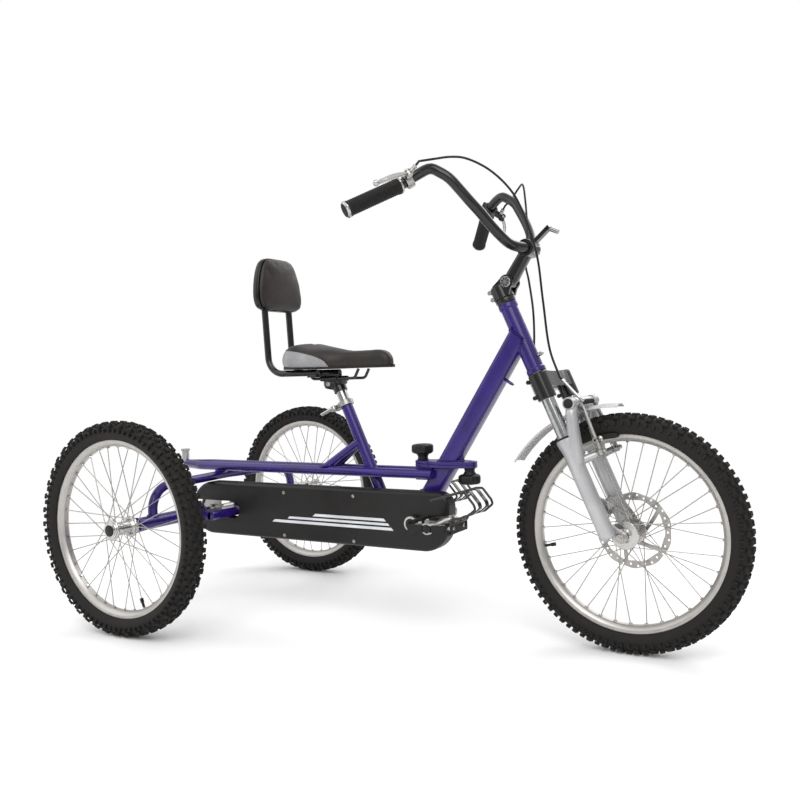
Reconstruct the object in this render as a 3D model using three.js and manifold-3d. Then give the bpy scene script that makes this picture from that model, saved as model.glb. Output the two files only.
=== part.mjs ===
// Adaptive tricycle with two rear wheels, a chain drive, a sprung front fork and a saddle with a backrest.
// Millimetres. +X points forwards, +Y to the rider's left, +Z up, with the ground at z = 0.
import * as THREE from "three";
import { mergeVertices } from "three/addons/utils/BufferGeometryUtils.js";
import Module from "manifold-3d";

const wasm = await Module();
wasm.setup();

// Overall layout
const wheelbase = 1090;
const track = 702;
const headAngle = THREE.MathUtils.degToRad(66.1);
const beamAngle = THREE.MathUtils.degToRad(57.1);
const seatAngle = THREE.MathUtils.degToRad(65.8);
const fit = 0.3;
const runningFit = 0.4;
const overrun = 2;
const bond = 2;
const weldReach = 0.001;

// Tyres and rims, alike on all three wheels
const wheelSides = 28;
const tyreRadius = 250;
const tyreWidth = 50;
const treadWidth = 18;
const shoulderDrop = 9;
const shoulderInset = 0.5;
const sidewallHeight = 14;
const rimRadius = 209;
const rimWidth = 28;
const rimWall = 2.6;
const rimWell = 9.5;
const rimDepth = 19;
const rimInnerWidth = 15;
const axleHeight = tyreRadius * Math.cos(Math.PI / wheelSides);

// Hubs and spokes
const spokeCount = 18;
const spokeRadius = 1.1;
const spokeStagger = 1.3;
const lacingAngle = THREE.MathUtils.degToRad(60);
const hubBarrelRadius = 15;
const hubFlangeRadius = 24;
const hubFlangeThickness = 5;
const hubFlangeSpread = 52;
const hubNeckRadius = 13;
const hubNeckEnd = 42;
const hubCollarRadius = 20;
const hubCapRadius = 15;
const hubEnd = 34;
const hubCapChamfer = 2;
const spokeHoleShare = 0.86;
const frontFlangeRadius = 29;
const frontFlangeRight = 27;
const frontFlangeLeft = 22;
const frontHubHalf = 47;
const frontHubEndRadius = 11;

// Rear axle and its housing
const rearAxleRadius = 8.5;
const housingRadius = 16;
const housingBore = 12.5;
const housingLand = 12;
const housingEndGap = 1;
const housingOuterEnd = track / 2 - hubNeckEnd - housingEndGap;
const housingRightInner = 95;
const housingLeftInner = 20;
const crossTubeRadius = 11;
const crossTubeForward = 80;
const crossTubeHalf = 150;
const linkWidth = 30;
const linkHeight = 20;
const archRadius = 11;
const archFootSpread = 257;
const archBend = 55;
const archShoulderDrop = 5;

// Rails, seat tube and rear post
const railRadius = 11;
const railSpread = 25.4;
const railHeight = 357;
const railRearX = -150;
const railTaperX = -70;
const seatTubeRadius = 14;
const seatTubeBore = 13.1;
const seatTubeFootBack = 159.4;
const seatTubeBelow = 99;
const seatTubeAbove = 184;
const stayRadius = 9;
const stayTopAlong = 78;
const stayFootBack = 119.6;
const stayTrimLength = 132;
const postRadius = 9.5;
const postWall = 2;
const postBelowRails = 13;
const postAboveRails = 40;
const postBottom = railHeight - postBelowRails;
const postTop = railHeight + postAboveRails;
const postFlangeRadius = 12;
const postFlangeHeight = 5;

// Beam from head tube to bottom bracket, split by two bolted plates
const beamDepth = 44;
const beamWidth = 40;
const beamCorner = 7;
const beamJoinUp = 91;
const splitAboveRails = 22.5;
const splitHeight = railHeight + splitAboveRails;
const plateThickness = 7;
const plateHalfWidth = 30;
const plateArcSteps = 4;
const plateLobeRadius = 18;
const plateFrontWrap = THREE.MathUtils.degToRad(69);
const plateRearWrap = THREE.MathUtils.degToRad(112.5);
const rearKnobBack = 68.3;
const frontKnobAhead = 52.7;
const knobStudRadius = 5;
const knobNeckRadius = 12;
const knobNeckLength = 14;
const knobHeadRadius = 26;
const knobLobeDepth = 2.4;
const knobLobes = 7;
const knobHeadHeight = 23;
const knobStudTail = 12;
const webSetBack = 3;
const gussetOverlap = 4;
const gussetLength = 44;
const gussetHeight = 30;

// Cranks, chain and guard
const crankAhead = 31.86;
const crankZ = 254;
const crankLength = 105;
const crankLift = THREE.MathUtils.degToRad(8);
const bracketRadius = 20;
const spindleRadius = 8;
const chainPitch = 12.7;
const ringTeeth = 28;
const sprocketTeeth = 18;
const chainPlane = 57;
const chainWidth = 7;
const chainHeight = 8;
const ringThickness = 3;
const ringWindowRadius = 12;
const ringWindowCount = 5;
const sprocketHubRadius = 13;
const sprocketHubHalf = 12;
const guardOuterFace = 77.5;
const guardInnerFace = 42;
const guardWall = 2.5;
const guardCentreZ = 256;
const guardHalfHeight = 66.5;
const guardRearX = 15;
const guardFrontAhead = 19.5;
const guardTopCorner = 30;
const guardSlotX = 86;
const guardSlotHalf = 22;
const guardSpindleHole = 12;
const crankInnerFace = 84;
const crankThickness = 12;
const crankArmThickness = 10;
const crankCapHeight = 2;
const crankBossRadius = 17;
const crankCapRadius = 12;
const crankEyeRadius = 12;
const crankArmWidth = 22;

// Pedals and toe cages
const pedalAxleRadius = 6;
const pedalBarrelRadius = 11;
const pedalInner = 108;
const pedalLength = 96;
const pedalDepth = 92;
const pedalPlate = 3;
const pedalHeight = 27;
const pedalArm = 8;
const cageWireRadius = 2.5;
const cageBandWidth = 10;
const cageBandThickness = 2.5;
const cageWireSpread = 80;
const cageBandSpread = 32;
const cageReach = 110;
const cageRise = 77;
const cagePlateWidth = 60;

// Head tube, steering and fork
const headTubeLength = 164;
const headTubeRadius = 19;
const headTubeBore = 17;
const headsetRadius = 22.5;
const headsetTopHeight = 13;
const headsetLowHeight = 12;
const steererRadius = 14.3;
const forkOffset = 44.6;
const forkLength = 385;
const legSpread = 68;
const legForward = 24.5;
const stanchionRadius = 14;
const crownHeight = 34;
const crownDepth = 40;
const lowerAboveAxle = 225;
const lowerRadius = 17;
const lowerBottomUp = 8;
const stanchionEndAboveAxle = 135;
const boreEndAboveAxle = 73;
const archTopAboveAxle = 287;
const archTopForward = 40;
const archFootAboveAxle = 203;
const forkArchRadius = 10;
const archBossRadius = 13;
const archBossLength = 22;
const steererInStem = 12;
const dropoutThickness = 7;
const dropoutWidth = 26;
const dropoutInner = 50;
const frontAxleRadius = 5;
const frontNutRadius = 9;
const frontNutLength = 12;
const mudguardFrontRadius = 266;
const mudguardRearRadius = 286;
const mudguardWidth = 56;
const mudguardThickness = 2;
const mudguardStart = THREE.MathUtils.degToRad(69);
const mudguardEnd = THREE.MathUtils.degToRad(126);
const mudguardCrown = 6;
const mudguardTabRadius = 9;
const rotorRadius = 80;
const rotorTrack = 14;
const rotorInner = 26;
const rotorThickness = 2.2;
const rotorPlane = 33;
const rotorArms = 5;
const rotorArmSweep = THREE.MathUtils.degToRad(40);

// Front brakes
const caliperAngle = THREE.MathUtils.degToRad(126);
const caliperLength = 46;
const caliperDepth = 30;
const caliperInner = 21.5;
const caliperOuter = 48;
const caliperGap = 1.2;
const caliperMountThickness = 8;
const caliperMountHeight = 34;
const brakeBossAboveAxle = 172;
const brakeBossSpread = 50;
const brakeBossRadius = 7;
const brakeBossEnd = 68;
const brakePinRadius = 4;
const brakePinEnd = 88;
const brakeArmX = 78;
const brakeArmTopAboveAxle = 278;
const brakeArmTopSpread = 40;
const brakeArmWidth = 9;
const brakeArmThickness = 8;
const brakeEyeRadius = 8;
const brakePadAngle = THREE.MathUtils.degToRad(77);
const brakePadReach = 204;
const brakePadLength = 50;
const brakePadWidth = 11;
const brakePadThickness = 9;
const brakePadGap = 3.4;
const brakePadPin = 3;
const pipeRadius = 3;
const pipeTopX = 62.7;
const pipeTopAboveAxle = 339;
const pipeSide = 45;
const pipeBend = 12;
const bootX = 84;
const bootAboveAxle = 281;
const bootRadius = 5;
const bootEnd = 12;

// Stem, bar, grips and levers
const stemPivotForward = 25;
const stemPivotUp = 28.1;
const stemBaseRadius = 23;
const stemBaseHeight = 34;
const stemEarRadius = 16;
const stemEarThickness = 7;
const stemEarInner = 13;
const stemBarrelRadius = 14;
const stemBoltRadius = 5;
const stemBarrelRoom = 1.4;
const stemCapRadius = 12;
const stemCapThickness = 4;
const stemArmWidth = 24;
const stemArmDepth = 22;
const barClampForward = 47;
const barClampUp = 69;
const barClampRadius = 19;
const barClampHalf = 22;
const barRadius = 11.1;
const barHalfWidth = 295;
const barRise = 155;
const barSweep = 265;
const gripRadius = 16;
const gripRingRadius = 17.5;
const gripRingWidth = 8;
const gripCap = 4;
const gripStart = 2;
const leverClampHalf = 8;
const leverClampRadius = 17;
const leverArmSize = 14;
const leverInboard = 12;
const leverPivotOut = 36;
const leverTipAlong = 68;
const leverTipOut = 56;
const leverEyeRadius = 7;
const leverSlotRadius = 11;
const leverPinRadius = 2.2;
const leverBladeWidth = 11;
const leverBladeThickness = 6;
const leverNeck = 15;
const leverBallRadius = 6.5;
const leverRollRight = THREE.MathUtils.degToRad(40);
const leverRollLeft = THREE.MathUtils.degToRad(-8);
const barrelRadius = 5;
const barrelLength = 24;
const barrelFootShare = 0.8;
const barrelLiftShare = 0.5;
const lockButtonRadius = 3.2;
const lockButtonLength = 10;
const lockButtonTravel = 3;
const lockButtonFootShare = 0.66;
const bracketArm = 46;
const bracketArmWidth = 14;
const bracketArmThickness = 6;
const bracketAngle = THREE.MathUtils.degToRad(40.5);
const bracketPegAngle = THREE.MathUtils.degToRad(-24);
const bracketPegRadius = 5;
const bracketPegLength = 26;
const cableRadius = 2.4;
const cableStraight = 10;

// Seat
const seatPostRadius = 12.7;
const seatPostInside = 120;
const seatPostOutside = 34;
const collarRadius = 19;
const collarHeight = 13;
const collarEar = 14;
const collarEarWidth = 16;
const collarSlit = 2;
const leverPostBack = 28;
const leverPostSide = 15;
const leverPostRadius = 2.5;
const seatLeverEye = 6;
const seatLeverLength = 38;
const seatLeverWidth = 9;
const seatLugThickness = 3;
const clampBack = 15.2;
const clampUp = 12.2;
const clampLength = 60;
const clampHeight = 28;
const clampWidth = 46;
const seatWireRadius = 3.5;
const seatWireSpread = 22;
const seatWireUp = 24.2;
const seatWireBack = 77.2;
const seatWireAhead = 71.8;
const seatWireBend = 12;
const saddleBack = 131.2;
const saddleLength = 287;
const saddleUp = 48.2;
const saddleHeight = 64;
const saddleHalfWidth = 100;
const backTubeRadius = 8;
const backTubeSpread = 46;
const backTubeUp = 39.2;
const backTubeFrontBack = 31.2;
const backTubeBend = 42;
const backPlateLength = 26;
const backPlateThickness = 8;
const backPadBack = 162.2;
const backPadThickness = 14;
const backShellThickness = 23;
const backHalfWidth = 81;
const backPadUp = 196.2;
const backHeight = 134;
const backLean = THREE.MathUtils.degToRad(3.2);
const backTubeEnd = 110;

// Working values that follow from the sizes above
const tubeSides = 10;
const clampSides = 14;
const smallSides = 8;
const cableSides = 6;
const cableSteps = 26;
const steerAxis = new THREE.Vector3(-Math.cos(headAngle), 0, Math.sin(headAngle));
const steerForward = new THREE.Vector3(Math.sin(headAngle), 0, Math.cos(headAngle));
const frontAxle = new THREE.Vector3(wheelbase, 0, axleHeight);
const headBottom = frontAxle
  .clone()
  .addScaledVector(steerForward, -forkOffset)
  .addScaledVector(steerAxis, forkLength);
const beamAxis = new THREE.Vector3(Math.cos(beamAngle), 0, Math.sin(beamAngle));
const beamTop = headBottom.clone().addScaledVector(steerAxis, beamJoinUp);
const seatAxis = new THREE.Vector3(-Math.cos(seatAngle), 0, Math.sin(seatAngle));
const beamX = (z) => beamTop.x + (z - beamTop.z) / Math.tan(beamAngle);
const rearKnobX = beamX(splitHeight) - rearKnobBack;
const frontKnobX = beamX(splitHeight) + frontKnobAhead;
const crankX = beamX(crankZ) + crankAhead;
const guardFrontX = crankX + guardFrontAhead;
const seatFoot = new THREE.Vector3(crankX - seatTubeFootBack, 0, railHeight);
const stayFootX = seatFoot.x - stayFootBack;
const bracketCentre = new THREE.Vector3(crankX, 0, crankZ);
const postHead = seatFoot.clone().addScaledVector(seatAxis, seatTubeAbove + seatPostOutside);
const [clampX, clampZ] = [postHead.x - clampBack, postHead.z + clampUp];
const seatWireZ = postHead.z + seatWireUp;
const [seatWireRear, seatWireFront] = [postHead.x - seatWireBack, postHead.x + seatWireAhead];
const [saddleRear, saddleBottom] = [postHead.x - saddleBack, postHead.z + saddleUp];
const [backTubeFrontX, backTubeZ] = [postHead.x - backTubeFrontBack, postHead.z + backTubeUp];
const [backPadFront, backBottom] = [postHead.x - backPadBack, postHead.z + backPadUp];
const crankWay = new THREE.Vector3(Math.cos(crankLift), 0, Math.sin(crankLift));
const pedalOffset = crankWay.multiplyScalar(crankLength);
const sprocketPitchRadius = (chainPitch * sprocketTeeth) / (2 * Math.PI);
const ringPitchRadius = (chainPitch * ringTeeth) / (2 * Math.PI);
const stemPivot = headBottom
  .clone()
  .addScaledVector(steerForward, stemPivotForward)
  .addScaledVector(steerAxis, headTubeLength + headsetTopHeight + stemPivotUp);
const barClamp = stemPivot.clone().add(new THREE.Vector3(barClampForward, 0, barClampUp));

// Finishes
function finish(colour, roughness, metalness) {
  return new THREE.MeshStandardMaterial({ color: colour, roughness, metalness });
}
const framePaint = () => finish(0x3a1f85, 0.25, 0.1);
const blackPaint = () => finish(0x1d1a19, 0.35, 0.1);
const blackPlastic = () => finish(0x1b1918, 0.5, 0);
const blackRubber = () => finish(0x211e1c, 0.8, 0);
const vinyl = () => finish(0x3b3532, 0.55, 0);
const alloy = () => finish(0xc9c8c4, 0.35, 0.9);
const silverPaint = () => finish(0xd4d4d2, 0.3, 0.3);
const chromeSteel = () => finish(0xd8d8d8, 0.12, 1);
const chainSteel = () => finish(0x6e6a64, 0.45, 0.9);

// Turns a closed surface into a solid, its faces pointing out
function solidOf(geometry) {
  const bare = geometry.clone();
  bare.deleteAttribute("normal");
  bare.deleteAttribute("uv");
  const welded = mergeVertices(bare, weldReach);
  const places = welded.attributes.position.array;
  const corner = (i) => new THREE.Vector3().fromArray(places, 3 * i);
  const triangles = [];
  let volume = 0;
  const indices = welded.index.array;
  for (let i = 0; i < indices.length; i += 3) {
    const [a, b, c] = [indices[i], indices[i + 1], indices[i + 2]];
    if (a === b || b === c || a === c) continue;
    triangles.push(a, b, c);
    volume += corner(a).dot(corner(b).cross(corner(c)));
  }
  if (volume < 0) triangles.reverse();
  const [vertProperties, triVerts] = [new Float32Array(places), new Uint32Array(triangles)];
  return new wasm.Manifold(new wasm.Mesh({ numProp: 3, vertProperties, triVerts }));
}

// Radius of a bored hole whose flats clear a turning shaft
function roundBore(radius, gap = runningFit) {
  return (radius + gap) / Math.cos(Math.PI / tubeSides);
}

function join(...solids) {
  return solids.reduce((whole, solid) => whole.add(solid));
}

function carve(solid, ...cutters) {
  return cutters.reduce((rest, cutter) => rest.subtract(cutter), solid);
}

const trike = new THREE.Group();
trike.name = "adaptive_tricycle";
trike.position.x = -wheelbase / 2;

function addMesh(name, solid, material, group = trike) {
  const mesh = solid.getMesh();
  const geometry = new THREE.BufferGeometry();
  geometry.setAttribute("position", new THREE.BufferAttribute(new Float32Array(mesh.vertProperties), 3));
  geometry.setIndex(new THREE.BufferAttribute(new Uint32Array(mesh.triVerts), 1));
  geometry.computeVertexNormals();
  const part = new THREE.Mesh(geometry, material);
  part.name = name;
  group.add(part);
  return part;
}

// Straight round bar from one point to another, tapered if two radii differ
function rod(from, to, radius, sides = tubeSides, endRadius = radius) {
  const along = to.clone().sub(from);
  const geometry = new THREE.CylinderGeometry(endRadius, radius, along.length(), sides);
  const standing = new THREE.Vector3(0, 1, 0);
  geometry.applyQuaternion(new THREE.Quaternion().setFromUnitVectors(standing, along.clone().normalize()));
  geometry.translate(...from.clone().addScaledVector(along, 1 / 2).toArray());
  return solidOf(geometry);
}

// Straight rectangular bar from one point to another, its width lying along the across direction
function bar(from, to, width, depth, across = new THREE.Vector3(0, 1, 0)) {
  const along = to.clone().sub(from);
  const length = along.length();
  const forward = along.normalize();
  const depthways = new THREE.Vector3().crossVectors(forward, across).normalize();
  const widthways = new THREE.Vector3().crossVectors(depthways, forward).normalize();
  const geometry = new THREE.BoxGeometry(width, depth, length);
  geometry.applyMatrix4(new THREE.Matrix4().makeBasis(widthways, depthways, forward));
  geometry.translate(...from.clone().addScaledVector(forward, length / 2).toArray());
  return solidOf(geometry);
}

function block(lengthX, widthY, heightZ, centre) {
  const geometry = new THREE.BoxGeometry(lengthX, widthY, heightZ);
  geometry.translate(centre.x, centre.y, centre.z);
  return solidOf(geometry);
}

// Closed lathe profile of [radius, y] pairs turned about the Y axis
function turned(profile, sides, centre = new THREE.Vector3()) {
  const points = [...profile, profile[0]].map(([radius, y]) => new THREE.Vector2(radius, y));
  const geometry = new THREE.LatheGeometry(points, sides, Math.PI / sides);
  geometry.translate(centre.x, centre.y, centre.z);
  return solidOf(geometry);
}

// A turned shape whose axis starts at a point and runs along a direction
function turnedAlong(profile, sides, start, direction) {
  const points = [...profile, profile[0]].map(([radius, y]) => new THREE.Vector2(radius, y));
  const geometry = new THREE.LatheGeometry(points, sides);
  const upright = new THREE.Vector3(0, 1, 0);
  geometry.applyQuaternion(new THREE.Quaternion().setFromUnitVectors(upright, direction.clone().normalize()));
  geometry.translate(start.x, start.y, start.z);
  return solidOf(geometry);
}

// Outline in X and Z, given thickness from one y to a higher one
function upright(shape, lowY, highY, curveSteps = 6) {
  const geometry = new THREE.ExtrudeGeometry(shape, {
    depth: highY - lowY,
    bevelEnabled: false,
    curveSegments: curveSteps,
  });
  geometry.rotateX(Math.PI / 2);
  geometry.translate(0, highY, 0);
  return solidOf(geometry);
}

// Outline in X and Y, given thickness from one z to a higher one
function flat(shape, lowZ, highZ, curveSteps = 6) {
  const geometry = new THREE.ExtrudeGeometry(shape, {
    depth: highZ - lowZ,
    bevelEnabled: false,
    curveSegments: curveSteps,
  });
  geometry.translate(0, 0, lowZ);
  return solidOf(geometry);
}

// A path that is stepped through its own stations, so straight runs stay one step long
class StationPath extends THREE.Curve {
  constructor(stations) {
    super();
    this.stations = stations;
  }
  getPoint(t) {
    const place = t * (this.stations.length - 1);
    const low = Math.min(Math.floor(place), this.stations.length - 2);
    return this.stations[low].clone().lerp(this.stations[low + 1], place - low);
  }
  getPointAt(u) {
    return this.getPoint(u);
  }
  getSpacedPoints(divisions) {
    return Array.from({ length: divisions + 1 }, (_, i) => this.getPoint(i / divisions));
  }
  getTangentAt(u) {
    const last = this.stations.length - 1;
    const here = Math.round(u * last);
    const incoming = this.stations[here].clone().sub(this.stations[Math.max(here - 1, 0)]).normalize();
    const outgoing = this.stations[Math.min(here + 1, last)].clone().sub(this.stations[here]).normalize();
    return incoming.add(outgoing).normalize();
  }
}

function roundSection(radius, sides) {
  const corners = [];
  for (let i = 0; i < sides; i++) {
    const turn = (2 * Math.PI * i) / sides;
    corners.push(new THREE.Vector2(radius * Math.cos(turn), radius * Math.sin(turn)));
  }
  return new THREE.Shape(corners);
}

function tube(stations, radius, sides = tubeSides) {
  const path = new StationPath(stations);
  const geometry = new THREE.ExtrudeGeometry(roundSection(radius, sides), {
    steps: stations.length - 1,
    extrudePath: path,
    bevelEnabled: false,
  });
  return solidOf(geometry);
}

// Corner points with each inner corner replaced by an arc of the bend radius
function bend(corners, bendRadius, steps = 5) {
  const stations = [corners[0]];
  for (let i = 1; i < corners.length - 1; i++) {
    const here = corners[i];
    const back = corners[i - 1].clone().sub(here).normalize();
    const onward = corners[i + 1].clone().sub(here).normalize();
    const half = back.angleTo(onward) / 2;
    const reach = bendRadius / Math.tan(half);
    const middle = back.clone().add(onward).normalize();
    const centre = here.clone().addScaledVector(middle, bendRadius / Math.sin(half));
    const start = here.clone().addScaledVector(back, reach).sub(centre);
    const turnAxis = new THREE.Vector3().crossVectors(start, middle.clone().negate()).normalize();
    const sweep = Math.PI - 2 * half;
    for (let k = 0; k <= steps; k++) {
      stations.push(start.clone().applyAxisAngle(turnAxis, (sweep * k) / steps).add(centre));
    }
  }
  stations.push(corners[corners.length - 1]);
  return stations;
}

// Skin over a row of rings that all have the same number of points, closed by a fan at each end
function lofted(rings) {
  const count = rings[0].length;
  const places = rings.flat().flatMap((p) => p.toArray());
  const indices = [];
  for (let r = 0; r < rings.length - 1; r++) {
    for (let i = 0; i < count; i++) {
      const [a, b] = [r * count + i, r * count + ((i + 1) % count)];
      indices.push(a, b, b + count, a, b + count, a + count);
    }
  }
  for (const r of [0, rings.length - 1]) {
    const centre = rings[r].reduce((sum, p) => sum.add(p), new THREE.Vector3()).divideScalar(count);
    const middle = places.length / 3;
    places.push(...centre.toArray());
    for (let i = 0; i < count; i++) {
      const [a, b] = [r * count + i, r * count + ((i + 1) % count)];
      indices.push(...(r === 0 ? [middle, b, a] : [middle, a, b]));
    }
  }
  const geometry = new THREE.BufferGeometry();
  geometry.setAttribute("position", new THREE.Float32BufferAttribute(places, 3));
  geometry.setIndex(indices);
  return solidOf(geometry);
}

const vec = (x, y, z) => new THREE.Vector3(x, y, z);

// Tyre: a solid ring seated between the rim's two edges
function tyre() {
  const bead = rimWidth / 2 - rimWall - fit;
  const side = [
    [rimRadius - rimWell + fit, bead],
    [rimRadius + fit, bead],
    [rimRadius + sidewallHeight, tyreWidth / 2],
    [tyreRadius - shoulderDrop, tyreWidth / 2 - shoulderInset],
    [tyreRadius, treadWidth / 2],
  ];
  const mirrored = side.map(([radius, y]) => [radius, -y]).reverse();
  return turned([...side, ...mirrored], wheelSides);
}

// Rim: a channel open to the tyre, with upright walls for the brake and sloping ones below
function rim() {
  const half = rimWidth / 2;
  const side = [
    [rimRadius - rimWell, half - rimWall],
    [rimRadius, half - rimWall],
    [rimRadius, half],
    [rimRadius - rimWell, half],
    [rimRadius - rimDepth, rimInnerWidth / 2],
  ];
  const mirrored = side.map(([radius, y]) => [radius, -y]).reverse();
  return turned([...side, ...mirrored], wheelSides);
}

// Spokes cross three others between hub and rim, and alternate between the two flanges
function addSpokes(hub, flangeYs, holeRadius) {
  const rimEnd = (rimRadius - rimDepth) * Math.cos(Math.PI / wheelSides) - fit;
  let whole = hub;
  for (let i = 0; i < spokeCount; i++) {
    const turn = (2 * Math.PI * i) / spokeCount;
    const lean = Math.floor(i / 2) % 2 === 0 ? 1 : -1;
    const flangeY = flangeYs[i % 2] + lean * spokeStagger;
    const hubTurn = turn + lean * lacingAngle;
    const from = vec(holeRadius * Math.cos(hubTurn), flangeY, holeRadius * Math.sin(hubTurn));
    const to = vec(rimEnd * Math.cos(turn), lean * spokeStagger, rimEnd * Math.sin(turn));
    whole = whole.add(rod(from, to, spokeRadius, 3));
  }
  return whole;
}

// Rear hub, outer side towards +Y, closed by its cap
function rearHub() {
  const flangeOut = hubFlangeSpread / 2 + hubFlangeThickness / 2;
  const flangeIn = flangeOut - hubFlangeThickness;
  const capFace = hubEnd;
  const bore = roundBore(rearAxleRadius);
  const body = turned(
    [
      [0, capFace],
      [hubCapRadius - hubCapChamfer, capFace],
      [hubCapRadius, capFace - hubCapChamfer],
      [hubCollarRadius, capFace - hubCapChamfer],
      [hubCollarRadius, flangeOut],
      [hubFlangeRadius, flangeOut],
      [hubFlangeRadius, flangeIn],
      [hubBarrelRadius, flangeIn],
      [hubBarrelRadius, -flangeIn],
      [hubFlangeRadius, -flangeIn],
      [hubFlangeRadius, -flangeOut],
      [hubNeckRadius, -flangeOut],
      [hubNeckRadius, -hubNeckEnd],
      [bore, -hubNeckEnd],
      [bore, flangeIn],
      [0, flangeIn],
    ],
    tubeSides,
  );
  const flangeMiddle = flangeIn + hubFlangeThickness / 2;
  return addSpokes(body, [flangeMiddle, -flangeMiddle], hubFlangeRadius * spokeHoleShare);
}

// Front hub with its wider disc side towards +Y
function frontHub() {
  const bore = roundBore(frontAxleRadius);
  const body = turned(
    [
      [bore, frontHubHalf],
      [frontHubEndRadius, frontHubHalf],
      [frontHubEndRadius, rotorPlane - rotorThickness / 2 - fit],
      [hubCollarRadius, rotorPlane - rotorThickness / 2 - fit],
      [hubCollarRadius, frontFlangeLeft + hubFlangeThickness],
      [frontFlangeRadius, frontFlangeLeft + hubFlangeThickness],
      [frontFlangeRadius, frontFlangeLeft],
      [hubBarrelRadius, frontFlangeLeft - hubFlangeThickness],
      [hubBarrelRadius, hubFlangeThickness - frontFlangeRight],
      [frontFlangeRadius, -frontFlangeRight],
      [frontFlangeRadius, -frontFlangeRight - hubFlangeThickness],
      [frontHubEndRadius, -frontFlangeRight - 2 * hubFlangeThickness],
      [frontHubEndRadius, -frontHubHalf],
      [bore, -frontHubHalf],
    ],
    tubeSides,
  );
  const flanges = [frontFlangeLeft + hubFlangeThickness / 2, -frontFlangeRight - hubFlangeThickness / 2];
  return addSpokes(body, flanges, frontFlangeRadius * spokeHoleShare);
}

// Brake rotor: an outer track, an inner ring and swept arms between them
function rotor() {
  const shape = new THREE.Shape().absarc(0, 0, rotorRadius, 0, 2 * Math.PI);
  shape.holes.push(new THREE.Path().absarc(0, 0, rotorRadius - rotorTrack, 0, 2 * Math.PI, true));
  const ring = upright(shape, -rotorThickness / 2, rotorThickness / 2, 8);
  const hole = roundBore(frontHubEndRadius);
  const inner = new THREE.Shape().absarc(0, 0, rotorInner, 0, 2 * Math.PI);
  inner.holes.push(new THREE.Path().absarc(0, 0, hole, 0, 2 * Math.PI, true));
  let whole = ring.add(upright(inner, -rotorThickness / 2, rotorThickness / 2, 5));
  for (let i = 0; i < rotorArms; i++) {
    const turn = (2 * Math.PI * i) / rotorArms;
    const sweep = turn + rotorArmSweep;
    const from = vec((rotorInner - bond) * Math.cos(turn), 0, (rotorInner - bond) * Math.sin(turn));
    const reach = rotorRadius - rotorTrack + bond;
    const to = vec(reach * Math.cos(sweep), 0, reach * Math.sin(sweep));
    const geometry = new THREE.BoxGeometry(from.distanceTo(to), rotorThickness, rotorTrack / 2);
    geometry.rotateY(-Math.atan2(to.z - from.z, to.x - from.x));
    geometry.translate(...from.clone().add(to).divideScalar(2).toArray());
    whole = whole.add(solidOf(geometry));
  }
  return whole;
}

function addWheel(name, centre, hubSolid, turnedRound) {
  const wheel = new THREE.Group();
  wheel.position.copy(centre);
  wheel.rotation.z = turnedRound ? Math.PI : 0;
  trike.add(wheel);
  addMesh(`${name}_tyre`, tyre(), blackRubber(), wheel);
  addMesh(`${name}_rim`, rim(), alloy(), wheel);
  addMesh(`${name}_hub`, hubSolid, alloy(), wheel);
  return wheel;
}

// Rear axle with the chain sprocket keyed to it
function rearAxle() {
  const end = track / 2 + hubFlangeSpread / 2 - hubFlangeThickness / 2 - fit;
  const shaft = rod(vec(0, -end, axleHeight), vec(0, end, axleHeight), rearAxleRadius);
  const rootRadius = sprocketPitchRadius - chainHeight / 2 - fit;
  const half = ringThickness / 2;
  const sprocket = turned(
    [
      [0, sprocketHubHalf],
      [sprocketHubRadius, sprocketHubHalf],
      [sprocketHubRadius, half],
      [rootRadius, half],
      [rootRadius, -half],
      [sprocketHubRadius, -half],
      [sprocketHubRadius, -sprocketHubHalf],
      [0, -sprocketHubHalf],
    ],
    clampSides,
    vec(0, -chainPlane, axleHeight),
  );
  return join(shaft, sprocket);
}

// Bored tube along Y that the rear axle runs in, tight at both ends
function housingTube(lowY, highY) {
  const land = roundBore(rearAxleRadius);
  const outer = [
    [housingRadius, highY],
    [housingRadius, lowY],
  ];
  const inner = [
    [land, lowY],
    [land, lowY + housingLand],
    [housingBore, lowY + housingLand],
    [housingBore, highY - housingLand],
    [land, highY - housingLand],
    [land, highY],
  ];
  return turned([...outer, ...inner], tubeSides, vec(0, 0, axleHeight));
}

function axleHousing() {
  const crossTube = rod(
    vec(crossTubeForward, -crossTubeHalf, axleHeight),
    vec(crossTubeForward, crossTubeHalf, axleHeight),
    crossTubeRadius,
  );
  const linkStart = (housingRadius + housingBore) / 2;
  const rightTube = housingTube(-housingOuterEnd, -housingRightInner);
  const leftTube = housingTube(housingLeftInner, housingOuterEnd);
  let whole = join(rightTube, leftTube, crossTube);
  for (const side of [-1, 1]) {
    const middleY = side * (crossTubeHalf - linkWidth / 2);
    const centre = vec((linkStart + crossTubeForward) / 2, middleY, axleHeight);
    whole = whole.add(block(crossTubeForward - linkStart, linkWidth, linkHeight, centre));
  }
  return whole;
}

// Arch over the axle, its feet saddled on the housing
function rearArch() {
  const crownZ = railHeight - railRadius - fit - archRadius;
  const shoulderZ = crownZ - archShoulderDrop;
  const footZ = axleHeight;
  const corners = [
    vec(0, -archFootSpread, footZ),
    vec(0, -archFootSpread, shoulderZ),
    vec(0, 0, crownZ),
    vec(0, archFootSpread, shoulderZ),
    vec(0, archFootSpread, footZ),
  ];
  const rightHalf = bend(corners.slice(0, 3), archBend, 4);
  const leftHalf = bend(corners.slice(2), archBend, 4);
  const rounded = [...rightHalf, ...leftHalf.slice(1)];
  const saddle = rod(
    vec(0, -housingOuterEnd, axleHeight),
    vec(0, housingOuterEnd, axleHeight),
    housingRadius + fit,
    2 * tubeSides,
  );
  return carve(tube(rounded, archRadius), saddle);
}

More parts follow.
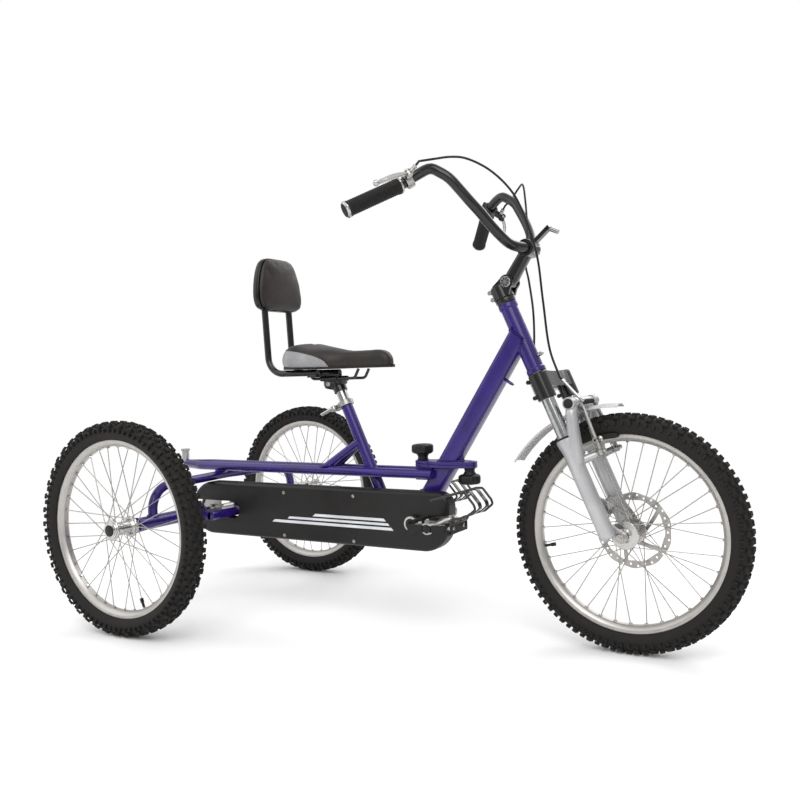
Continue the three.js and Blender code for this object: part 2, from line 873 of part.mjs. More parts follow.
// A stretch of the beam, oversized by a clearance where it cuts a neighbour
function beamBox(from, to, grow = 0) {
  const length = from.distanceTo(to);
  const [halfDepth, halfWidth] = [beamDepth / 2 + grow, beamWidth / 2 + grow];
  const shape = new THREE.Shape();
  const corner = beamCorner;
  shape.moveTo(corner - halfDepth, -halfWidth);
  shape.lineTo(halfDepth - corner, -halfWidth);
  shape.absarc(halfDepth - corner, corner - halfWidth, corner, -Math.PI / 2, 0);
  shape.absarc(halfDepth - corner, halfWidth - corner, corner, 0, Math.PI / 2);
  shape.absarc(corner - halfDepth, halfWidth - corner, corner, Math.PI / 2, Math.PI);
  shape.absarc(corner - halfDepth, corner - halfWidth, corner, Math.PI, Math.PI * 1.5);
  const geometry = new THREE.ExtrudeGeometry(shape, { depth: length, bevelEnabled: false, curveSegments: 2 });
  const along = to.clone().sub(from).normalize();
  const depthways = new THREE.Vector3().crossVectors(vec(0, 1, 0), along).normalize();
  geometry.applyMatrix4(new THREE.Matrix4().makeBasis(depthways, vec(0, 1, 0), along));
  geometry.translate(from.x, from.y, from.z);
  return solidOf(geometry);
}

// Plate of the split joint: wide at the beam, with a lobe round each knob's stud
function splitPlate(lowZ, highZ) {
  const shape = new THREE.Shape();
  const half = beamDepth / Math.sin(beamAngle) / 2;
  const [rearX, frontX] = [beamX(splitHeight) - half, beamX(splitHeight) + half];
  shape.absarc(frontKnobX, 0, plateLobeRadius, -plateFrontWrap, plateFrontWrap);
  shape.lineTo(frontX, plateHalfWidth);
  shape.lineTo(rearX, plateHalfWidth);
  shape.absarc(rearKnobX, 0, plateLobeRadius, plateRearWrap, 2 * Math.PI - plateRearWrap);
  shape.lineTo(rearX, -plateHalfWidth);
  shape.lineTo(frontX, -plateHalfWidth);
  const studBore = roundBore(knobStudRadius) / Math.cos(Math.PI / (2 * plateArcSteps));
  for (const x of [frontKnobX, rearKnobX]) {
    shape.holes.push(new THREE.Path().absarc(x, 0, studBore, 0, 2 * Math.PI, true));
  }
  return flat(shape, lowZ, highZ, plateArcSteps);
}

function beamPointAt(z) {
  return beamTop.clone().addScaledVector(beamAxis, (z - beamTop.z) / Math.sin(beamAngle));
}

const worldBlock = (lowZ, highZ) => {
  const span = 2 * wheelbase;
  return block(span, span, highZ - lowZ, vec(0, 0, (lowZ + highZ) / 2));
};

// Front frame: beam, head tube and the upper plate of the split joint
function frontBeam() {
  const low = beamPointAt(splitHeight - beamDepth);
  const belowSplit = worldBlock(low.z - beamDepth, splitHeight + fit / 2);
  const beam = carve(beamBox(low, beamTop), belowSplit);
  const headTop = headBottom.clone().addScaledVector(steerAxis, headTubeLength);
  const headTube = rod(headBottom, headTop, headTubeRadius, clampSides);
  const bore = rod(
    headBottom.clone().addScaledVector(steerAxis, -overrun),
    headTop.clone().addScaledVector(steerAxis, overrun),
    headTubeBore,
    clampSides,
  );
  const plate = splitPlate(splitHeight + fit / 2, splitHeight + fit / 2 + plateThickness);
  return carve(join(beam, headTube, plate), bore);
}

// Rear stub of the beam with the lower plate, the bottom bracket shell and a gusset to each rail
function lowerBeam() {
  const high = beamPointAt(splitHeight + beamDepth);
  const low = beamPointAt(crankZ + bracketRadius);
  const aboveSplit = worldBlock(splitHeight - fit / 2, high.z + beamDepth);
  const beam = carve(beamBox(low, high), aboveSplit);
  const plate = splitPlate(splitHeight - fit / 2 - plateThickness, splitHeight - fit / 2);
  const shellHalf = guardInnerFace - guardWall - fit;
  const shell = rod(
    vec(crankX, -shellHalf, crankZ),
    vec(crankX, shellHalf, crankZ),
    bracketRadius,
    clampSides,
  );
  const webCentre = vec(crankX - webSetBack, 0, crankZ + bracketRadius);
  const web = block(beamDepth, beamWidth - 2 * beamCorner, 2 * bracketRadius, webCentre);
  const bore = rod(
    vec(crankX, -guardInnerFace, crankZ),
    vec(crankX, guardInnerFace, crankZ),
    roundBore(spindleRadius),
  );
  const rearFace = beamX(railHeight) - beamDepth / Math.sin(beamAngle) / 2;
  const gusset = block(
    gussetLength,
    2 * (railSpread - railRadius) - 2 * fit,
    gussetHeight,
    vec(rearFace - gussetLength / 2 + gussetOverlap, 0, railHeight - fit),
  );
  const studHole = rod(
    vec(rearKnobX, 0, splitHeight),
    vec(rearKnobX, 0, splitHeight - 2 * plateThickness - knobStudTail),
    roundBore(knobStudRadius),
  );
  return carve(join(beam, plate, shell, web, gusset), bore, studHole);
}

// Side rail from the rear post to the beam
function rail(side) {
  const stations = bend(
    [
      vec(railRearX, 0, railHeight),
      vec(railTaperX, side * railSpread, railHeight),
      vec(beamX(railHeight), side * railSpread, railHeight),
    ],
    archBend,
    3,
  );
  const postCut = rod(vec(railRearX, 0, 0), vec(railRearX, 0, postTop), postRadius + fit, 2 * tubeSides);
  const otherSide = block(
    wheelbase,
    railSpread,
    railHeight,
    vec(0, -side * (railSpread / 2 - fit / 2), railHeight),
  );
  const beamCut = beamBox(beamPointAt(railHeight - beamDepth), beamPointAt(railHeight + beamDepth), fit);
  return carve(tube(stations, railRadius), postCut, otherSide, beamCut);
}

// Seat tube with the two stays that brace it from the rails
function seatTube() {
  const bottom = seatFoot.clone().addScaledVector(seatAxis, -seatTubeBelow);
  const top = seatFoot.clone().addScaledVector(seatAxis, seatTubeAbove);
  const boreEnd = seatFoot.clone().addScaledVector(seatAxis, -seatTubeBelow / 2);
  const stayTop = seatFoot.clone().addScaledVector(seatAxis, stayTopAlong);
  let whole = rod(bottom, top, seatTubeRadius);
  for (const side of [-1, 1]) {
    const foot = vec(stayFootX, side * railSpread, railHeight);
    const stay = rod(foot, stayTop.clone().setY((side * seatTubeRadius) / 2), stayRadius, 10);
    whole = whole.add(stay);
  }
  for (const side of [-1, 1]) {
    const start = vec(stayFootX - stayTrimLength / 2, side * railSpread, railHeight);
    const end = vec(stayFootX + stayTrimLength / 2, side * railSpread, railHeight);
    whole = whole.subtract(rod(start, end, railRadius + fit, 2 * tubeSides));
    const underside = block(
      stayTrimLength,
      railSpread,
      2 * railRadius,
      vec(stayFootX, side * railSpread, railHeight - railRadius),
    );
    whole = whole.subtract(underside);
  }
  const bore = rod(boreEnd, top.clone().addScaledVector(seatAxis, overrun), seatTubeBore);
  return carve(whole, bore);
}

function rearPost() {
  const profile = [
    [postRadius, postBottom],
    [postRadius, postTop - postFlangeHeight],
    [postFlangeRadius, postTop - postFlangeHeight],
    [postFlangeRadius, postTop],
    [postRadius - postWall, postTop],
    [postRadius - postWall, postBottom + postWall],
    [0, postBottom + postWall],
    [0, postBottom],
  ];
  return turnedAlong(profile, tubeSides, vec(railRearX, 0, 0), vec(0, 0, 1));
}

// Knob with a lobed head, a neck and a threaded stud through both plates
function knob(x, seatZ, direction) {
  const head = new THREE.Shape();
  const steps = knobLobes * 4;
  for (let i = 0; i < steps; i++) {
    const turn = (2 * Math.PI * i) / steps;
    const reach = knobHeadRadius - knobLobeDepth * (1 - Math.cos(knobLobes * turn)) / 2;
    const place = [x + reach * Math.cos(turn), reach * Math.sin(turn)];
    if (i === 0) head.moveTo(...place);
    else head.lineTo(...place);
  }
  const face = seatZ + direction * fit;
  const neckEnd = face + direction * knobNeckLength;
  const headEnd = neckEnd + direction * knobHeadHeight;
  const studEnd = face - direction * (2 * plateThickness + 2 * fit + knobStudTail);
  const neck = rod(vec(x, 0, face), vec(x, 0, neckEnd + direction * bond), knobNeckRadius);
  const stud = rod(vec(x, 0, studEnd), vec(x, 0, face + direction * bond), knobStudRadius);
  return join(flat(head, Math.min(neckEnd, headEnd), Math.max(neckEnd, headEnd)), neck, stud);
}

// Side outline of the chain guard, drawn in by an inset, open at the rear where the axle enters
function guardOutline(inset) {
  const shape = new THREE.Shape();
  const reach = guardHalfHeight - inset;
  const corner = guardTopCorner - inset;
  const frontEdge = guardFrontX + guardHalfHeight - guardTopCorner;
  shape.moveTo(guardRearX, guardCentreZ - reach);
  shape.lineTo(guardFrontX, guardCentreZ - reach);
  shape.absarc(guardFrontX, guardCentreZ, reach, -Math.PI / 2, 0);
  shape.absarc(frontEdge, guardCentreZ + guardHalfHeight - guardTopCorner, corner, 0, Math.PI / 2);
  shape.lineTo(guardRearX, guardCentreZ + reach);
  shape.absarc(guardRearX, guardCentreZ, reach, Math.PI / 2, Math.PI * 1.5);
  return shape;
}

function guardSlot() {
  const shape = new THREE.Shape();
  const rear = guardRearX - guardHalfHeight - overrun;
  shape.moveTo(rear, crankZ - guardSlotHalf);
  shape.lineTo(guardSlotX, crankZ - guardSlotHalf);
  shape.absarc(guardSlotX, crankZ, guardSlotHalf, -Math.PI / 2, Math.PI / 2);
  shape.lineTo(rear, crankZ + guardSlotHalf);
  return upright(shape, -guardOuterFace - overrun, overrun - guardInnerFace + guardWall);
}

const spindleHole = () =>
  rod(
    vec(crankX, -guardOuterFace - overrun, crankZ),
    vec(crankX, overrun - guardInnerFace + guardWall, crankZ),
    guardSpindleHole,
  );

function chainGuard() {
  const panel = upright(guardOutline(0), -guardOuterFace, guardWall - guardOuterFace);
  const wallShape = guardOutline(0);
  wallShape.holes.push(guardOutline(guardWall));
  const wall = upright(wallShape, -guardOuterFace, -guardInnerFace);
  return carve(join(panel, wall), guardSlot(), spindleHole());
}

function guardBack() {
  const plate = upright(guardOutline(guardWall + fit), -guardInnerFace, guardWall - guardInnerFace);
  return carve(plate, guardSlot(), spindleHole());
}

// Loop round the two toothed wheels, at their pitch lines
function chain() {
  const sprocket = vec(0, 0, axleHeight);
  const loop = (grow) => {
    const along = bracketCentre.clone().sub(sprocket);
    const lean = Math.asin((ringPitchRadius - sprocketPitchRadius) / along.length());
    const heading = Math.atan2(along.z, along.x);
    const top = heading + Math.PI / 2 + lean;
    const bottom = heading - Math.PI / 2 - lean;
    const shape = new THREE.Shape();
    shape.absarc(crankX, crankZ, ringPitchRadius + grow, bottom, top);
    shape.absarc(0, axleHeight, sprocketPitchRadius + grow, top, bottom + 2 * Math.PI);
    return shape;
  };
  const shape = loop(chainHeight / 2);
  shape.holes.push(loop(-chainHeight / 2));
  return upright(shape, -chainPlane - chainWidth / 2, chainWidth / 2 - chainPlane, 10);
}

// Spindle through the bottom bracket with the chainring on it
function crankSpindle() {
  const end = crankInnerFace + crankThickness;
  const spindle = rod(vec(crankX, -end, crankZ), vec(crankX, end, crankZ), spindleRadius);
  const rootRadius = ringPitchRadius - chainHeight / 2 - fit;
  const disc = new THREE.Shape().absarc(crankX, crankZ, rootRadius, 0, 2 * Math.PI);
  for (let i = 0; i < ringWindowCount; i++) {
    const turn = (2 * Math.PI * i) / ringWindowCount;
    const reach = (rootRadius + spindleRadius) / 2;
    const [x, z] = [crankX + reach * Math.cos(turn), crankZ + reach * Math.sin(turn)];
    disc.holes.push(new THREE.Path().absarc(x, z, ringWindowRadius, 0, 2 * Math.PI, true));
  }
  const ring = upright(disc, -chainPlane - ringThickness / 2, ringThickness / 2 - chainPlane, 5);
  return join(spindle, ring);
}

// Crank arm on one side: right is -1 and points forwards, left is 1 and points back
function crankArm(side) {
  const inner = side * crankInnerFace;
  const outer = side * (crankInnerFace + crankThickness);
  const middle = (inner + outer) / 2;
  const eye = bracketCentre.clone().addScaledVector(pedalOffset, -side);
  const capEnd = outer + side * crankCapHeight;
  const hubMiddle = bracketCentre.clone().setY(middle);
  const boss = rod(vec(crankX, inner, crankZ), vec(crankX, outer, crankZ), crankBossRadius);
  const cap = rod(hubMiddle, bracketCentre.clone().setY(capEnd), crankCapRadius);
  const arm = bar(hubMiddle, eye.clone().setY(middle), crankArmThickness, crankArmWidth);
  const eyeBoss = rod(eye.clone().setY(inner), eye.clone().setY(outer), crankEyeRadius);
  const axle = rod(
    eye.clone().setY(middle),
    eye.clone().setY(side * (pedalInner + pedalLength - pedalArm)),
    pedalAxleRadius,
  );
  const spindleRoom = rod(
    vec(crankX, inner - side * overrun, crankZ),
    vec(crankX, outer + side * fit, crankZ),
    roundBore(spindleRadius, fit),
  );
  return carve(join(boss, cap, arm, eyeBoss, axle), spindleRoom);
}

// Pedal: a barrel between a front and a rear plate, joined by an arm at each end
function pedal(side) {
  const centre = bracketCentre.clone().addScaledVector(pedalOffset, -side);
  const [inner, outer] = [side * pedalInner, side * (pedalInner + pedalLength)];
  const middleY = (inner + outer) / 2;
  let whole = rod(centre.clone().setY(inner), centre.clone().setY(outer), pedalBarrelRadius);
  for (const end of [-1, 1]) {
    const x = centre.x + end * (pedalDepth - pedalPlate) / 2;
    whole = whole.add(block(pedalPlate, pedalLength, pedalHeight, vec(x, middleY, centre.z)));
    const y = middleY + end * (pedalLength - pedalArm) / 2;
    const armLength = pedalDepth - pedalPlate;
    whole = whole.add(block(armLength, pedalArm, pedalBarrelRadius, vec(centre.x, y, centre.z)));
  }
  const bore = rod(
    centre.clone().setY(inner - side * overrun),
    centre.clone().setY(outer - side * (pedalArm - fit)),
    roundBore(pedalAxleRadius),
  );
  return whole.subtract(bore);
}

// Flat strip along stations in a fore-and-aft plane
function strip(stations, width, thickness) {
  const path = new StationPath(stations);
  const across = vec(0, 1, 0);
  const rings = stations.map((place, i) => {
    const out = new THREE.Vector3().crossVectors(path.getTangentAt(i / (stations.length - 1)), across);
    const at = (widthways, outwards) =>
      place.clone().addScaledVector(across, widthways).addScaledVector(out.clone().normalize(), outwards);
    const [w, t] = [width / 2, thickness / 2];
    return [at(-w, -t), at(w, -t), at(w, t), at(-w, t)];
  });
  return lofted(rings);
}

// Side profile of the toe cage as shares of its reach and rise, from the front plate round to over the foot
const cageProfileShares = [
  [0.45, 0.13],
  [0.48, 0.25],
  [0.84, 0.39],
  [1, 0.58],
  [0.97, 0.7],
  [0.79, 1],
  [0.66, 0.99],
  [0.07, 0.75],
];

// Toe cage bolted in front of a pedal: two side wires, two flat bands and the cross wires that tie them
function toeCage(side) {
  const centre = bracketCentre.clone().addScaledVector(pedalOffset, -side);
  const middleY = side * (pedalInner + pedalLength / 2);
  const place = ([reachShare, riseShare], y) =>
    vec(centre.x + cageReach * reachShare, y, centre.z + cageRise * riseShare);
  const plateX = centre.x + pedalDepth / 2 + fit + cageBandThickness / 2;
  let whole = block(cageBandThickness, cagePlateWidth, pedalHeight, vec(plateX, middleY, centre.z));
  const wireEnd = cageWireSpread / 2 + cageWireRadius;
  for (const share of [cageProfileShares[0], cageProfileShares[cageProfileShares.length - 1]]) {
    const [low, high] = [place(share, middleY - wireEnd), place(share, middleY + wireEnd)];
    whole = whole.add(rod(low, high, cageWireRadius, 6));
  }
  for (const end of [-1, 1]) {
    const wireY = middleY + (end * cageWireSpread) / 2;
    whole = whole.add(tube(cageProfileShares.map((pair) => place(pair, wireY)), cageWireRadius, 6));
    const bandY = middleY + (end * cageBandSpread) / 2;
    const bandStations = cageProfileShares.map((pair) => place(pair, bandY));
    whole = whole.add(strip(bandStations, cageBandWidth, cageBandThickness));
  }
  return whole;
}

// Steering parts are drawn upright, then tilted to the head tube's angle
const steering = new THREE.Group();
steering.position.copy(headBottom);
steering.rotation.y = headAngle - Math.PI / 2;
trike.add(steering);
const wheelCentre = vec(forkOffset, 0, -forkLength);

// Places a point of the whole tricycle in the steering's own frame
function inSteering(point) {
  const offset = point.clone().sub(headBottom);
  return vec(offset.dot(steerForward), offset.y, offset.dot(steerAxis));
}

function headsetCup(lowZ, highZ) {
  const bore = roundBore(steererRadius);
  const profile = [
    [bore, lowZ],
    [headsetRadius, lowZ],
    [headsetRadius, highZ],
    [bore, highZ],
  ];
  return turnedAlong(profile, tubeSides, vec(0, 0, 0), vec(0, 0, 1));
}

// Steerer, crown and both stanchions
function forkCrown() {
  const crownZ = -headsetLowHeight - fit - crownHeight;
  const steererEnd = headTubeLength + headsetTopHeight + steererInStem;
  let whole = rod(vec(0, 0, crownZ + bond), vec(0, 0, steererEnd), steererRadius);
  const shape = new THREE.Shape();
  const hubHalf = crownDepth / 2;
  shape.absarc(legForward, -legSpread, hubHalf, Math.PI, 2 * Math.PI);
  shape.absarc(legForward, legSpread, hubHalf, 0, Math.PI);
  shape.lineTo(-hubHalf, headsetRadius / 2);
  shape.lineTo(-hubHalf, -headsetRadius / 2);
  whole = whole.add(flat(shape, crownZ, crownZ + crownHeight, 6));
  for (const side of [-1, 1]) {
    const y = side * legSpread;
    const top = vec(legForward, y, crownZ + bond);
    whole = whole.add(rod(vec(legForward, y, stanchionEndAboveAxle - forkLength), top, stanchionRadius));
  }
  return whole;
}

// One lower leg with its dropout, axle nut and the boss and pin of the rim brake
function lowerLeg(side) {
  const y = side * legSpread;
  const legBottom = -forkLength + lowerBottomUp;
  const dropY = side * (dropoutInner + dropoutThickness / 2);
  const nutEnd = wheelCentre.clone().setY(side * (dropoutInner + dropoutThickness + frontNutLength));
  const bossEnd = vec(brakeBossEnd, side * brakeBossSpread, brakeBossAboveAxle - forkLength);
  const pinStart = bossEnd.clone().setX(brakeBossEnd - brakeBossRadius);
  const dropStart = vec(legForward, dropY, legBottom + dropoutWidth);
  return join(
    rod(vec(legForward, y, legBottom), vec(legForward, y, lowerAboveAxle - forkLength), lowerRadius),
    bar(dropStart, wheelCentre.clone().setY(dropY), dropoutThickness, dropoutWidth),
    rod(wheelCentre.clone().setY(side * dropoutInner), nutEnd, frontNutRadius, 8),
    rod(vec(legForward, y, brakeBossAboveAxle - forkLength), bossEnd, brakeBossRadius, 8),
    rod(pinStart, bossEnd.clone().setX(brakePinEnd), brakePinRadius, 8),
  );
}

// Plate on the left leg that carries the disc caliper
function caliperMount() {
  const centre = caliperCentre();
  const middleY = caliperOuter + fit + caliperMountThickness / 2;
  const length = legForward - centre.x;
  const middle = vec(centre.x + length / 2, middleY, centre.z);
  return block(length, caliperMountThickness, caliperMountHeight, middle);
}

// Both lower legs, the arch that ties them in front of the stanchions, and the front axle
function forkLowers() {
  const archCorners = [
    vec(legForward, -legSpread, archFootAboveAxle - forkLength),
    vec(legForward + archTopForward, -legSpread, archTopAboveAxle - forkLength),
    vec(legForward + archTopForward, legSpread, archTopAboveAxle - forkLength),
    vec(legForward, legSpread, archFootAboveAxle - forkLength),
  ];
  let whole = join(lowerLeg(-1), lowerLeg(1));
  for (let i = 0; i < archCorners.length - 1; i++) {
    whole = whole.add(rod(archCorners[i], archCorners[i + 1], forkArchRadius, 8));
  }
  for (const side of [-1, 1]) {
    const middle = side * legSpread;
    const [low, high] = [middle - archBossLength / 2, middle + archBossLength / 2];
    const top = archCorners[1];
    whole = whole.add(rod(top.clone().setY(low), top.clone().setY(high), archBossRadius, 10));
    const bore = rod(
      vec(legForward, middle, boreEndAboveAxle - forkLength),
      vec(legForward, middle, overrun + archTopAboveAxle - forkLength),
      roundBore(stanchionRadius),
    );
    whole = whole.subtract(bore);
  }
  const [rightEnd, leftEnd] = [-1, 1].map((side) => wheelCentre.clone().setY(side * dropoutInner));
  return join(whole, caliperMount(), rod(rightEnd, leftEnd, frontAxleRadius));
}

// Short mudguard: an arc round the wheel, folded down a little at both edges
function mudguard() {
  const steps = 8;
  const half = mudguardWidth / 2;
  const rings = [];
  for (let i = 0; i <= steps; i++) {
    const turn = mudguardStart + ((mudguardEnd - mudguardStart) * i) / steps;
    const crest = mudguardFrontRadius + ((mudguardRearRadius - mudguardFrontRadius) * i) / steps;
    const out = vec(Math.cos(turn), 0, Math.sin(turn));
    const at = (radius, y) => wheelCentre.clone().addScaledVector(out, radius).setY(y);
    rings.push([
      at(crest - mudguardCrown, -half),
      at(crest, -half / 2),
      at(crest, half / 2),
      at(crest - mudguardCrown, half),
      at(crest - mudguardCrown + mudguardThickness, half),
      at(crest + mudguardThickness, half / 2),
      at(crest + mudguardThickness, -half / 2),
      at(crest - mudguardCrown + mudguardThickness, -half),
    ]);
  }
  const tabFoot = vec(legForward + archTopForward, 0, archTopAboveAxle - forkLength);
  const inward = wheelCentre.clone().sub(tabFoot).normalize();
  const tabEnd = tabFoot.clone().addScaledVector(inward, forkArchRadius + mudguardCrown);
  const tab = rod(tabFoot, tabEnd, mudguardTabRadius, smallSides);
  const archRoom = rod(
    tabFoot.clone().setY(-mudguardWidth),
    tabFoot.clone().setY(mudguardWidth),
    forkArchRadius + fit,
    2 * smallSides,
  );
  return lofted(rings).add(tab).subtract(archRoom);
}

// Middle of the disc caliper, behind the left leg at the rotor's edge
function caliperCentre() {
  const out = vec(Math.cos(caliperAngle), 0, Math.sin(caliperAngle));
  return wheelCentre.clone().addScaledVector(out, rotorRadius).setY((caliperInner + caliperOuter) / 2);
}

// Disc caliper, slotted for the rotor
function caliper() {
  const body = block(caliperDepth, caliperOuter - caliperInner, caliperLength, caliperCentre());
  const slotHalf = rotorThickness / 2 + caliperGap;
  const slot = rod(
    wheelCentre.clone().setY(rotorPlane - slotHalf),
    wheelCentre.clone().setY(rotorPlane + slotHalf),
    rotorRadius + 2 * caliperGap,
    3 * smallSides,
  );
  return body.subtract(slot);
}

// Rim brake arm on one side: an eye round its pin, the arm and the pad on its own pin
function brakeArm(side) {
  const eye = vec(brakeArmX, side * brakeBossSpread, brakeBossAboveAxle - forkLength);
  const top = vec(brakeArmX, side * brakeArmTopSpread, brakeArmTopAboveAxle - forkLength);
  const half = brakeArmThickness / 2;
  const padWay = vec(Math.cos(brakePadAngle), 0, Math.sin(brakePadAngle));
  const padCentre = wheelCentre.clone().addScaledVector(padWay, brakePadReach);
  const padY = side * (rimWidth / 2 + brakePadGap + brakePadThickness / 2);
  const tangent = vec(Math.sin(brakePadAngle), 0, -Math.cos(brakePadAngle));
  const padEnd = (end) => padCentre.clone().addScaledVector(tangent, (end * brakePadLength) / 2).setY(padY);
  const pinX = vec(brakeArmX, 0, padCentre.z);
  const armY = side * (brakeBossSpread - brakeArmWidth / 2);
  const solid = join(
    rod(eye.clone().setX(brakeArmX - half), eye.clone().setX(brakeArmX + half), brakeEyeRadius),
    bar(eye, top, brakeArmWidth, brakeArmThickness),
    bar(padEnd(-1), padEnd(1), brakePadThickness, brakePadWidth),
    rod(pinX.clone().setY(padY), pinX.clone().setY(armY), brakePadPin, 8),
  );
  const hole = rod(
    eye.clone().setX(brakeArmX - half - overrun),
    eye.clone().setX(brakeArmX + half + overrun),
    roundBore(brakePinRadius),
  );
  return solid.subtract(hole);
}

// Centre line of the rim brake's bent guide pipe, from the cable's end down and across to the boot
const pipeTop = vec(pipeTopX, -pipeSide, pipeTopAboveAxle - forkLength);
const pipeCorner = vec(bootX, -pipeSide, bootAboveAxle - forkLength);

function brakeArmWithPipe() {
  const bootStart = pipeCorner.clone().setY(-brakeArmTopSpread);
  const pipeEnd = pipeCorner.clone().setY(-brakeArmTopSpread + 2 * bootRadius);
  const boot = rod(bootStart, bootStart.clone().setY(bootEnd), bootRadius, smallSides);
  const stations = bend([pipeTop, pipeCorner, pipeEnd], pipeBend, 4);
  return join(brakeArm(-1), tube(stations, pipeRadius, smallSides), boot);
}

// Clamp on the steerer with two ears that hold the stem's pivot bolt
function stemBase() {
  const pivot = inSteering(stemPivot);
  const low = headTubeLength + headsetTopHeight + fit;
  const high = low + stemBaseHeight;
  const earOuter = stemEarInner + stemEarThickness;
  let whole = rod(vec(0, 0, low), vec(0, 0, high), stemBaseRadius, clampSides);
  for (const side of [-1, 1]) {
    const middle = side * (stemEarInner + stemEarThickness / 2);
    const [earStart, earEnd] = [stemEarInner, earOuter].map((y) => pivot.clone().setY(side * y));
    const ear = rod(earStart, earEnd, stemEarRadius);
    const cheekCentre = vec(pivot.x / 2, middle, (pivot.z + low) / 2);
    const cheek = block(pivot.x, stemEarThickness, pivot.z - low, cheekCentre);
    whole = join(whole, ear, cheek);
  }
  const room = rod(
    pivot.clone().setY(-stemEarInner),
    pivot.clone().setY(stemEarInner),
    roundBore(stemBarrelRadius, stemBarrelRoom),
  );
  const boltHole = rod(
    pivot.clone().setY(-earOuter - overrun),
    pivot.clone().setY(earOuter + overrun),
    roundBore(stemBoltRadius),
  );
  const steererEnd = headTubeLength + headsetTopHeight + steererInStem + fit;
  const steererHole = rod(vec(0, 0, low - overrun), vec(0, 0, steererEnd), roundBore(steererRadius, fit));
  return carve(whole, room, boltHole, steererHole);
}

// The bar and all that it carries share a frame whose origin is the middle of the bar clamp
const cockpit = new THREE.Group();
cockpit.position.copy(barClamp);
trike.add(cockpit);

// Stem arm with its pivot bolt and the bar clamp
function stemArm() {
  const pivot = stemPivot.clone().sub(barClamp);
  const barrelHalf = stemEarInner - runningFit;
  const boltEnd = stemEarInner + stemEarThickness + fit + stemCapThickness;
  const capStart = stemEarInner + stemEarThickness + fit;
  let whole = join(
    rod(pivot.clone().setY(-barrelHalf), pivot.clone().setY(barrelHalf), stemBarrelRadius, clampSides),
    rod(pivot.clone().setY(-boltEnd), pivot.clone().setY(boltEnd), stemBoltRadius),
    bar(pivot, vec(0, 0, 0), stemArmWidth, stemArmDepth),
    rod(vec(0, -barClampHalf, 0), vec(0, barClampHalf, 0), barClampRadius, clampSides),
  );
  for (const side of [-1, 1]) {
    const cap = rod(pivot.clone().setY(side * capStart), pivot.clone().setY(side * boltEnd), stemCapRadius);
    whole = whole.add(cap);
  }
  const half = barClampHalf + overrun;
  return whole.subtract(rod(vec(0, -half, 0), vec(0, half, 0), roundBore(barRadius, fit)));
}

// Half of the bar's centre line as shares of sweep, half width and rise, from the clamp to the grip's end
const barShares = [
  [0, 0.085, 0],
  [0.022, 0.13, 0],
  [0.064, 0.203, 0.032],
  [0.102, 0.298, 0.135],
  [0.147, 0.366, 0.265],
  [0.2, 0.424, 0.419],
  [0.257, 0.475, 0.561],
  [0.321, 0.515, 0.716],
  [0.385, 0.553, 0.858],
  [0.453, 0.576, 0.942],
  [0.528, 0.586, 1],
  [0.634, 0.62, 0.923],
  [0.732, 0.688, 0.794],
  [1, 1, 0.432],
];
const barPoint = ([sweep, width, rise], side) =>
  vec(-barSweep * sweep, side * barHalfWidth * width, barRise * rise);

function handlebar() {
  const right = barShares.map((share) => barPoint(share, -1)).reverse();
  const left = barShares.map((share) => barPoint(share, 1));
  return tube([...right, ...left], barRadius, smallSides);
}

// Directions and places of one side's grip and brake lever
function handFrame(side) {
  const last = barShares.length - 1;
  const inner = barPoint(barShares[last - 1], side);
  const outer = barPoint(barShares[last], side);
  const bendStart = barPoint(barShares[last - 2], side);
  const along = outer.clone().sub(inner).normalize();
  const forward = vec(1, 0, 0).addScaledVector(along, -along.x).normalize();
  const upward = new THREE.Vector3().crossVectors(forward, along).multiplyScalar(side).normalize();
  const roll = side < 0 ? leverRollRight : leverRollLeft;
  const out = forward.clone().multiplyScalar(Math.cos(roll)).addScaledVector(upward, Math.sin(roll));
  const hinge = new THREE.Vector3().crossVectors(out, along).multiplyScalar(side).normalize();
  const at = (lengthways, outwards) =>
    inner.clone().addScaledVector(along, lengthways).addScaledVector(out, outwards);
  const clamp = bendStart.clone().add(inner).divideScalar(2);
  const clampAlong = inner.clone().sub(bendStart).normalize();
  const pivot = at(-leverInboard, leverPivotOut);
  const tip = at(leverTipAlong, leverTipOut);
  const barrelFoot = clamp.clone().lerp(pivot, barrelFootShare);
  const barrelWay = along.clone().negate().add(vec(0, 0, barrelLiftShare)).normalize();
  const barrelEnd = pivot.clone().addScaledVector(barrelWay, barrelLength);
  const barrelAxis = barrelEnd.clone().sub(barrelFoot).normalize();
  return { inner, outer, along, hinge, clamp, clampAlong, pivot, tip, barrelFoot, barrelEnd, barrelAxis };
}

// Rubber grip with a ring at each end, closed outboard
function grip(side) {
  const hand = handFrame(side);
  const length = hand.inner.distanceTo(hand.outer);
  const bore = roundBore(barRadius, fit);
  const profile = [
    [bore, gripStart],
    [gripRingRadius, gripStart],
    [gripRingRadius, gripStart + gripRingWidth],
    [gripRadius, gripStart + gripRingWidth],
    [gripRadius, length - gripRingWidth],
    [gripRingRadius, length - gripRingWidth],
    [gripRingRadius, length + gripCap],
    [0, length + gripCap],
    [0, length + fit],
    [bore, length + fit],
  ];
  return turnedAlong(profile, tubeSides, hand.inner, hand.along);
}

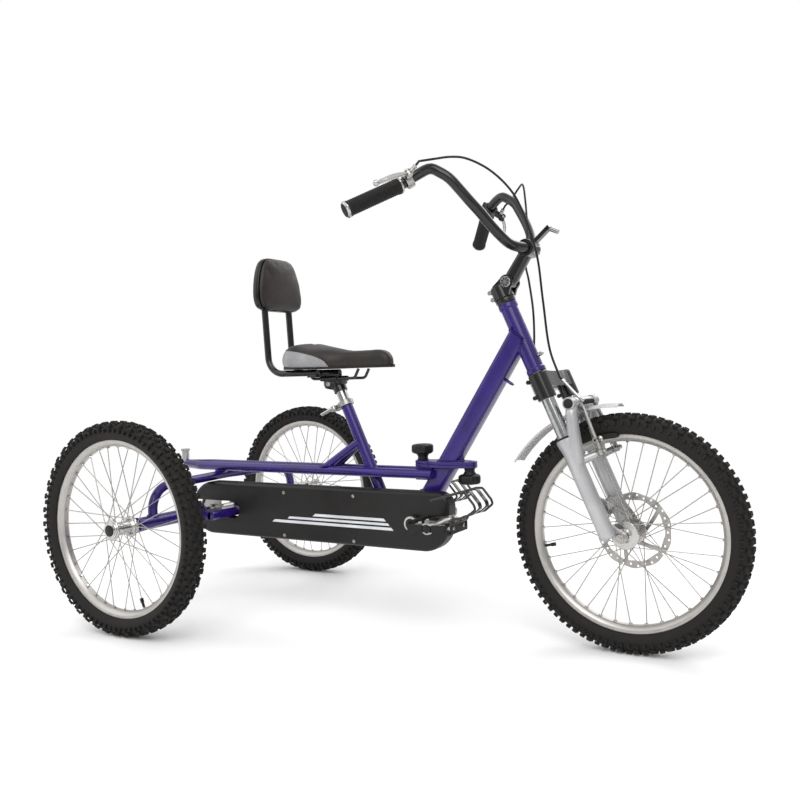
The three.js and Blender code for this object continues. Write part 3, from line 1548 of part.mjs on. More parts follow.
// Lever body: a ring on the bar, an arm out to the slotted pivot and a cable barrel
function leverBody(side) {
  const hand = handFrame(side);
  const ringEnd = (sign) => hand.clamp.clone().addScaledVector(hand.clampAlong, sign * leverClampHalf);
  const boreEnd = (sign) => hand.clamp.clone().addScaledVector(hand.clampAlong, sign * leverPivotOut);
  const across = (place, height) => place.clone().addScaledVector(hand.hinge, height);
  const half = leverArmSize / 2;
  const slotHalf = leverBladeThickness / 2 + runningFit;
  let whole = join(
    rod(ringEnd(-1), ringEnd(1), leverClampRadius),
    bar(hand.clamp, hand.pivot, leverArmSize, leverArmSize, hand.hinge),
    rod(across(hand.pivot, -half), across(hand.pivot, half), leverEyeRadius, smallSides),
    rod(hand.barrelFoot, hand.barrelEnd, barrelRadius, 6),
  );
  whole = carve(
    whole,
    rod(boreEnd(-1), boreEnd(1), roundBore(barRadius, fit)),
    rod(across(hand.pivot, -slotHalf), across(hand.pivot, slotHalf), leverSlotRadius, smallSides),
  );
  whole = whole.add(rod(across(hand.pivot, -half), across(hand.pivot, half), leverPinRadius, 6));
  if (side > 0) return whole;
  const button = lockButtonPlace();
  const floor = button.foot.clone().addScaledVector(hand.hinge, -lockButtonTravel - fit);
  return whole.subtract(rod(floor, button.top, roundBore(lockButtonRadius)));
}

// Lever blade: an eye on the pivot pin, a neck, a wide blade and a ball at its end
function leverBlade(side) {
  const hand = handFrame(side);
  const half = leverBladeThickness / 2;
  const across = (height) => hand.pivot.clone().addScaledVector(hand.hinge, height);
  const atTip = (height) => hand.tip.clone().addScaledVector(hand.hinge, height);
  const way = hand.tip.clone().sub(hand.pivot).normalize();
  const neckEnd = hand.pivot.clone().addScaledVector(way, leverNeck);
  const bladeStart = hand.pivot.clone().addScaledVector(way, leverNeck - bond);
  const solid = join(
    rod(across(-half), across(half), leverEyeRadius, smallSides),
    bar(hand.pivot, neckEnd, leverBladeThickness, leverBladeThickness, hand.hinge),
    bar(bladeStart, hand.tip, leverBladeWidth, leverBladeThickness, hand.hinge),
    rod(atTip(-leverBallRadius), atTip(leverBallRadius), leverBallRadius, 8),
  );
  const hole = rod(across(-half - overrun), across(half + overrun), roundBore(leverPinRadius), smallSides);
  return solid.subtract(hole);
}

// The parking lock button stands on the right lever body's arm
function lockButtonPlace() {
  const hand = handFrame(-1);
  const foot = hand.clamp.clone().lerp(hand.pivot, lockButtonFootShare);
  return { foot, top: foot.clone().addScaledVector(hand.hinge, lockButtonLength) };
}

function lockButton() {
  const place = lockButtonPlace();
  return rod(place.foot, place.top, lockButtonRadius);
}

// Flat bracket in front of the bar clamp with a peg
function accessoryBracket() {
  const way = vec(Math.cos(bracketAngle), 0, Math.sin(bracketAngle));
  const end = way.clone().multiplyScalar(barClampRadius + bracketArm);
  const pegWay = vec(Math.cos(bracketPegAngle), 0, Math.sin(bracketPegAngle));
  const pegStart = way.clone().multiplyScalar(barClampRadius + bracketArm - bracketPegRadius - bond);
  const pegEnd = pegStart.clone().addScaledVector(pegWay, bracketPegLength);
  const clampRoom = rod(
    vec(0, -barClampHalf - overrun, 0),
    vec(0, barClampHalf + overrun, 0),
    barClampRadius + fit / Math.cos(Math.PI / clampSides),
    clampSides,
  );
  const plate = bar(way.clone().multiplyScalar(barRadius), end, bracketArmWidth, bracketArmThickness);
  return join(plate.subtract(clampRoom), rod(pegStart, pegEnd, bracketPegRadius, 10));
}

// Cable routes from lever to brake, in the cockpit's frame
const rimCableRoute = [
  [-127, -178, 172],
  [-100, -160, 176],
  [-74, -145, 173],
  [-33, -115, 149],
  [3, -84, 104],
  [22, -64, 50],
  [39, -50, -22],
  [48, -44, -116],
  [61, -43, -220],
];
const discCableRoute = [
  [-124, 190, 150],
  [-100, 178, 170],
  [-75, 148, 172],
  [-58, 122, 130],
  [-46, 100, 79],
  [-40, 84, 30],
  [-37, 66, -22],
  [-22, 48, -63],
  [-7, 33, -129],
  [-6, 34, -184],
  [-18, 42, -244],
  [-8, 47, -290],
  [22, 48, -350],
  [58, 44, -430],
];

// Turns a point of the steering's frame into the cockpit's frame
function inCockpit(point) {
  const world = headBottom.clone().addScaledVector(steerForward, point.x).addScaledVector(steerAxis, point.z);
  return world.setY(point.y).sub(barClamp);
}

// Cable from a lever's barrel along its route, straight where it leaves and where it arrives
function cable(side, route, seat, arrival) {
  const hand = handFrame(side);
  const start = hand.barrelEnd.clone().addScaledVector(hand.barrelAxis, fit);
  const lead = start.clone().addScaledVector(hand.barrelAxis, cableStraight);
  const end = seat.clone().addScaledVector(arrival, -fit);
  const leadOut = end.clone().addScaledVector(arrival, -cableStraight);
  const places = route.map((place) => vec(...place));
  const curve = new THREE.CatmullRomCurve3([lead, ...places, leadOut], false, "centripetal");
  return tube([start, ...curve.getSpacedPoints(cableSteps), end], cableRadius, cableSides);
}

function rimCable() {
  const seat = inCockpit(pipeTop);
  return cable(-1, rimCableRoute, seat, inCockpit(pipeCorner).sub(seat).normalize());
}

function discCable() {
  const top = caliperCentre();
  const y = (rotorPlane + rotorThickness / 2 + caliperGap + caliperOuter) / 2;
  const seat = inCockpit(vec(top.x, y, top.z + caliperLength / 2));
  const below = inCockpit(vec(top.x, y, top.z));
  return cable(1, discCableRoute, seat, below.sub(seat).normalize());
}

// Seat parts that stand on the seat tube share a frame at the tube's top, with Z along the tube
const seatStack = new THREE.Group();
seatStack.position.copy(seatFoot).addScaledVector(seatAxis, seatTubeAbove);
seatStack.rotation.y = seatAngle - Math.PI / 2;
trike.add(seatStack);

// Clamp collar round the tube's top, split at the rear, with a lug that carries the lever's pin
function seatCollar() {
  const bore = roundBore(seatTubeRadius, fit);
  const earCentre = vec(bond - collarRadius - collarEar / 2, 0, -collarHeight / 2);
  const lugWidth = leverPostSide + seatLeverEye;
  const lugCentre = vec(-leverPostBack, -lugWidth / 2, seatLugThickness / 2 - collarHeight);
  const postFoot = vec(-leverPostBack, -leverPostSide, -collarHeight);
  const slitCentre = vec(-collarRadius - collarEar / 2, 0, -collarHeight / 2);
  const whole = join(
    rod(vec(0, 0, -collarHeight), vec(0, 0, 0), collarRadius, clampSides),
    block(collarEar + bond, collarEarWidth, collarHeight, earCentre),
    block(collarEar, lugWidth, seatLugThickness, lugCentre),
    rod(postFoot, postFoot.clone().setZ(0), leverPostRadius, smallSides),
  );
  return carve(
    whole,
    block(collarRadius + collarEar, collarSlit, collarHeight + 2 * overrun, slitCentre),
    rod(vec(0, 0, -collarHeight - overrun), vec(0, 0, overrun), bore),
  );
}

// Clamp lever on its pin, pointing backwards when shut
function seatLever() {
  const low = -collarHeight + seatLugThickness + runningFit;
  const eye = vec(-leverPostBack, -leverPostSide, low);
  const middle = (low - runningFit) / 2;
  const from = vec(-leverPostBack, -leverPostSide, middle);
  const to = vec(-leverPostBack - seatLeverLength, -leverPostSide, middle);
  const solid = join(
    rod(eye, eye.clone().setZ(-runningFit), seatLeverEye, 10),
    bar(from, to, seatLeverWidth, -low - 2 * runningFit),
    rod(to.clone().setZ(low + runningFit), to.clone().setZ(-2 * runningFit), seatLeverWidth / 2, 10),
  );
  const hole = rod(eye.clone().setZ(low - overrun), eye.clone().setZ(overrun), roundBore(leverPostRadius));
  return solid.subtract(hole);
}

function seatPost() {
  const bottom = seatFoot.clone().addScaledVector(seatAxis, seatTubeAbove - seatPostInside);
  const top = seatFoot.clone().addScaledVector(seatAxis, seatTubeAbove + seatPostOutside);
  return rod(bottom, top, seatPostRadius);
}

// Saddle clamp with the two wires that hold the saddle
function saddleRails() {
  const postRoom = rod(
    seatFoot.clone().addScaledVector(seatAxis, seatTubeAbove),
    seatFoot.clone().addScaledVector(seatAxis, seatTubeAbove + seatPostOutside + fit),
    roundBore(seatPostRadius, fit),
  );
  let whole = block(clampLength, clampWidth, clampHeight, vec(clampX, 0, clampZ));
  for (const side of [-1, 1]) {
    const y = side * seatWireSpread;
    const top = saddleBottom - fit - seatWireRadius / 2;
    const corners = [
      vec(seatWireRear, y, top),
      vec(seatWireRear + seatWireBend, y, seatWireZ),
      vec(seatWireFront - seatWireBend, y, seatWireZ),
      vec(seatWireFront, y, top),
    ];
    whole = whole.add(tube(bend(corners, seatWireBend, 2), seatWireRadius, 6));
  }
  return whole.subtract(postRoom);
}

// Saddle: shares of its length, half width and height at each station, from the rear to the nose
const saddleShares = [
  [0, 0.52, 0.36],
  [0.012, 0.62, 0.58],
  [0.05, 0.78, 0.84],
  [0.105, 0.92, 1],
  [0.17, 1, 0.98],
  [0.237, 1, 0.91],
  [0.307, 0.93, 0.84],
  [0.376, 0.73, 0.79],
  [0.446, 0.52, 0.745],
  [0.516, 0.38, 0.71],
  [0.571, 0.31, 0.69],
  [0.69, 0.26, 0.672],
  [0.794, 0.235, 0.68],
  [0.875, 0.215, 0.697],
  [0.93, 0.185, 0.6],
  [0.969, 0.15, 0.43],
  [0.993, 0.1, 0.22],
  [1, 0.06, 0.1],
];

// Half of the saddle's section as shares of half width and height, from the middle below round to the top
const saddleSectionShares = [
  [0, 0],
  [0.5, 0],
  [0.86, 0.03],
  [0.97, 0.2],
  [1, 0.42],
  [0.93, 0.68],
  [0.76, 0.88],
  [0.5, 0.98],
  [0.24, 1],
  [0, 0.95],
];

function mirroredRing(halfRing, place) {
  const left = halfRing.map(([width, height]) => place(width, height));
  const right = halfRing.slice(1, -1).map(([width, height]) => place(-width, height)).reverse();
  return [...left, ...right];
}

function saddle() {
  const rings = saddleShares.map(([lengthShare, widthShare, heightShare]) =>
    mirroredRing(saddleSectionShares, (width, height) =>
      vec(
        saddleRear + saddleLength * lengthShare,
        saddleHalfWidth * widthShare * width,
        saddleBottom + saddleHeight * heightShare * height,
      ),
    ),
  );
  return lofted(rings);
}

// The backrest's own frame: origin at the middle of the pad's lower front edge, leaning back a little
const backrest = new THREE.Group();
backrest.position.set(backPadFront, 0, backBottom);
backrest.rotation.y = -backLean;
trike.add(backrest);

// Half outline of the backrest as shares of half width and height
const backShares = [
  [0, 0],
  [0.4, 0],
  [0.75, 0.02],
  [0.93, 0.08],
  [1, 0.22],
  [0.98, 0.42],
  [0.91, 0.62],
  [0.8, 0.8],
  [0.66, 0.93],
  [0.45, 0.99],
  [0.2, 1],
  [0, 1],
];

// Rings of the outline at depths behind the pad's front, each drawn in by its share
function backrestForm(depths) {
  const middle = backHeight / 2;
  const rings = depths.map(([depth, share]) =>
    mirroredRing(backShares, (width, height) =>
      vec(-depth, backHalfWidth * width * share, middle + (backHeight * height - middle) * share),
    ),
  );
  return lofted(rings);
}

// Depth behind the front, as a share of the thickness, and the outline's size there as a share
const backPadShares = [
  [1, 0.95],
  [0.8, 0.99],
  [0.5, 1],
  [0.2, 0.96],
  [0.05, 0.88],
  [0, 0.72],
  [0.04, 0.4],
];
const backShellShares = [
  [1, 0.8],
  [0.8, 0.95],
  [0.5, 1],
  [0, 0.98],
];

function backrestPad() {
  return backrestForm(backPadShares.map(([depthShare, share]) => [backPadThickness * depthShare, share]));
}

// Middle line of the backrest's two tubes, behind the pad's front
const backTubeDepth = backPadThickness + fit + backShellThickness / 2;

function backrestShell() {
  const front = backPadThickness + fit;
  let whole = backrestForm(
    backShellShares.map(([depthShare, share]) => [front + backShellThickness * depthShare, share]),
  );
  for (const side of [-1, 1]) {
    const pocket = rod(
      vec(-backTubeDepth, side * backTubeSpread, -backTubeRadius),
      vec(-backTubeDepth, side * backTubeSpread, backTubeEnd + fit),
      roundBore(backTubeRadius, fit),
    );
    whole = whole.subtract(pocket);
  }
  return whole;
}

// Both tubes of the backrest, bent forwards under the saddle, and the plate that rests on the saddle's wires
function backrestTubes() {
  const lean = (height) =>
    vec(
      backPadFront - backTubeDepth * Math.cos(backLean) - height * Math.sin(backLean),
      0,
      backBottom + height * Math.cos(backLean) - backTubeDepth * Math.sin(backLean),
    );
  const top = lean(backTubeEnd);
  const foot = lean((backTubeZ - backBottom) / Math.cos(backLean));
  const plateBottom = seatWireZ + seatWireRadius + fit;
  let whole = block(
    backPlateLength,
    2 * (backTubeSpread + backTubeRadius),
    backPlateThickness,
    vec(backTubeFrontX - backPlateLength / 2, 0, plateBottom + backPlateThickness / 2),
  );
  for (const side of [-1, 1]) {
    const y = side * backTubeSpread;
    const corners = [top.clone().setY(y), vec(foot.x, y, backTubeZ), vec(backTubeFrontX, y, backTubeZ)];
    whole = whole.add(tube(bend(corners, backTubeBend, 6), backTubeRadius, 10));
  }
  return whole;
}

addMesh("front_beam", frontBeam(), framePaint());
addMesh("lower_beam", lowerBeam(), framePaint());
addMesh("rail_right", rail(-1), framePaint());
addMesh("rail_left", rail(1), framePaint());
addMesh("seat_tube", seatTube(), framePaint());
addMesh("rear_arch", rearArch(), framePaint());
addMesh("axle_housing", axleHousing(), framePaint());
addMesh("rear_post", rearPost(), chromeSteel());
addMesh("chain_guard", chainGuard(), blackPlastic());
addMesh("chain_guard_back", guardBack(), blackPlastic());
addMesh("chain", chain(), chainSteel());
const lowPlateFace = splitHeight - fit / 2 - plateThickness;
const highPlateFace = splitHeight + fit / 2 + plateThickness;
addMesh("knob_rear", knob(rearKnobX, highPlateFace, 1), blackPlastic());
addMesh("knob_front", knob(frontKnobX, lowPlateFace, -1), blackPlastic());
addMesh("rear_axle", rearAxle(), alloy());
addWheel("right", vec(0, -track / 2, axleHeight), rearHub(), true);
addWheel("left", vec(0, track / 2, axleHeight), rearHub(), false);
addMesh("crank_spindle", crankSpindle(), chainSteel());
addMesh("crank_arm_right", crankArm(-1), alloy());
addMesh("crank_arm_left", crankArm(1), alloy());
addMesh("pedal_right", pedal(-1), alloy());
addMesh("pedal_left", pedal(1), alloy());
addMesh("toe_cage_right", toeCage(-1), blackPaint());
addMesh("toe_cage_left", toeCage(1), blackPaint());
addMesh("headset_lower", headsetCup(-headsetLowHeight, -fit), blackPaint(), steering);
const upperCup = headsetCup(headTubeLength + fit, headTubeLength + headsetTopHeight);
addMesh("headset_upper", upperCup, blackPaint(), steering);
addMesh("fork_crown", forkCrown(), blackPaint(), steering);
addMesh("fork_lowers", forkLowers(), silverPaint(), steering);
addMesh("mudguard", mudguard(), silverPaint(), steering);
const frontWheel = addWheel("front", frontAxle, frontHub(), false);
const rotorMesh = addMesh("disc_rotor", rotor(), chromeSteel(), frontWheel);
rotorMesh.position.y = rotorPlane;
addMesh("disc_caliper", caliper(), alloy(), steering);
addMesh("brake_arm_right", brakeArmWithPipe(), alloy(), steering);
addMesh("brake_arm_left", brakeArm(1), alloy(), steering);
addMesh("stem_base", stemBase(), blackPaint(), steering);
addMesh("stem_arm", stemArm(), blackPaint(), cockpit);
addMesh("handlebar", handlebar(), blackPaint(), cockpit);
addMesh("accessory_bracket", accessoryBracket(), blackPaint(), cockpit);
for (const [name, side] of [["right", -1], ["left", 1]]) {
  addMesh(`grip_${name}`, grip(side), blackRubber(), cockpit);
  addMesh(`lever_body_${name}`, leverBody(side), blackPlastic(), cockpit);
  addMesh(`lever_blade_${name}`, leverBlade(side), alloy(), cockpit);
}
addMesh("lock_button", lockButton(), alloy(), cockpit);
addMesh("rim_brake_cable", rimCable(), blackRubber(), cockpit);
addMesh("disc_brake_cable", discCable(), blackRubber(), cockpit);
addMesh("seat_collar", seatCollar(), blackPaint(), seatStack);
addMesh("seat_lever", seatLever(), chromeSteel(), seatStack);
addMesh("seat_post", seatPost(), chromeSteel());
addMesh("saddle_rails", saddleRails(), blackPaint());
addMesh("saddle", saddle(), vinyl());
addMesh("backrest_tubes", backrestTubes(), blackPaint());
addMesh("backrest_pad", backrestPad(), vinyl(), backrest);
addMesh("backrest_shell", backrestShell(), blackPlastic(), backrest);

export default trike;
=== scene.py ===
# %% [markdown]
# An adaptive tricycle, dressed in Blender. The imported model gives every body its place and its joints, and
# this script builds what the eye sees round it: smooth tubes with weld beads, knobbly tyres on laced wheels,
# padded vinyl, lacquered paint and cast, brushed and chromed metal.
#
# All drawing is done in millimetres in one drawing frame: x runs forwards from the rear axle, y to the
# rider's left and z up from the ground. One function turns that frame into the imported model's metres.

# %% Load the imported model
import math

import bmesh
import bpy
import numpy as np
from mathutils import Matrix, Vector
from mathutils.geometry import tessellate_polygon


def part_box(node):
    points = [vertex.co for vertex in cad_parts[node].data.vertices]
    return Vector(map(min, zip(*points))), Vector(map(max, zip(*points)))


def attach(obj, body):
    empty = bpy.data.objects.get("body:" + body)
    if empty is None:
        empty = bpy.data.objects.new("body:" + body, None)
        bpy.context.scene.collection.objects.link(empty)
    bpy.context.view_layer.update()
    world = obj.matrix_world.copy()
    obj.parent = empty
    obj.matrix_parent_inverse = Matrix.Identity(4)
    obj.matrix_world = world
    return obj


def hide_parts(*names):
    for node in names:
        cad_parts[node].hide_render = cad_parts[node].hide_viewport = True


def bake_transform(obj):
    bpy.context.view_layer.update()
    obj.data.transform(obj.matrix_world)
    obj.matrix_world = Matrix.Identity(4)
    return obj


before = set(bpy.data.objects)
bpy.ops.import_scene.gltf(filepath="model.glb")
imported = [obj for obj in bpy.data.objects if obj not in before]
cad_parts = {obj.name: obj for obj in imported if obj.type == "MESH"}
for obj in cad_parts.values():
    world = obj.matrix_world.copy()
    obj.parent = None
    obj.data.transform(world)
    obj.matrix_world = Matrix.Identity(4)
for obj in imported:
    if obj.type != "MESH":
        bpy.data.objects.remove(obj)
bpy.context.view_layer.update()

# %% [markdown]
# The camera comes first. It stands where the photograph's camera stood, found by fitting the three wheels'
# ellipses, and it looks along the fitted directions with the same lens and the same off-centre crop.

# %% Camera at the photograph's view
millimetre = 0.001
middle_x = 545
camera_place = (1606.5, -1706.6, 588.9)
camera_right = (0.88066, 0.47307, -0.02531)
camera_down = (-0.00389, -0.0462, -0.99892)
camera_forward = (-0.47373, 0.87981, -0.03885)
camera_lens = 38.48
camera_shift = (-0.06723, 0.0064)


def to_row(point):
    """A point of the drawing frame, in millimetres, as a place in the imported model, in metres."""
    return Vector((point[0] - middle_x, point[1], point[2])) * millimetre


def in_scene(name, data):
    """A new object of the scene."""
    made = bpy.data.objects.new(name, data)
    bpy.context.scene.collection.objects.link(made)
    return made


camera_data = bpy.data.cameras.new("photo_camera")
camera = in_scene("photo_camera", camera_data)
turn = Matrix((camera_right, [-v for v in camera_down], [-v for v in camera_forward])).transposed()
camera.matrix_world = Matrix.Translation(to_row(camera_place)) @ turn.to_4x4()
camera_data.lens = camera_lens
camera_data.shift_x, camera_data.shift_y = camera_shift
bpy.context.scene.camera = camera
print("camera at", [round(v, 3) for v in camera.location])

# %% [markdown]
# Every finish is written as the sRGB hex colour that a designer would name, and one function turns it into
# the linear values that the shader works in. One more function adds a node with its settings, values and
# links, so each material below reads as a short list of what the real finish has.

# %% Colour and node helpers
def linear(hex_colour):
    """An sRGB hex colour as linear red, green, blue and alpha."""
    channels = [int(hex_colour[i : i + 2], 16) / 255 for i in (1, 3, 5)]
    bent = [c / 12.92 if c <= 0.04045 else ((c + 0.055) / 1.055) ** 2.4 for c in channels]
    return (*bent, 1)


def add(tree, kind, settings=None, **inputs):
    """Adds a node. Settings are its own properties; inputs are values or sockets, by name or by i0, i1."""
    made = tree.nodes.new(kind)
    for key, value in (settings or {}).items():
        setattr(made, key, value)
    for key, value in inputs.items():
        number = key[1:] if key[0] == "i" and key[1:].isdigit() else None
        socket = made.inputs[int(number)] if number else made.inputs[key.replace("_", " ")]
        if isinstance(value, bpy.types.NodeSocket):
            tree.links.new(value, socket)
        else:
            socket.default_value = value
    return made


def new_finish(name, **shader_values):
    """A material with only a shader and an output, and the shader's plain values set."""
    material = bpy.data.materials.new(name)
    material.use_nodes = True
    tree = material.node_tree
    tree.nodes.clear()
    shader = add(tree, "ShaderNodeBsdfPrincipled", **shader_values)
    add(tree, "ShaderNodeOutputMaterial", Surface=shader.outputs["BSDF"])
    return material, tree, shader


def colour_blend(tree, factor, low, high, start=0.0, stop=1.0):
    """A ramp from one hex colour to another as the factor goes from start to stop."""
    ramp = add(tree, "ShaderNodeValToRGB", Fac=factor)
    first, last = ramp.color_ramp.elements
    first.position, last.position = start, stop
    first.color, last.color = linear(low), linear(high)
    return ramp.outputs["Color"]


def roughness_blend(tree, factor, low, high):
    """The factor, from 0 to 1, as a roughness between two values."""
    settings = {"clamp": True}
    return add(tree, "ShaderNodeMapRange", settings, Value=factor, To_Min=low, To_Max=high).outputs["Result"]


def bumped(tree, shader, height, depth_mm, strength=1.0):
    """Stands a height pattern on the surface, its full height given in millimetres."""
    bump = add(tree, "ShaderNodeBump", Height=height, Strength=strength, Distance=depth_mm * millimetre)
    tree.links.new(bump.outputs["Normal"], shader.inputs["Normal"])


def per_mm(size):
    """A texture scale whose features are that many millimetres across."""
    return 1 / (size * millimetre)


def noise(tree, place, size, detail):
    """Soft clouds that many millimetres across, as a factor."""
    return add(tree, "ShaderNodeTexNoise", Vector=place, Scale=per_mm(size), Detail=detail).outputs["Fac"]


def coloured(tree, shader, factor, dark, light, smooth, rough, wear=None):
    """A base colour that wanders with one factor, and a roughness that wanders with it or with another."""
    tree.links.new(colour_blend(tree, factor, dark, light, 0.3, 0.7), shader.inputs["Base Color"])
    tree.links.new(roughness_blend(tree, wear or factor, smooth, rough), shader.inputs["Roughness"])


# %% [markdown]
# The frame is steel tube in deep violet gloss. The real thing is powder or wet paint under a clear lacquer,
# so the shader has a coat, a faint orange peel under it, and a colour that wanders a little with thickness.

# %% Violet lacquered paint
def lacquered_paint(name, dark, light, roughness, coat, peel_mm=0.02, flakes=0.0):
    """Gloss paint under clear lacquer: a smooth coat over uneven colour, with a faint orange peel."""
    values = {"Coat_Weight": coat, "Coat_Roughness": 0.05, "Specular_IOR_Level": 0.3, "Metallic": flakes}
    material, tree, shader = new_finish(name, **values)
    place = add(tree, "ShaderNodeTexCoord").outputs["Object"]
    cloud, grime = noise(tree, place, 60, 3.0), noise(tree, place, 14, 4.0)
    coloured(tree, shader, cloud, dark, light, roughness * 0.8, roughness * 1.3, grime)
    bumped(tree, shader, noise(tree, place, 2.5, 1.0), peel_mm)
    return material


violet_paint = lacquered_paint("violet_lacquered_steel", "#210f58", "#2c1570", 0.27, 0.35)
black_paint = lacquered_paint("black_lacquered_steel", "#0a0908", "#12100f", 0.22, 0.45)
silver_paint = lacquered_paint("silver_lacquered_magnesium", "#a9a9ab", "#b9b9ba", 0.4, 0.4, flakes=0.7)

# %% [markdown]
# Black parts differ by feel: the guard is moulded plastic with a fine leather grain from its mould, knobs are
# a smoother nylon, and cable covers are slick extruded plastic. The grain is drawn at its real size.

# %% Moulded plastics and rubber
def moulded(name, dark, light, roughness, grain_mm, depth_mm):
    """Moulded plastic or rubber with a fine pebbled grain and a little uneven shine."""
    material, tree, shader = new_finish(name, Specular_IOR_Level=0.35)
    place = add(tree, "ShaderNodeTexCoord").outputs["Object"]
    coloured(tree, shader, noise(tree, place, 35, 5.0), dark, light, roughness - 0.08, roughness + 0.08)
    grain = add(tree, "ShaderNodeTexVoronoi", {"feature": "SMOOTH_F1"}, Vector=place, Scale=per_mm(grain_mm))
    bumped(tree, shader, grain.outputs["Distance"], depth_mm)
    return material


guard_plastic = moulded("grained_black_abs", "#0e0c0b", "#161312", 0.4, 1.1, 0.05)
knob_plastic = moulded("black_nylon", "#0c0b0a", "#141211", 0.5, 0.8, 0.03)
cable_plastic = moulded("extruded_black_pvc", "#090808", "#110f0f", 0.34, 0.6, 0.01)
tyre_rubber = moulded("tyre_rubber", "#100e0d", "#1a1715", 0.74, 1.6, 0.12)
grip_rubber = moulded("grip_rubber", "#0f0e0d", "#181514", 0.68, 0.7, 0.05)
pad_rubber = moulded("brake_pad_rubber", "#1a1918", "#252322", 0.8, 0.9, 0.05)

# %% [markdown]
# The saddle and the back pad are covered in vinyl: a soft film pressed with a hide grain. Cells about a
# millimetre across make the grain, and a wide noise makes the film catch the light unevenly.

# %% Black vinyl
hide_cloud, hide_grain, hide_crease, hide_depth = 45, 1.3, 9, 0.16


def hide(tree, shader, place):
    """Pebbles of a hide grain on wide soft creases."""
    cells = add(tree, "ShaderNodeTexVoronoi", {"feature": "F1"}, Vector=place, Scale=per_mm(hide_grain))
    creases = noise(tree, place, hide_crease, 2.0)
    height = add(tree, "ShaderNodeMath", {"operation": "ADD"}, i0=cells.outputs["Distance"], i1=creases)
    bumped(tree, shader, height.outputs["Value"], hide_depth, 0.8)


def vinyl_finish(name):
    """The start of a vinyl: a soft sheen, the place on the surface and the clouds that it wanders with."""
    material, tree, shader = new_finish(name, Specular_IOR_Level=0.4, Sheen_Weight=0.08, Sheen_Roughness=0.4)
    place = add(tree, "ShaderNodeTexCoord").outputs["Object"]
    hide(tree, shader, place)
    return material, tree, shader, place, noise(tree, place, hide_cloud, 4.0)


black_vinyl, tree, shader, place, cloud = vinyl_finish("black_vinyl")
coloured(tree, shader, cloud, "#1a1512", "#261f1b", 0.36, 0.5)

# %% [markdown]
# Metals keep the shader's own IOR and are told apart by roughness and by the marks of how they were made:
# brushed aluminium has fine lines, chrome is nearly a mirror, and drilled steel rotors are ground in circles.

# %% Bare metals
def bare_metal(name, dark, light, roughness, mark_mm=(3, 3, 3), depth_mm=0.004):
    """Bare metal with tooling marks that are longer along the axes where mark_mm is larger."""
    material, tree, shader = new_finish(name, Metallic=1.0)
    place = add(tree, "ShaderNodeTexCoord").outputs["Object"]
    stretch = add(tree, "ShaderNodeMapping", Vector=place, Scale=[per_mm(size) for size in mark_mm])
    marks = add(
        tree, "ShaderNodeTexNoise", Vector=stretch.outputs["Vector"], Scale=1.0, Detail=4.0,
    ).outputs["Fac"]
    coloured(tree, shader, marks, dark, light, roughness * 0.75, roughness * 1.35)
    bumped(tree, shader, marks, depth_mm)
    return material


rim_alloy = bare_metal("machined_rim_aluminium", "#a9a6a3", "#bdbab6", 0.38, (20, 0.8, 20))
cast_alloy = bare_metal("cast_aluminium", "#9c9a97", "#b3b1ae", 0.34)
polished_alloy = bare_metal("polished_aluminium", "#aeacaa", "#c6c4c2", 0.18)
chrome = bare_metal("chromed_steel", "#9fa0a1", "#b3b4b4", 0.09, (9, 9, 9), 0.001)
spoke_steel = bare_metal("drawn_stainless_wire", "#979592", "#aeaba7", 0.26)
rotor_steel = bare_metal("ground_stainless_rotor", "#9a9794", "#b9b6b2", 0.3, (1.2, 8, 1.2))
chain_steel = bare_metal("oiled_chain_steel", "#4a4743", "#6b6760", 0.42)
bolt_steel = bare_metal("zinc_plated_bolts", "#9d9a96", "#b5b2ae", 0.28)
print("finishes", len(bpy.data.materials))

# %% [markdown]
# The floor and the room are plain and pale. The camera sees both as white, while metal and lacquer mirror a
# room that is bright above and darker low down, which is what gives them their edges.

# %% Floor, room and lamps
floor_size, floor_grain, floor_grain_deep = 40, 40, 0.05
floor_colour, room_colour = "#fbfbfb", "#ffffff"
floor_clear_from, floor_clear_to = 0.9, 1.9
room_dark_until, room_bright_from, room_low, room_high = -0.1, 0.75, 0.3, 0.98
lamp_target = Vector((0, 0, 0.4))
lamps = {
    "key_lamp": (90, 3.2, (1.6, -3.0, 3.4)),
    "fill_lamp": (45, 4.0, (-3.2, -2.2, 2.2)),
    "back_lamp": (60, 3.0, (0.6, 3.4, 3.2)),
}


def make_floor():
    """One large plane under the wheels that fades to white where the camera sees far along it."""
    mesh = bpy.data.meshes.new("floor")
    half = floor_size / 2
    corners = [(-half, -half, 0), (half, -half, 0), (half, half, 0), (-half, half, 0)]
    mesh.from_pydata(corners, [], [(0, 1, 2, 3)])
    material, tree, shader = new_finish("matt_pale_floor", Roughness=0.9, Base_Color=linear(floor_colour))
    place = add(tree, "ShaderNodeTexCoord").outputs["Object"]
    bumped(tree, shader, noise(tree, place, floor_grain, 2.0), floor_grain_deep)
    away = add(tree, "ShaderNodeVectorMath", {"operation": "LENGTH"}, i0=place).outputs["Value"]
    far = add(tree, "ShaderNodeMapRange", Value=away, From_Min=floor_clear_from, From_Max=floor_clear_to)
    seen = add(tree, "ShaderNodeLightPath").outputs["Is Camera Ray"]
    share = add(tree, "ShaderNodeMath", {"operation": "MULTIPLY"}, i0=far.outputs["Result"], i1=seen)
    white = add(tree, "ShaderNodeEmission", Color=linear(room_colour), Strength=1.0).outputs["Emission"]
    mixed = add(tree, "ShaderNodeMixShader", Fac=share.outputs["Value"], i1=shader.outputs["BSDF"], i2=white)
    tree.links.new(mixed.outputs["Shader"], tree.nodes["Material Output"].inputs["Surface"])
    mesh.materials.append(material)
    in_scene("floor", mesh)


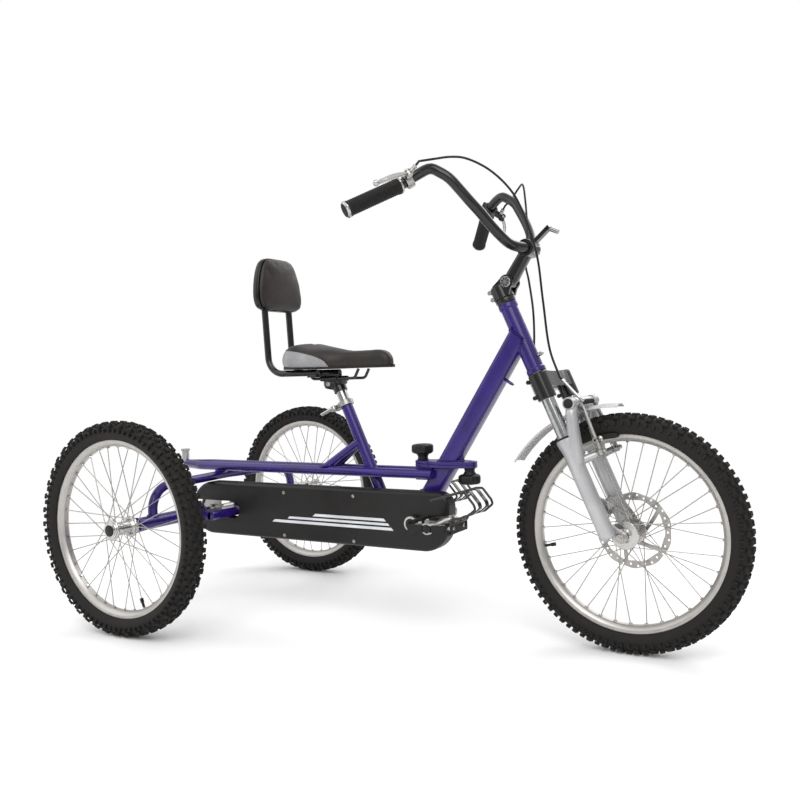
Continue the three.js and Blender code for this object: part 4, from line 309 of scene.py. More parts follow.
def make_lamp(name, power, size, place):
    """A square soft lamp that faces the tricycle."""
    data = bpy.data.lights.new(name, "AREA")
    data.energy, data.size = power, size
    lamp = in_scene(name, data)
    lamp.location = place
    lamp.rotation_mode = "QUATERNION"
    lamp.rotation_quaternion = (Vector(place) - lamp_target).to_track_quat("Z", "Y")


def make_world():
    """White where the camera sees it; elsewhere a room that is bright above and darker low down."""
    world = bpy.data.worlds.new("white_room")
    bpy.context.scene.world = world
    world.use_nodes = True
    tree = world.node_tree
    tree.nodes.clear()
    path = add(tree, "ShaderNodeLightPath").outputs
    larger = {"operation": "MAXIMUM"}
    seen = add(tree, "ShaderNodeMath", larger, i0=path["Is Camera Ray"], i1=path["Is Transmission Ray"])
    way = add(tree, "ShaderNodeTexCoord").outputs["Generated"]
    height = add(tree, "ShaderNodeSeparateXYZ", Vector=way).outputs["Z"]
    span = {
        "From_Min": room_dark_until, "From_Max": room_bright_from, "To_Min": room_low, "To_Max": room_high,
    }
    lit = add(tree, "ShaderNodeMapRange", Value=height, **span).outputs["Result"]
    strength = add(tree, "ShaderNodeMath", larger, i0=seen.outputs["Value"], i1=lit).outputs["Value"]
    room = add(tree, "ShaderNodeBackground", Color=linear(room_colour), Strength=strength)
    add(tree, "ShaderNodeOutputWorld", Surface=room.outputs["Background"])


make_floor()
make_world()
for name, facts in lamps.items():
    make_lamp(name, *facts)
bpy.context.scene.view_settings.view_transform = "Standard"
print("lamps", len(bpy.data.lights))

# %% [markdown]
# Most of a tricycle is tube, turned metal and cut plate. A small workbench class collects such closed shells
# in millimetres, in whatever frame suits the piece, and then turns them into one mesh that rides on its body.
# Subdivision modelling by hand would give the same forms, but a path and a radius say what a tube really is.

# %% A workbench for tubes, turned parts and plates
def unit(vector):
    return Vector(vector).normalized()


def bend(corners, radius, steps=8):
    """Corner points with each inner corner replaced by an arc of the bend radius."""
    points = [Vector(corners[0])]
    for before, here, after in zip(corners, corners[1:], corners[2:]):
        here = Vector(here)
        back, onward = unit(Vector(before) - here), unit(Vector(after) - here)
        half = back.angle(onward) / 2
        centre = here + unit(back + onward) * (radius / math.sin(half))
        start = here + back * (radius / math.tan(half)) - centre
        stop = here + onward * (radius / math.tan(half)) - centre
        points += [centre + unit(start).slerp(unit(stop), k / steps) * start.length for k in range(steps + 1)]
    return points + [Vector(corners[-1])]


def curved(points, spacing):
    """Evenly spaced points on a smooth curve through the given ones."""
    places = [Vector(p) for p in points]
    first, last = 2 * places[0] - places[1], 2 * places[-1] - places[-2]
    padded = [first, *places, last]
    dense = [places[0]]
    for a, b, c, d in zip(padded, padded[1:], padded[2:], padded[3:]):
        knots = [0.0]
        for p, q in ((a, b), (b, c), (c, d)):
            knots.append(knots[-1] + max((q - p).length, 1e-6) ** 0.5)
        t0, t1, t2, t3 = knots
        for k in range(1, 13):
            t = t1 + (t2 - t1) * k / 12
            ab = a.lerp(b, (t - t0) / (t1 - t0))
            bc = b.lerp(c, (t - t1) / (t2 - t1))
            cd = c.lerp(d, (t - t2) / (t3 - t2))
            abc = ab.lerp(bc, (t - t0) / (t2 - t0))
            bcd = bc.lerp(cd, (t - t1) / (t3 - t1))
            dense.append(abc.lerp(bcd, (t - t1) / (t2 - t1)))
    return spaced(dense, spacing)


def spaced(dense, spacing):
    """Points at even distances along a dense line."""
    run = [0.0]
    for p, q in zip(dense, dense[1:]):
        run.append(run[-1] + (q - p).length)
    count = max(2, round(run[-1] / spacing))
    wanted = np.linspace(0, run[-1], count + 1)
    axes = [np.interp(wanted, run, [p[i] for p in dense]) for i in range(3)]
    return [Vector(place) for place in zip(*axes)]


def turns_of(count, share=1.0):
    """Evenly spaced angles of a full turn, or of a share of it."""
    return [2 * math.pi * share * k / count for k in range(count)]


def round_points(centre, axis, radius, sides):
    """Points of a circle about an axis."""
    side = axis.orthogonal().normalized()
    other = axis.cross(side)
    return [centre + (side * math.cos(t) + other * math.sin(t)) * radius for t in turns_of(sides)]


def shade(mesh, sharp_degrees):
    """Smooth shading with edges kept sharp above an angle."""
    mesh.polygons.foreach_set("use_smooth", [True] * len(mesh.polygons))
    mesh.set_sharp_from_angle(angle=math.radians(sharp_degrees))


def evaluated_mesh(made):
    """The mesh that a piece shows with its modifiers run."""
    graph = bpy.context.evaluated_depsgraph_get()
    shown = made.evaluated_get(graph)
    return bpy.data.meshes.new_from_object(shown, preserve_all_data_layers=True, depsgraph=graph)


def applied(made):
    """Turns a piece's live modifiers into its mesh."""
    mesh = evaluated_mesh(made)
    made.modifiers.clear()
    made.data = mesh
    return mesh


def screw_head(side, shoulder, top, high, hole, floor, foot=0.0):
    """Profile of a screw's head: a straight side, a chamfer up to the top and a socket down to its floor."""
    return [(0, foot), (side, foot), (side, shoulder), (top, high), (hole, high), (hole, floor), (0, floor)]


def plug(side, foot, shoulder, top, high):
    """Profile of a round plug with a chamfered top."""
    return [(0, foot), (side, foot), (side, shoulder), (top, high), (0, high)]


def collar_ring(inner, outer, low, high, edge):
    """Profile of a ring whose outer edges are chamfered."""
    return [
        (inner, low), (outer - edge, low), (outer, low + edge),
        (outer, high - edge), (outer - edge, high), (inner, high),
    ]


def sleeve_ring(inner, outer, low, high):
    """Profile of a plain ring or, where inner is nought, of a plain disc."""
    return [(inner, low), (outer, low), (outer, high), (inner, high)]


def settle(made, body, replaces=()):
    if body:
        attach(made, body)
    if replaces:
        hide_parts(*replaces)
    return made


class Bench:
    """Collects closed shells in millimetres, in a frame of its own, until they become one piece."""

    def __init__(self, frame_matrix=None):
        self.frame = frame_matrix or Matrix.Identity(4)
        self.points, self.faces = [], []

    def shell(self, points, faces):
        offset = len(self.points)
        self.points += [self.frame @ Vector(p) for p in points]
        self.faces += [[i + offset for i in face] for face in faces]
        return self

    def rings(self, rings, closed=False):
        """A skin over rings with equal point counts, capped at both ends unless it closes on itself."""
        count, rows = len(rings[0]), len(rings)
        faces = []
        for r in range(rows if closed else rows - 1):
            low, high = r * count, ((r + 1) % rows) * count
            faces += [
                (low + i, low + (i + 1) % count, high + (i + 1) % count, high + i)
                for i in range(count)
            ]
        if not closed:
            faces += [tuple(range(count))[::-1], tuple(range((rows - 1) * count, rows * count))]
        return self.shell([p for ring in rings for p in ring], faces)

    def tube(self, path, radius, sides=24, closed=False):
        """A round tube along a path; radius is one number or one for each point."""
        places = [Vector(p) for p in path]
        radii = radius if isinstance(radius, list) else [radius] * len(places)
        if closed:
            ways = [unit(places[(i + 1) % len(places)] - places[i - 1]) for i in range(len(places))]
        else:
            ends = [places[0], *places, places[-1]]
            ways = [unit(ends[i + 2] - ends[i]) for i in range(len(places))]
        side = ways[0].orthogonal().normalized()
        rings = []
        for i, (place, way) in enumerate(zip(places, ways)):
            if i:
                side = (ways[i - 1].rotation_difference(way) @ side).normalized()
            other = way.cross(side)
            turns = turns_of(sides)
            rings.append([place + (side * math.cos(t) + other * math.sin(t)) * radii[i] for t in turns])
        return self.rings(rings, closed)

    def rod(self, start, stop, radius, end_radius=None, sides=32):
        return self.tube([start, stop], [radius, radius if end_radius is None else end_radius], sides)

    def turned(self, profile, origin=(0, 0, 0), axis=(0, 1, 0), sides=64):
        """A closed outline of [radius, height] pairs turned about an axis through the origin."""
        axis = unit(axis)
        points, rows = [], []
        for radius, height in profile:
            base = Vector(origin) + axis * height
            if radius <= 0:
                rows.append([len(points)] * sides)
                points.append(base)
            else:
                rows.append(list(range(len(points), len(points) + sides)))
                points += round_points(base, axis, radius, sides)
        faces = []
        for r in range(len(rows)):
            low, high = rows[r], rows[(r + 1) % len(rows)]
            if low[0] == low[-1] and high[0] == high[-1]:
                continue
            for k in range(sides):
                face = [low[k], low[(k + 1) % sides], high[(k + 1) % sides], high[k]]
                faces.append([v for i, v in enumerate(face) if v != face[i - 1]])
        return self.shell(points, faces)

    def block(self, size, centre, along=(1, 0, 0), across=(0, 1, 0)):
        """A block whose first size lies along one direction and second across it."""
        x = unit(along)
        z = unit(x.cross(Vector(across)))
        y = z.cross(x)
        corners = [
            Vector(centre) + x * (i * size[0] / 2) + y * (j * size[1] / 2) + z * (k * size[2] / 2)
            for k in (-1, 1)
            for i, j in ((-1, -1), (1, -1), (1, 1), (-1, 1))
        ]
        return self.rings([corners[:4], corners[4:]])

    def bar(self, start, stop, width, depth, across=(0, 1, 0)):
        start, stop = Vector(start), Vector(stop)
        return self.block(((stop - start).length, width, depth), (start + stop) / 2, stop - start, across)

    def slab(self, loops, origin, right, up, thickness):
        """A plate cut to an outline, with holes, drawn in a plane and given thickness across it."""
        right, up = unit(right), unit(up)
        out = right.cross(up).normalized()
        flat = [[Vector((u, v, 0)) for u, v in loop] for loop in loops]
        triangles = tessellate_polygon(flat)
        corners = [p for loop in flat for p in loop]
        low = [Vector(origin) + right * p.x + up * p.y for p in corners]
        high = [p + out * thickness for p in low]
        total = len(corners)
        faces = [list(t) for t in triangles] + [[i + total for i in t][::-1] for t in triangles]
        start = 0
        for loop in flat:
            for i in range(len(loop)):
                a, b = start + i, start + (i + 1) % len(loop)
                faces.append([a, b, b + total, a + total])
            start += len(loop)
        return self.shell(low + high, faces)

    def piece(self, name, body, finish, replaces=(), slot=None, bevel=0.0, sharp_degrees=35):
        """Makes the piece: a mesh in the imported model's place that rides on its body."""
        mesh = bpy.data.meshes.new(name)
        mesh.from_pydata([to_row(p) for p in self.points], [], self.faces)
        tidy = bmesh.new()
        tidy.from_mesh(mesh)
        bmesh.ops.recalc_face_normals(tidy, faces=tidy.faces)
        tidy.to_mesh(mesh)
        tidy.free()
        shade(mesh, sharp_degrees)
        made = in_scene(name, mesh)
        mesh.materials.append(finish)
        if bevel:
            rounding = made.modifiers.new("rounded_edges", "BEVEL")
            rounding.width = bevel * millimetre
            rounding.segments = 2
            rounding.limit_method = "ANGLE"
            rounding.angle_limit = math.radians(sharp_degrees)
            rounding.harden_normals = True
        return settle(made, body, replaces)


print("workbench ready")

# %% [markdown]
# Everything on a tricycle hangs from a few lines: the head tube's tilted axis, the seat tube's axis, the
# sloping beam, the axles. They are worked out once here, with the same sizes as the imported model, so that
# each smooth piece lands where its plain stand-in sits.

# %% Frames and places that the pieces share
wheelbase, track = 1090, 702
axle_height = 248.43
head_angle, beam_angle, seat_angle = (math.radians(v) for v in (66.1, 57.1, 65.8))
fork_offset, fork_length = 44.6, 385
head_length, headset_low, headset_top = 164, 12, 13
rail_height, rail_spread, rail_radius = 357, 25.4, 11
split_height, plate_thickness = 379.5, 7
crank_place = Vector((622, 0, 254))
crank_length, crank_lift = 105, math.radians(8)
beam_join = 91
seat_foot_x, seat_above, post_outside = 462.6, 184, 34
stem_forward, stem_up = 25, 28.1
bar_forward, bar_up = 47, 69
x_way, y_way, z_way = Vector((1, 0, 0)), Vector((0, 1, 0)), Vector((0, 0, 1))

steer_way = Vector((-math.cos(head_angle), 0, math.sin(head_angle)))
fore_way = Vector((math.sin(head_angle), 0, math.cos(head_angle)))
front_axle = Vector((wheelbase, 0, axle_height))
head_bottom = front_axle - fore_way * fork_offset + steer_way * fork_length
beam_way = Vector((math.cos(beam_angle), 0, math.sin(beam_angle)))
beam_top = head_bottom + steer_way * beam_join
seat_way = Vector((-math.cos(seat_angle), 0, math.sin(seat_angle)))
seat_fore = Vector((math.sin(seat_angle), 0, math.cos(seat_angle)))
seat_foot = Vector((seat_foot_x, 0, rail_height))
seat_top = seat_foot + seat_way * seat_above
post_head = seat_top + seat_way * post_outside
stem_pivot = head_bottom + fore_way * stem_forward + steer_way * (head_length + headset_top + stem_up)
bar_clamp = stem_pivot + Vector((bar_forward, 0, bar_up))


def frame_of(origin, x, z):
    """A matrix from a tilted frame, with its own x and z directions, to the drawing frame."""
    x, z = unit(x), unit(z)
    turn = Matrix((x, z.cross(x), z)).transposed().to_4x4()
    return Matrix.Translation(Vector(origin)) @ turn


steering = frame_of(head_bottom, fore_way, steer_way)
seat_stack = frame_of(seat_top, seat_fore, seat_way)
cockpit = frame_of(bar_clamp, x_way, z_way)
front_hub_place = frame_of(front_axle, x_way, z_way)
left_hub_place = frame_of((0, track / 2, axle_height), x_way, z_way)
right_hub_place = frame_of((0, -track / 2, axle_height), -x_way, z_way)


def beam_at(height):
    """The point of the beam's middle line at a height above the ground."""
    return beam_top + beam_way * ((height - beam_top.z) / math.sin(beam_angle))


print("head tube foot", [round(v, 1) for v in head_bottom], "bar clamp", [round(v, 1) for v in bar_clamp])

# %% [markdown]
# The bar's line and the two brake levers set where the cables start, so they are worked out here. Each hand
# has a grip line, a lever that hinges a little inboard, and a cable barrel that points up and inwards.

# %% Bar line and the two hands
bar_half_width, bar_rise, bar_sweep, bar_radius = 295, 155, 265, 11.1
bar_shares = [
    (0, 0.085, 0), (0.022, 0.13, 0), (0.064, 0.203, 0.032), (0.102, 0.298, 0.135), (0.147, 0.366, 0.265),
    (0.2, 0.424, 0.419), (0.257, 0.475, 0.561), (0.321, 0.515, 0.716), (0.385, 0.553, 0.858),
    (0.453, 0.576, 0.942), (0.528, 0.586, 1), (0.634, 0.62, 0.923), (0.732, 0.688, 0.794), (1, 1, 0.432),
]
lever_inboard, lever_pivot_out = 12, 36
lever_tip_along, lever_tip_out = 68, 56
lever_rolls = {-1: math.radians(40), 1: math.radians(-8)}
barrel_length, barrel_foot_share, barrel_lift_share = 24, 0.8, 0.5


def bar_point(share, side):
    sweep, width, rise = share
    return Vector((-bar_sweep * sweep, side * bar_half_width * width, bar_rise * rise))


class Hand:
    """Directions and places of one side's grip and lever, in the cockpit's frame."""

    def __init__(self, side):
        self.side = side
        bend_start, self.inner, self.outer = (bar_point(share, side) for share in bar_shares[-3:])
        self.along = unit(self.outer - self.inner)
        forward = unit(x_way - self.along * self.along.x)
        upward = unit(forward.cross(self.along) * side)
        roll = lever_rolls[side]
        self.out = forward * math.cos(roll) + upward * math.sin(roll)
        self.hinge = unit(self.out.cross(self.along) * side)
        self.clamp = (bend_start + self.inner) / 2
        self.clamp_along = unit(self.inner - bend_start)
        self.pivot = self.inner - self.along * lever_inboard + self.out * lever_pivot_out
        self.tip = self.inner + self.along * lever_tip_along + self.out * lever_tip_out
        self.barrel_foot = self.clamp.lerp(self.pivot, barrel_foot_share)
        way = unit(z_way * barrel_lift_share - self.along)
        self.barrel_end = self.pivot + way * barrel_length
        self.barrel_axis = unit(self.barrel_end - self.barrel_foot)


right_hand, left_hand = Hand(-1), Hand(1)
print("lever pivots", [round(v) for v in right_hand.pivot], [round(v) for v in left_hand.pivot])

# %% [markdown]
# The two brake cables come first of all the soft pieces. Each is a steel wire in a slick black housing that
# loops from its lever, past the head tube, to its brake. The route is given point by point. A
# housing bends where the stem pivots and where the fork slides, so each one is made as two lengths that meet
# between those joints.

# %% Brake cables
cable_radius, cable_straight, cable_gap = 2.4, 10, 0.3
cable_spacing = 4.0
rim_route = [
    (-127, -178, 172), (-100, -160, 176), (-74, -145, 173), (-33, -115, 149), (3, -84, 104), (22, -64, 50),
    (39, -50, -22), (48, -44, -116), (61, -43, -220),
]
disc_route = [
    (-124, 190, 150), (-100, 178, 170), (-75, 148, 172), (-58, 122, 130), (-46, 100, 79), (-40, 84, 30),
    (-37, 66, -22), (-22, 48, -63), (-7, 33, -129), (-6, 34, -184), (-12, 44, -241), (-8, 47, -290),
    (22, 48, -350), (58, 44, -430),
]
pipe_top, pipe_corner = Vector((62.7, -45, -46)), Vector((84, -45, -104))
caliper_angle, rotor_radius = math.radians(126), 80
rotor_plane, rotor_thickness = 33, 2.2
caliper_length, caliper_cable_y, caliper_y = 46, 41.65, 34.75
caliper_way = Vector((math.cos(caliper_angle), 0, math.sin(caliper_angle)))
fork_axle = Vector((fork_offset, 0, -fork_length))
caliper_centre = fork_axle + caliper_way * rotor_radius + y_way * caliper_y
rim_split, disc_split = 7, 9


def in_drawing(points, frame_matrix):
    return [frame_matrix @ Vector(p) for p in points]


def cable_line(hand, route, seat, arrival):
    """The cable's middle line in the drawing frame, straight where it leaves and where it arrives."""
    start = cockpit @ (hand.barrel_end + hand.barrel_axis * cable_gap)
    lead = start + hand.barrel_axis * cable_straight
    end = seat - arrival * cable_gap
    lead_in = end - arrival * cable_straight
    places = [lead, *in_drawing(route, cockpit), lead_in]
    return [start, *curved(places, cable_spacing), end]


def length_of(points):
    return sum((q - p).length for p, q in zip(points, points[1:]))


def make_cable(name, line, blend_bodies, blend_from, blend_to):
    """One length of housing: a tube along the line, returned with its length in metres. The bodies that it is
    given are not used.
    """
    made = Bench().tube(line, cable_radius, 16).piece(name, None, cable_plastic, slot="black_plastic")
    length, thickness = length_of(line) * millimetre, 2 * cable_radius * millimetre
    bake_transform(made)
    return made, length


def nearest(line, point):
    return min(range(len(line)), key=lambda i: (line[i] - point).length)


rim_seat, rim_corner = steering @ pipe_top, steering @ pipe_corner
rim_line = cable_line(right_hand, rim_route, rim_seat, unit(rim_corner - rim_seat))
disc_seat = steering @ Vector((caliper_centre.x, caliper_cable_y, caliper_centre.z + caliper_length / 2))
disc_line = cable_line(left_hand, disc_route, disc_seat, -steer_way)


def lay_cable(name, line, route, split, node):
    """Lays one cable as an upper and a lower length that meet at a cut between the two joints."""
    frees = in_drawing((route[3], route[split]), cockpit)
    cut = nearest(line, frees[1])
    upper, lower = line[: cut + 1], line[cut:]
    first, upper_length = make_cable(f"{name}_upper", upper, ("cockpit", "steering"), *frees)
    _, lower_length = make_cable(f"{name}_lower", lower, ("steering", "fork_slider"), lower[0], lower[-1])
    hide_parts(node)
    return round(upper_length + lower_length, 3)


rim_cable_length = lay_cable("rim_brake_housing", rim_line, rim_route, rim_split, "rim_brake_cable")
disc_cable_length = lay_cable("disc_brake_housing", disc_line, disc_route, disc_split, "disc_brake_cable")
print("cable lengths in metres", rim_cable_length, disc_cable_length)

# %% [markdown]
# The frame is welded from steel tube. Every joint of the real thing shows a bead, a low rounded ripple where
# filler metal froze. Each bead here is a thin tube that follows the line where two tubes meet, found by
# running each point of one tube's skin along that tube until it strikes the other.

# %% Weld beads where tubes meet
bead_radius, bead_ripple, bead_pitch = 2.6, 0.35, 3.4


def strike(point, way, axis_point, axis, radius):
    """Where a line first meets a round tube, coming from outside it."""
    axis = unit(axis)
    gap = Vector(point) - Vector(axis_point)
    flat_gap, flat_way = gap - axis * gap.dot(axis), Vector(way) - axis * Vector(way).dot(axis)
    a, b, c = flat_way.length_squared, 2 * flat_gap.dot(flat_way), flat_gap.length_squared - radius**2
    inside = b * b - 4 * a * c
    if a < 1e-9 or inside < 0:
        return None
    return Vector(point) + Vector(way) * ((-b - math.sqrt(inside)) / (2 * a))


def bead(bench, line, radius=bead_radius):
    """A rippled weld bead along a closed line."""
    places = spaced([*line, line[0]], bead_pitch / 4)[:-1]
    radii = [radius * (1 + bead_ripple * math.sin(i * math.pi / 2)) for i in range(len(places))]
    return bench.tube(places, radii, 10, closed=True)


def tube_skin(start, way, radius, sides=48):
    """Points round a tube's end."""
    return round_points(Vector(start), unit(way), radius, sides)


def bead_between(bench, start, way, radius, axis_point, axis, other_radius):
    """The bead where a round tube runs into another round tube."""
    hits = [strike(p, unit(way), axis_point, axis, other_radius) for p in tube_skin(start, way, radius)]
    if all(hits):
        bead(bench, hits)


def rounded_box_ring(half_depth, half_width, corner, steps=5):
    """Points once round a rectangle with rounded corners."""
    depth, width = half_depth - corner, half_width - corner
    ring = []
    for quarter in range(4):
        u = 1 if quarter in (0, 3) else -1
        v = 1 if quarter in (0, 1) else -1
        for k in range(steps + 1):
            t = (quarter + k / steps) * math.pi / 2
            ring.append((u * depth + corner * math.cos(t), v * width + corner * math.sin(t)))
    return ring


# %% [markdown]
# The main beam is a flat-sided tube with soft corners. It leans from the bottom bracket to the head tube and
# is cut level at the split joint, where two plates and two hand knobs let the front half come off for travel.

# %% Beam, head tube and the split joint's plates
beam_depth, beam_width, beam_corner = 44, 40, 9
beam_cut_gap, beam_sunk, edge_bevel, spindle_room, bracket_lip_long = 0.15, 0.5, 0.8, 12, 6
head_radius, head_bore, head_lip, head_lip_height = 19, 17, 2.4, 9
plate_half_width, plate_lobe = 30, 18
rear_knob_x, front_knob_x = 603, 724
plate_front_wrap, plate_rear_wrap = 69, 112.5
stud_hole = 5.4
bracket_radius, bracket_half, bracket_lip = 20, 39.2, 1.2
web_depth, web_width, web_back = 44, 26, 3
gusset_length, gusset_height, gusset_lap = 44, 30, 4
plate_bevel = 1.6


def beam_ring(height=None, along=None):
    """Points round the beam, each one slid along the beam to a level or to a distance."""
    across = beam_way.cross(y_way).normalized()
    ring = []
    for depth, width in rounded_box_ring(beam_depth / 2, beam_width / 2, beam_corner):
        point = beam_top + across * depth + y_way * width
        shift = (height - point.z) / beam_way.z if along is None else along
        ring.append(point + beam_way * shift)
    return ring


def split_outline():
    """Outline of the split joint's plate: a wide middle and a lobe round each knob."""
    beam_x = beam_at(split_height).x
    half, wide = beam_depth / math.sin(beam_angle) / 2, plate_half_width
    front = arc((front_knob_x, 0), plate_lobe, -plate_front_wrap, plate_front_wrap, 24)
    rear = arc((rear_knob_x, 0), plate_lobe, plate_rear_wrap, 360 - plate_rear_wrap, 24)
    middle = [(beam_x + half, wide), (beam_x - half, wide)]
    return [*front, *middle, *rear, *[(x, -y) for x, y in middle[::-1]]]


def arc(centre, radius, start, stop, steps):
    """Points of an arc in a plane, its angles in degrees."""
    turns = [math.radians(start + (stop - start) * k / steps) for k in range(steps + 1)]
    return [(centre[0] + radius * math.cos(t), centre[1] + radius * math.sin(t)) for t in turns]


def circle(x, y, radius, steps=40):
    return [(x + radius * math.cos(t), y + radius * math.sin(t)) for t in turns_of(steps)]


def on_frame(bench, name, replaces=(), bevel=0.0):
    """A violet piece of the frame."""
    return bench.piece(name, "frame", violet_paint, replaces, "frame_paint", bevel)


def capped(inner, outer, lip, low, high, lip_long, slope):
    """Profile of a tube with a thicker lip at each end and a short slope behind it."""
    half = [(inner, 0), (outer + lip, 0), (outer + lip, lip_long), (outer, lip_long + slope)]
    return [*[(r, low + z) for r, z in half], *[(r, high - z) for r, z in half[::-1]]]


def split_plate(bench, low):
    holes = [circle(x, 0, stud_hole) for x in (front_knob_x, rear_knob_x)]
    return bench.slab([split_outline(), *holes], (0, 0, low), x_way, y_way, plate_thickness)


def upper_beam():
    level = split_height + beam_cut_gap
    tip = beam_ring(along=0)
    starts = [p - beam_way * beam_depth * 3 for p in tip]
    hits = [strike(p, beam_way, head_bottom, steer_way, head_radius - beam_sunk) for p in starts]
    outer = [h if h else p for h, p in zip(hits, tip)]
    tube = Bench().rings([beam_ring(level + plate_thickness / 2), outer])
    on_frame(tube, "upper_beam_tube", ["front_beam"])
    profile = capped(head_bore, head_radius, head_lip, 0, head_length, head_lip_height, head_lip)
    on_frame(Bench().turned(profile, head_bottom, steer_way, 64), "head_tube", bevel=edge_bevel)
    on_frame(split_plate(Bench(), level), "upper_split_plate", bevel=plate_bevel)
    welds = bead(bead(Bench(), outer), beam_ring(level + plate_thickness))
    on_frame(welds, "upper_beam_welds")


def lower_beam():
    top = split_height - beam_cut_gap
    levels = (crank_place.z + bracket_radius / 2, top - plate_thickness / 2)
    stub = Bench().rings([beam_ring(level) for level in levels])
    web_centre = crank_place + Vector((-web_back, 0, bracket_radius))
    stub.block((web_depth, web_width, 2 * bracket_radius), web_centre)
    gusset_x = beam_back - gusset_length / 2 + gusset_lap
    gusset_width = 2 * (rail_spread - rail_radius)
    stub.block((gusset_length, gusset_width, gusset_height), (gusset_x, 0, rail_height))
    on_frame(stub, "lower_beam_stub", ["lower_beam"], 1.0)
    on_frame(split_plate(Bench(), top - plate_thickness), "lower_split_plate", bevel=plate_bevel)
    profile = capped(
        spindle_room, bracket_radius, bracket_lip, -bracket_half, bracket_half, bracket_lip_long, 1,
    )
    on_frame(Bench().turned(profile, crank_place, y_way, 56), "bracket_shell", bevel=edge_bevel)
    on_frame(bead(Bench(), beam_ring(top - plate_thickness)), "lower_beam_welds")


beam_back = beam_at(rail_height).x - beam_depth / math.sin(beam_angle) / 2
upper_beam()
lower_beam()
print("beam from", round(split_height), "to", round(beam_top.z), "mm up")

# %% [markdown]
# Behind the beam two thin rails run side by side to a small upright post, and close together there. The seat
# tube leans back between them on two short stays. All of it is round tube with beads at the ends.

# %% Rails, seat tube and its stays
rail_rear_x, rail_rear_side, rail_taper_x, rail_bend = -150, 2, -70, 55
seat_radius, seat_bore, seat_below = 14, 13.1, 99
stay_radius, stay_foot_x, stay_top_along = 9, 343, 78
post_radius, post_bottom, post_top, post_lip, post_lip_height, post_wall = 9.5, 344, 397, 12, 5, 2


def make_rail(side, name):
    foot = Vector((rail_rear_x + post_radius, side * rail_rear_side, rail_height))
    bent = (rail_taper_x, side * rail_spread, rail_height)
    corners = [foot, bent, (beam_back + rail_radius, side * rail_spread, rail_height)]
    on_frame(Bench().tube(bend(corners, rail_bend, 10), rail_radius, 32), name, [name])


def make_seat_tube():
    profile = [
        (0, -seat_below), (seat_radius, -seat_below), (seat_radius, seat_above),
        (seat_bore, seat_above), (seat_bore, -seat_below / 2), (0, -seat_below / 2),
    ]
    made = Bench().turned(profile, seat_foot, seat_way, 48)
    welds = Bench()
    stay_top = seat_foot + seat_way * stay_top_along
    for side in (-1, 1):
        foot = Vector((stay_foot_x, side * rail_spread, rail_height + rail_radius * 0.8))
        head = stay_top + y_way * (side * seat_radius / 2)
        made.rod(foot, head, stay_radius, sides=32)
        bead_between(welds, foot, head - foot, stay_radius, seat_foot, seat_way, seat_radius)
        bead(welds, flat_ring(foot, head - foot, stay_radius, rail_height + rail_radius * 0.9))
    bead(welds, flat_ring(seat_foot, seat_way, seat_radius, rail_height + rail_radius * 0.5))
    on_frame(made, "seat_tube_and_stays", ["seat_tube"])
    on_frame(welds, "seat_tube_welds")


def flat_ring(start, way, radius, height):
    """The line where a leaning tube passes through a level."""
    way = unit(way)
    return [p + way * ((height - p.z) / way.z) for p in tube_skin(start, way, radius)]


def make_rear_post():
    inner, lip_low = post_radius - post_wall, post_top - post_lip_height
    profile = [
        (inner, post_bottom), (post_radius, post_bottom), (post_radius, lip_low),
        (post_lip, lip_low), (post_lip, post_top), (inner, post_top),
    ]
    made = Bench().turned(profile, (rail_rear_x, 0, 0), z_way, 48)
    made.piece("rear_post_tube", "frame", chrome, ["rear_post"], "chrome_steel", bevel=0.6)


for side, name in ((-1, "rail_right"), (1, "rail_left")):
    make_rail(side, name)
make_seat_tube()
make_rear_post()
print("rails", round(rail_spread * 2, 1), "mm apart")

# %% [markdown]
# Across the back an arch of the same tube stands on the axle housing. The housing is two stubs of wider tube
# that carry the axle, a cross tube in front of them and two short links between. Every foot has its bead.

# %% Rear arch and axle housing
arch_radius, arch_spread, arch_bend, arch_drop = 11, 257, 55, 5
housing_radius, housing_bore, housing_outer = 16, 9.2, 308
housing_right, housing_left = 95, 20
cross_radius, cross_forward, cross_half = 11, 80, 150
link_width, link_height = 30, 20
housing_lip = 1.6


def make_arch():
    crown = rail_height - rail_radius - arch_radius
    halves = []
    for side in (-1, 1):
        y = side * arch_spread
        corners = [(0, y, axle_height + housing_radius * 0.7), (0, y, crown - arch_drop), (0, 0, crown)]
        halves.append(bend(corners, arch_bend, 12))
    right, left = halves
    on_frame(Bench().tube([*right, *left[::-1][1:]], arch_radius, 32), "rear_arch_tube", ["rear_arch"])
    welds = Bench()
    for side in (-1, 1):
        start = Vector((0, side * arch_spread, axle_height + 3 * housing_radius))
        bead_between(welds, start, -z_way, arch_radius, (0, 0, axle_height), y_way, housing_radius)
    for side in (-1, 1):
        flat = [(side * rail_radius * math.cos(t), rail_radius * math.sin(t)) for t in turns_of(40)]
        bead(welds, [Vector((x, side * rail_spread + y, crown + arch_radius)) for x, y in flat])
    on_frame(welds, "rear_arch_welds")


def make_housing():
    made = Bench()
    lip = housing_lip
    for low, high in ((-housing_outer, -housing_right), (housing_left, housing_outer)):
        profile = capped(housing_bore, housing_radius, lip, low, high, 2 * lip, lip)
        made.turned(profile, (0, 0, axle_height), y_way, 56)
    cross = Vector((cross_forward, 0, axle_height))
    made.rod(cross - y_way * cross_half, cross + y_way * cross_half, cross_radius, sides=32)
    length = cross_forward - housing_radius / 2
    for side in (-1, 1):
        centre = ((housing_radius / 2 + cross_forward) / 2, side * (cross_half - link_width / 2), axle_height)
        made.block((length, link_width, link_height), centre)
    on_frame(made, "axle_housing_tubes", ["axle_housing"], edge_bevel)


make_arch()
make_housing()
print("arch", round(2 * arch_spread), "mm wide")

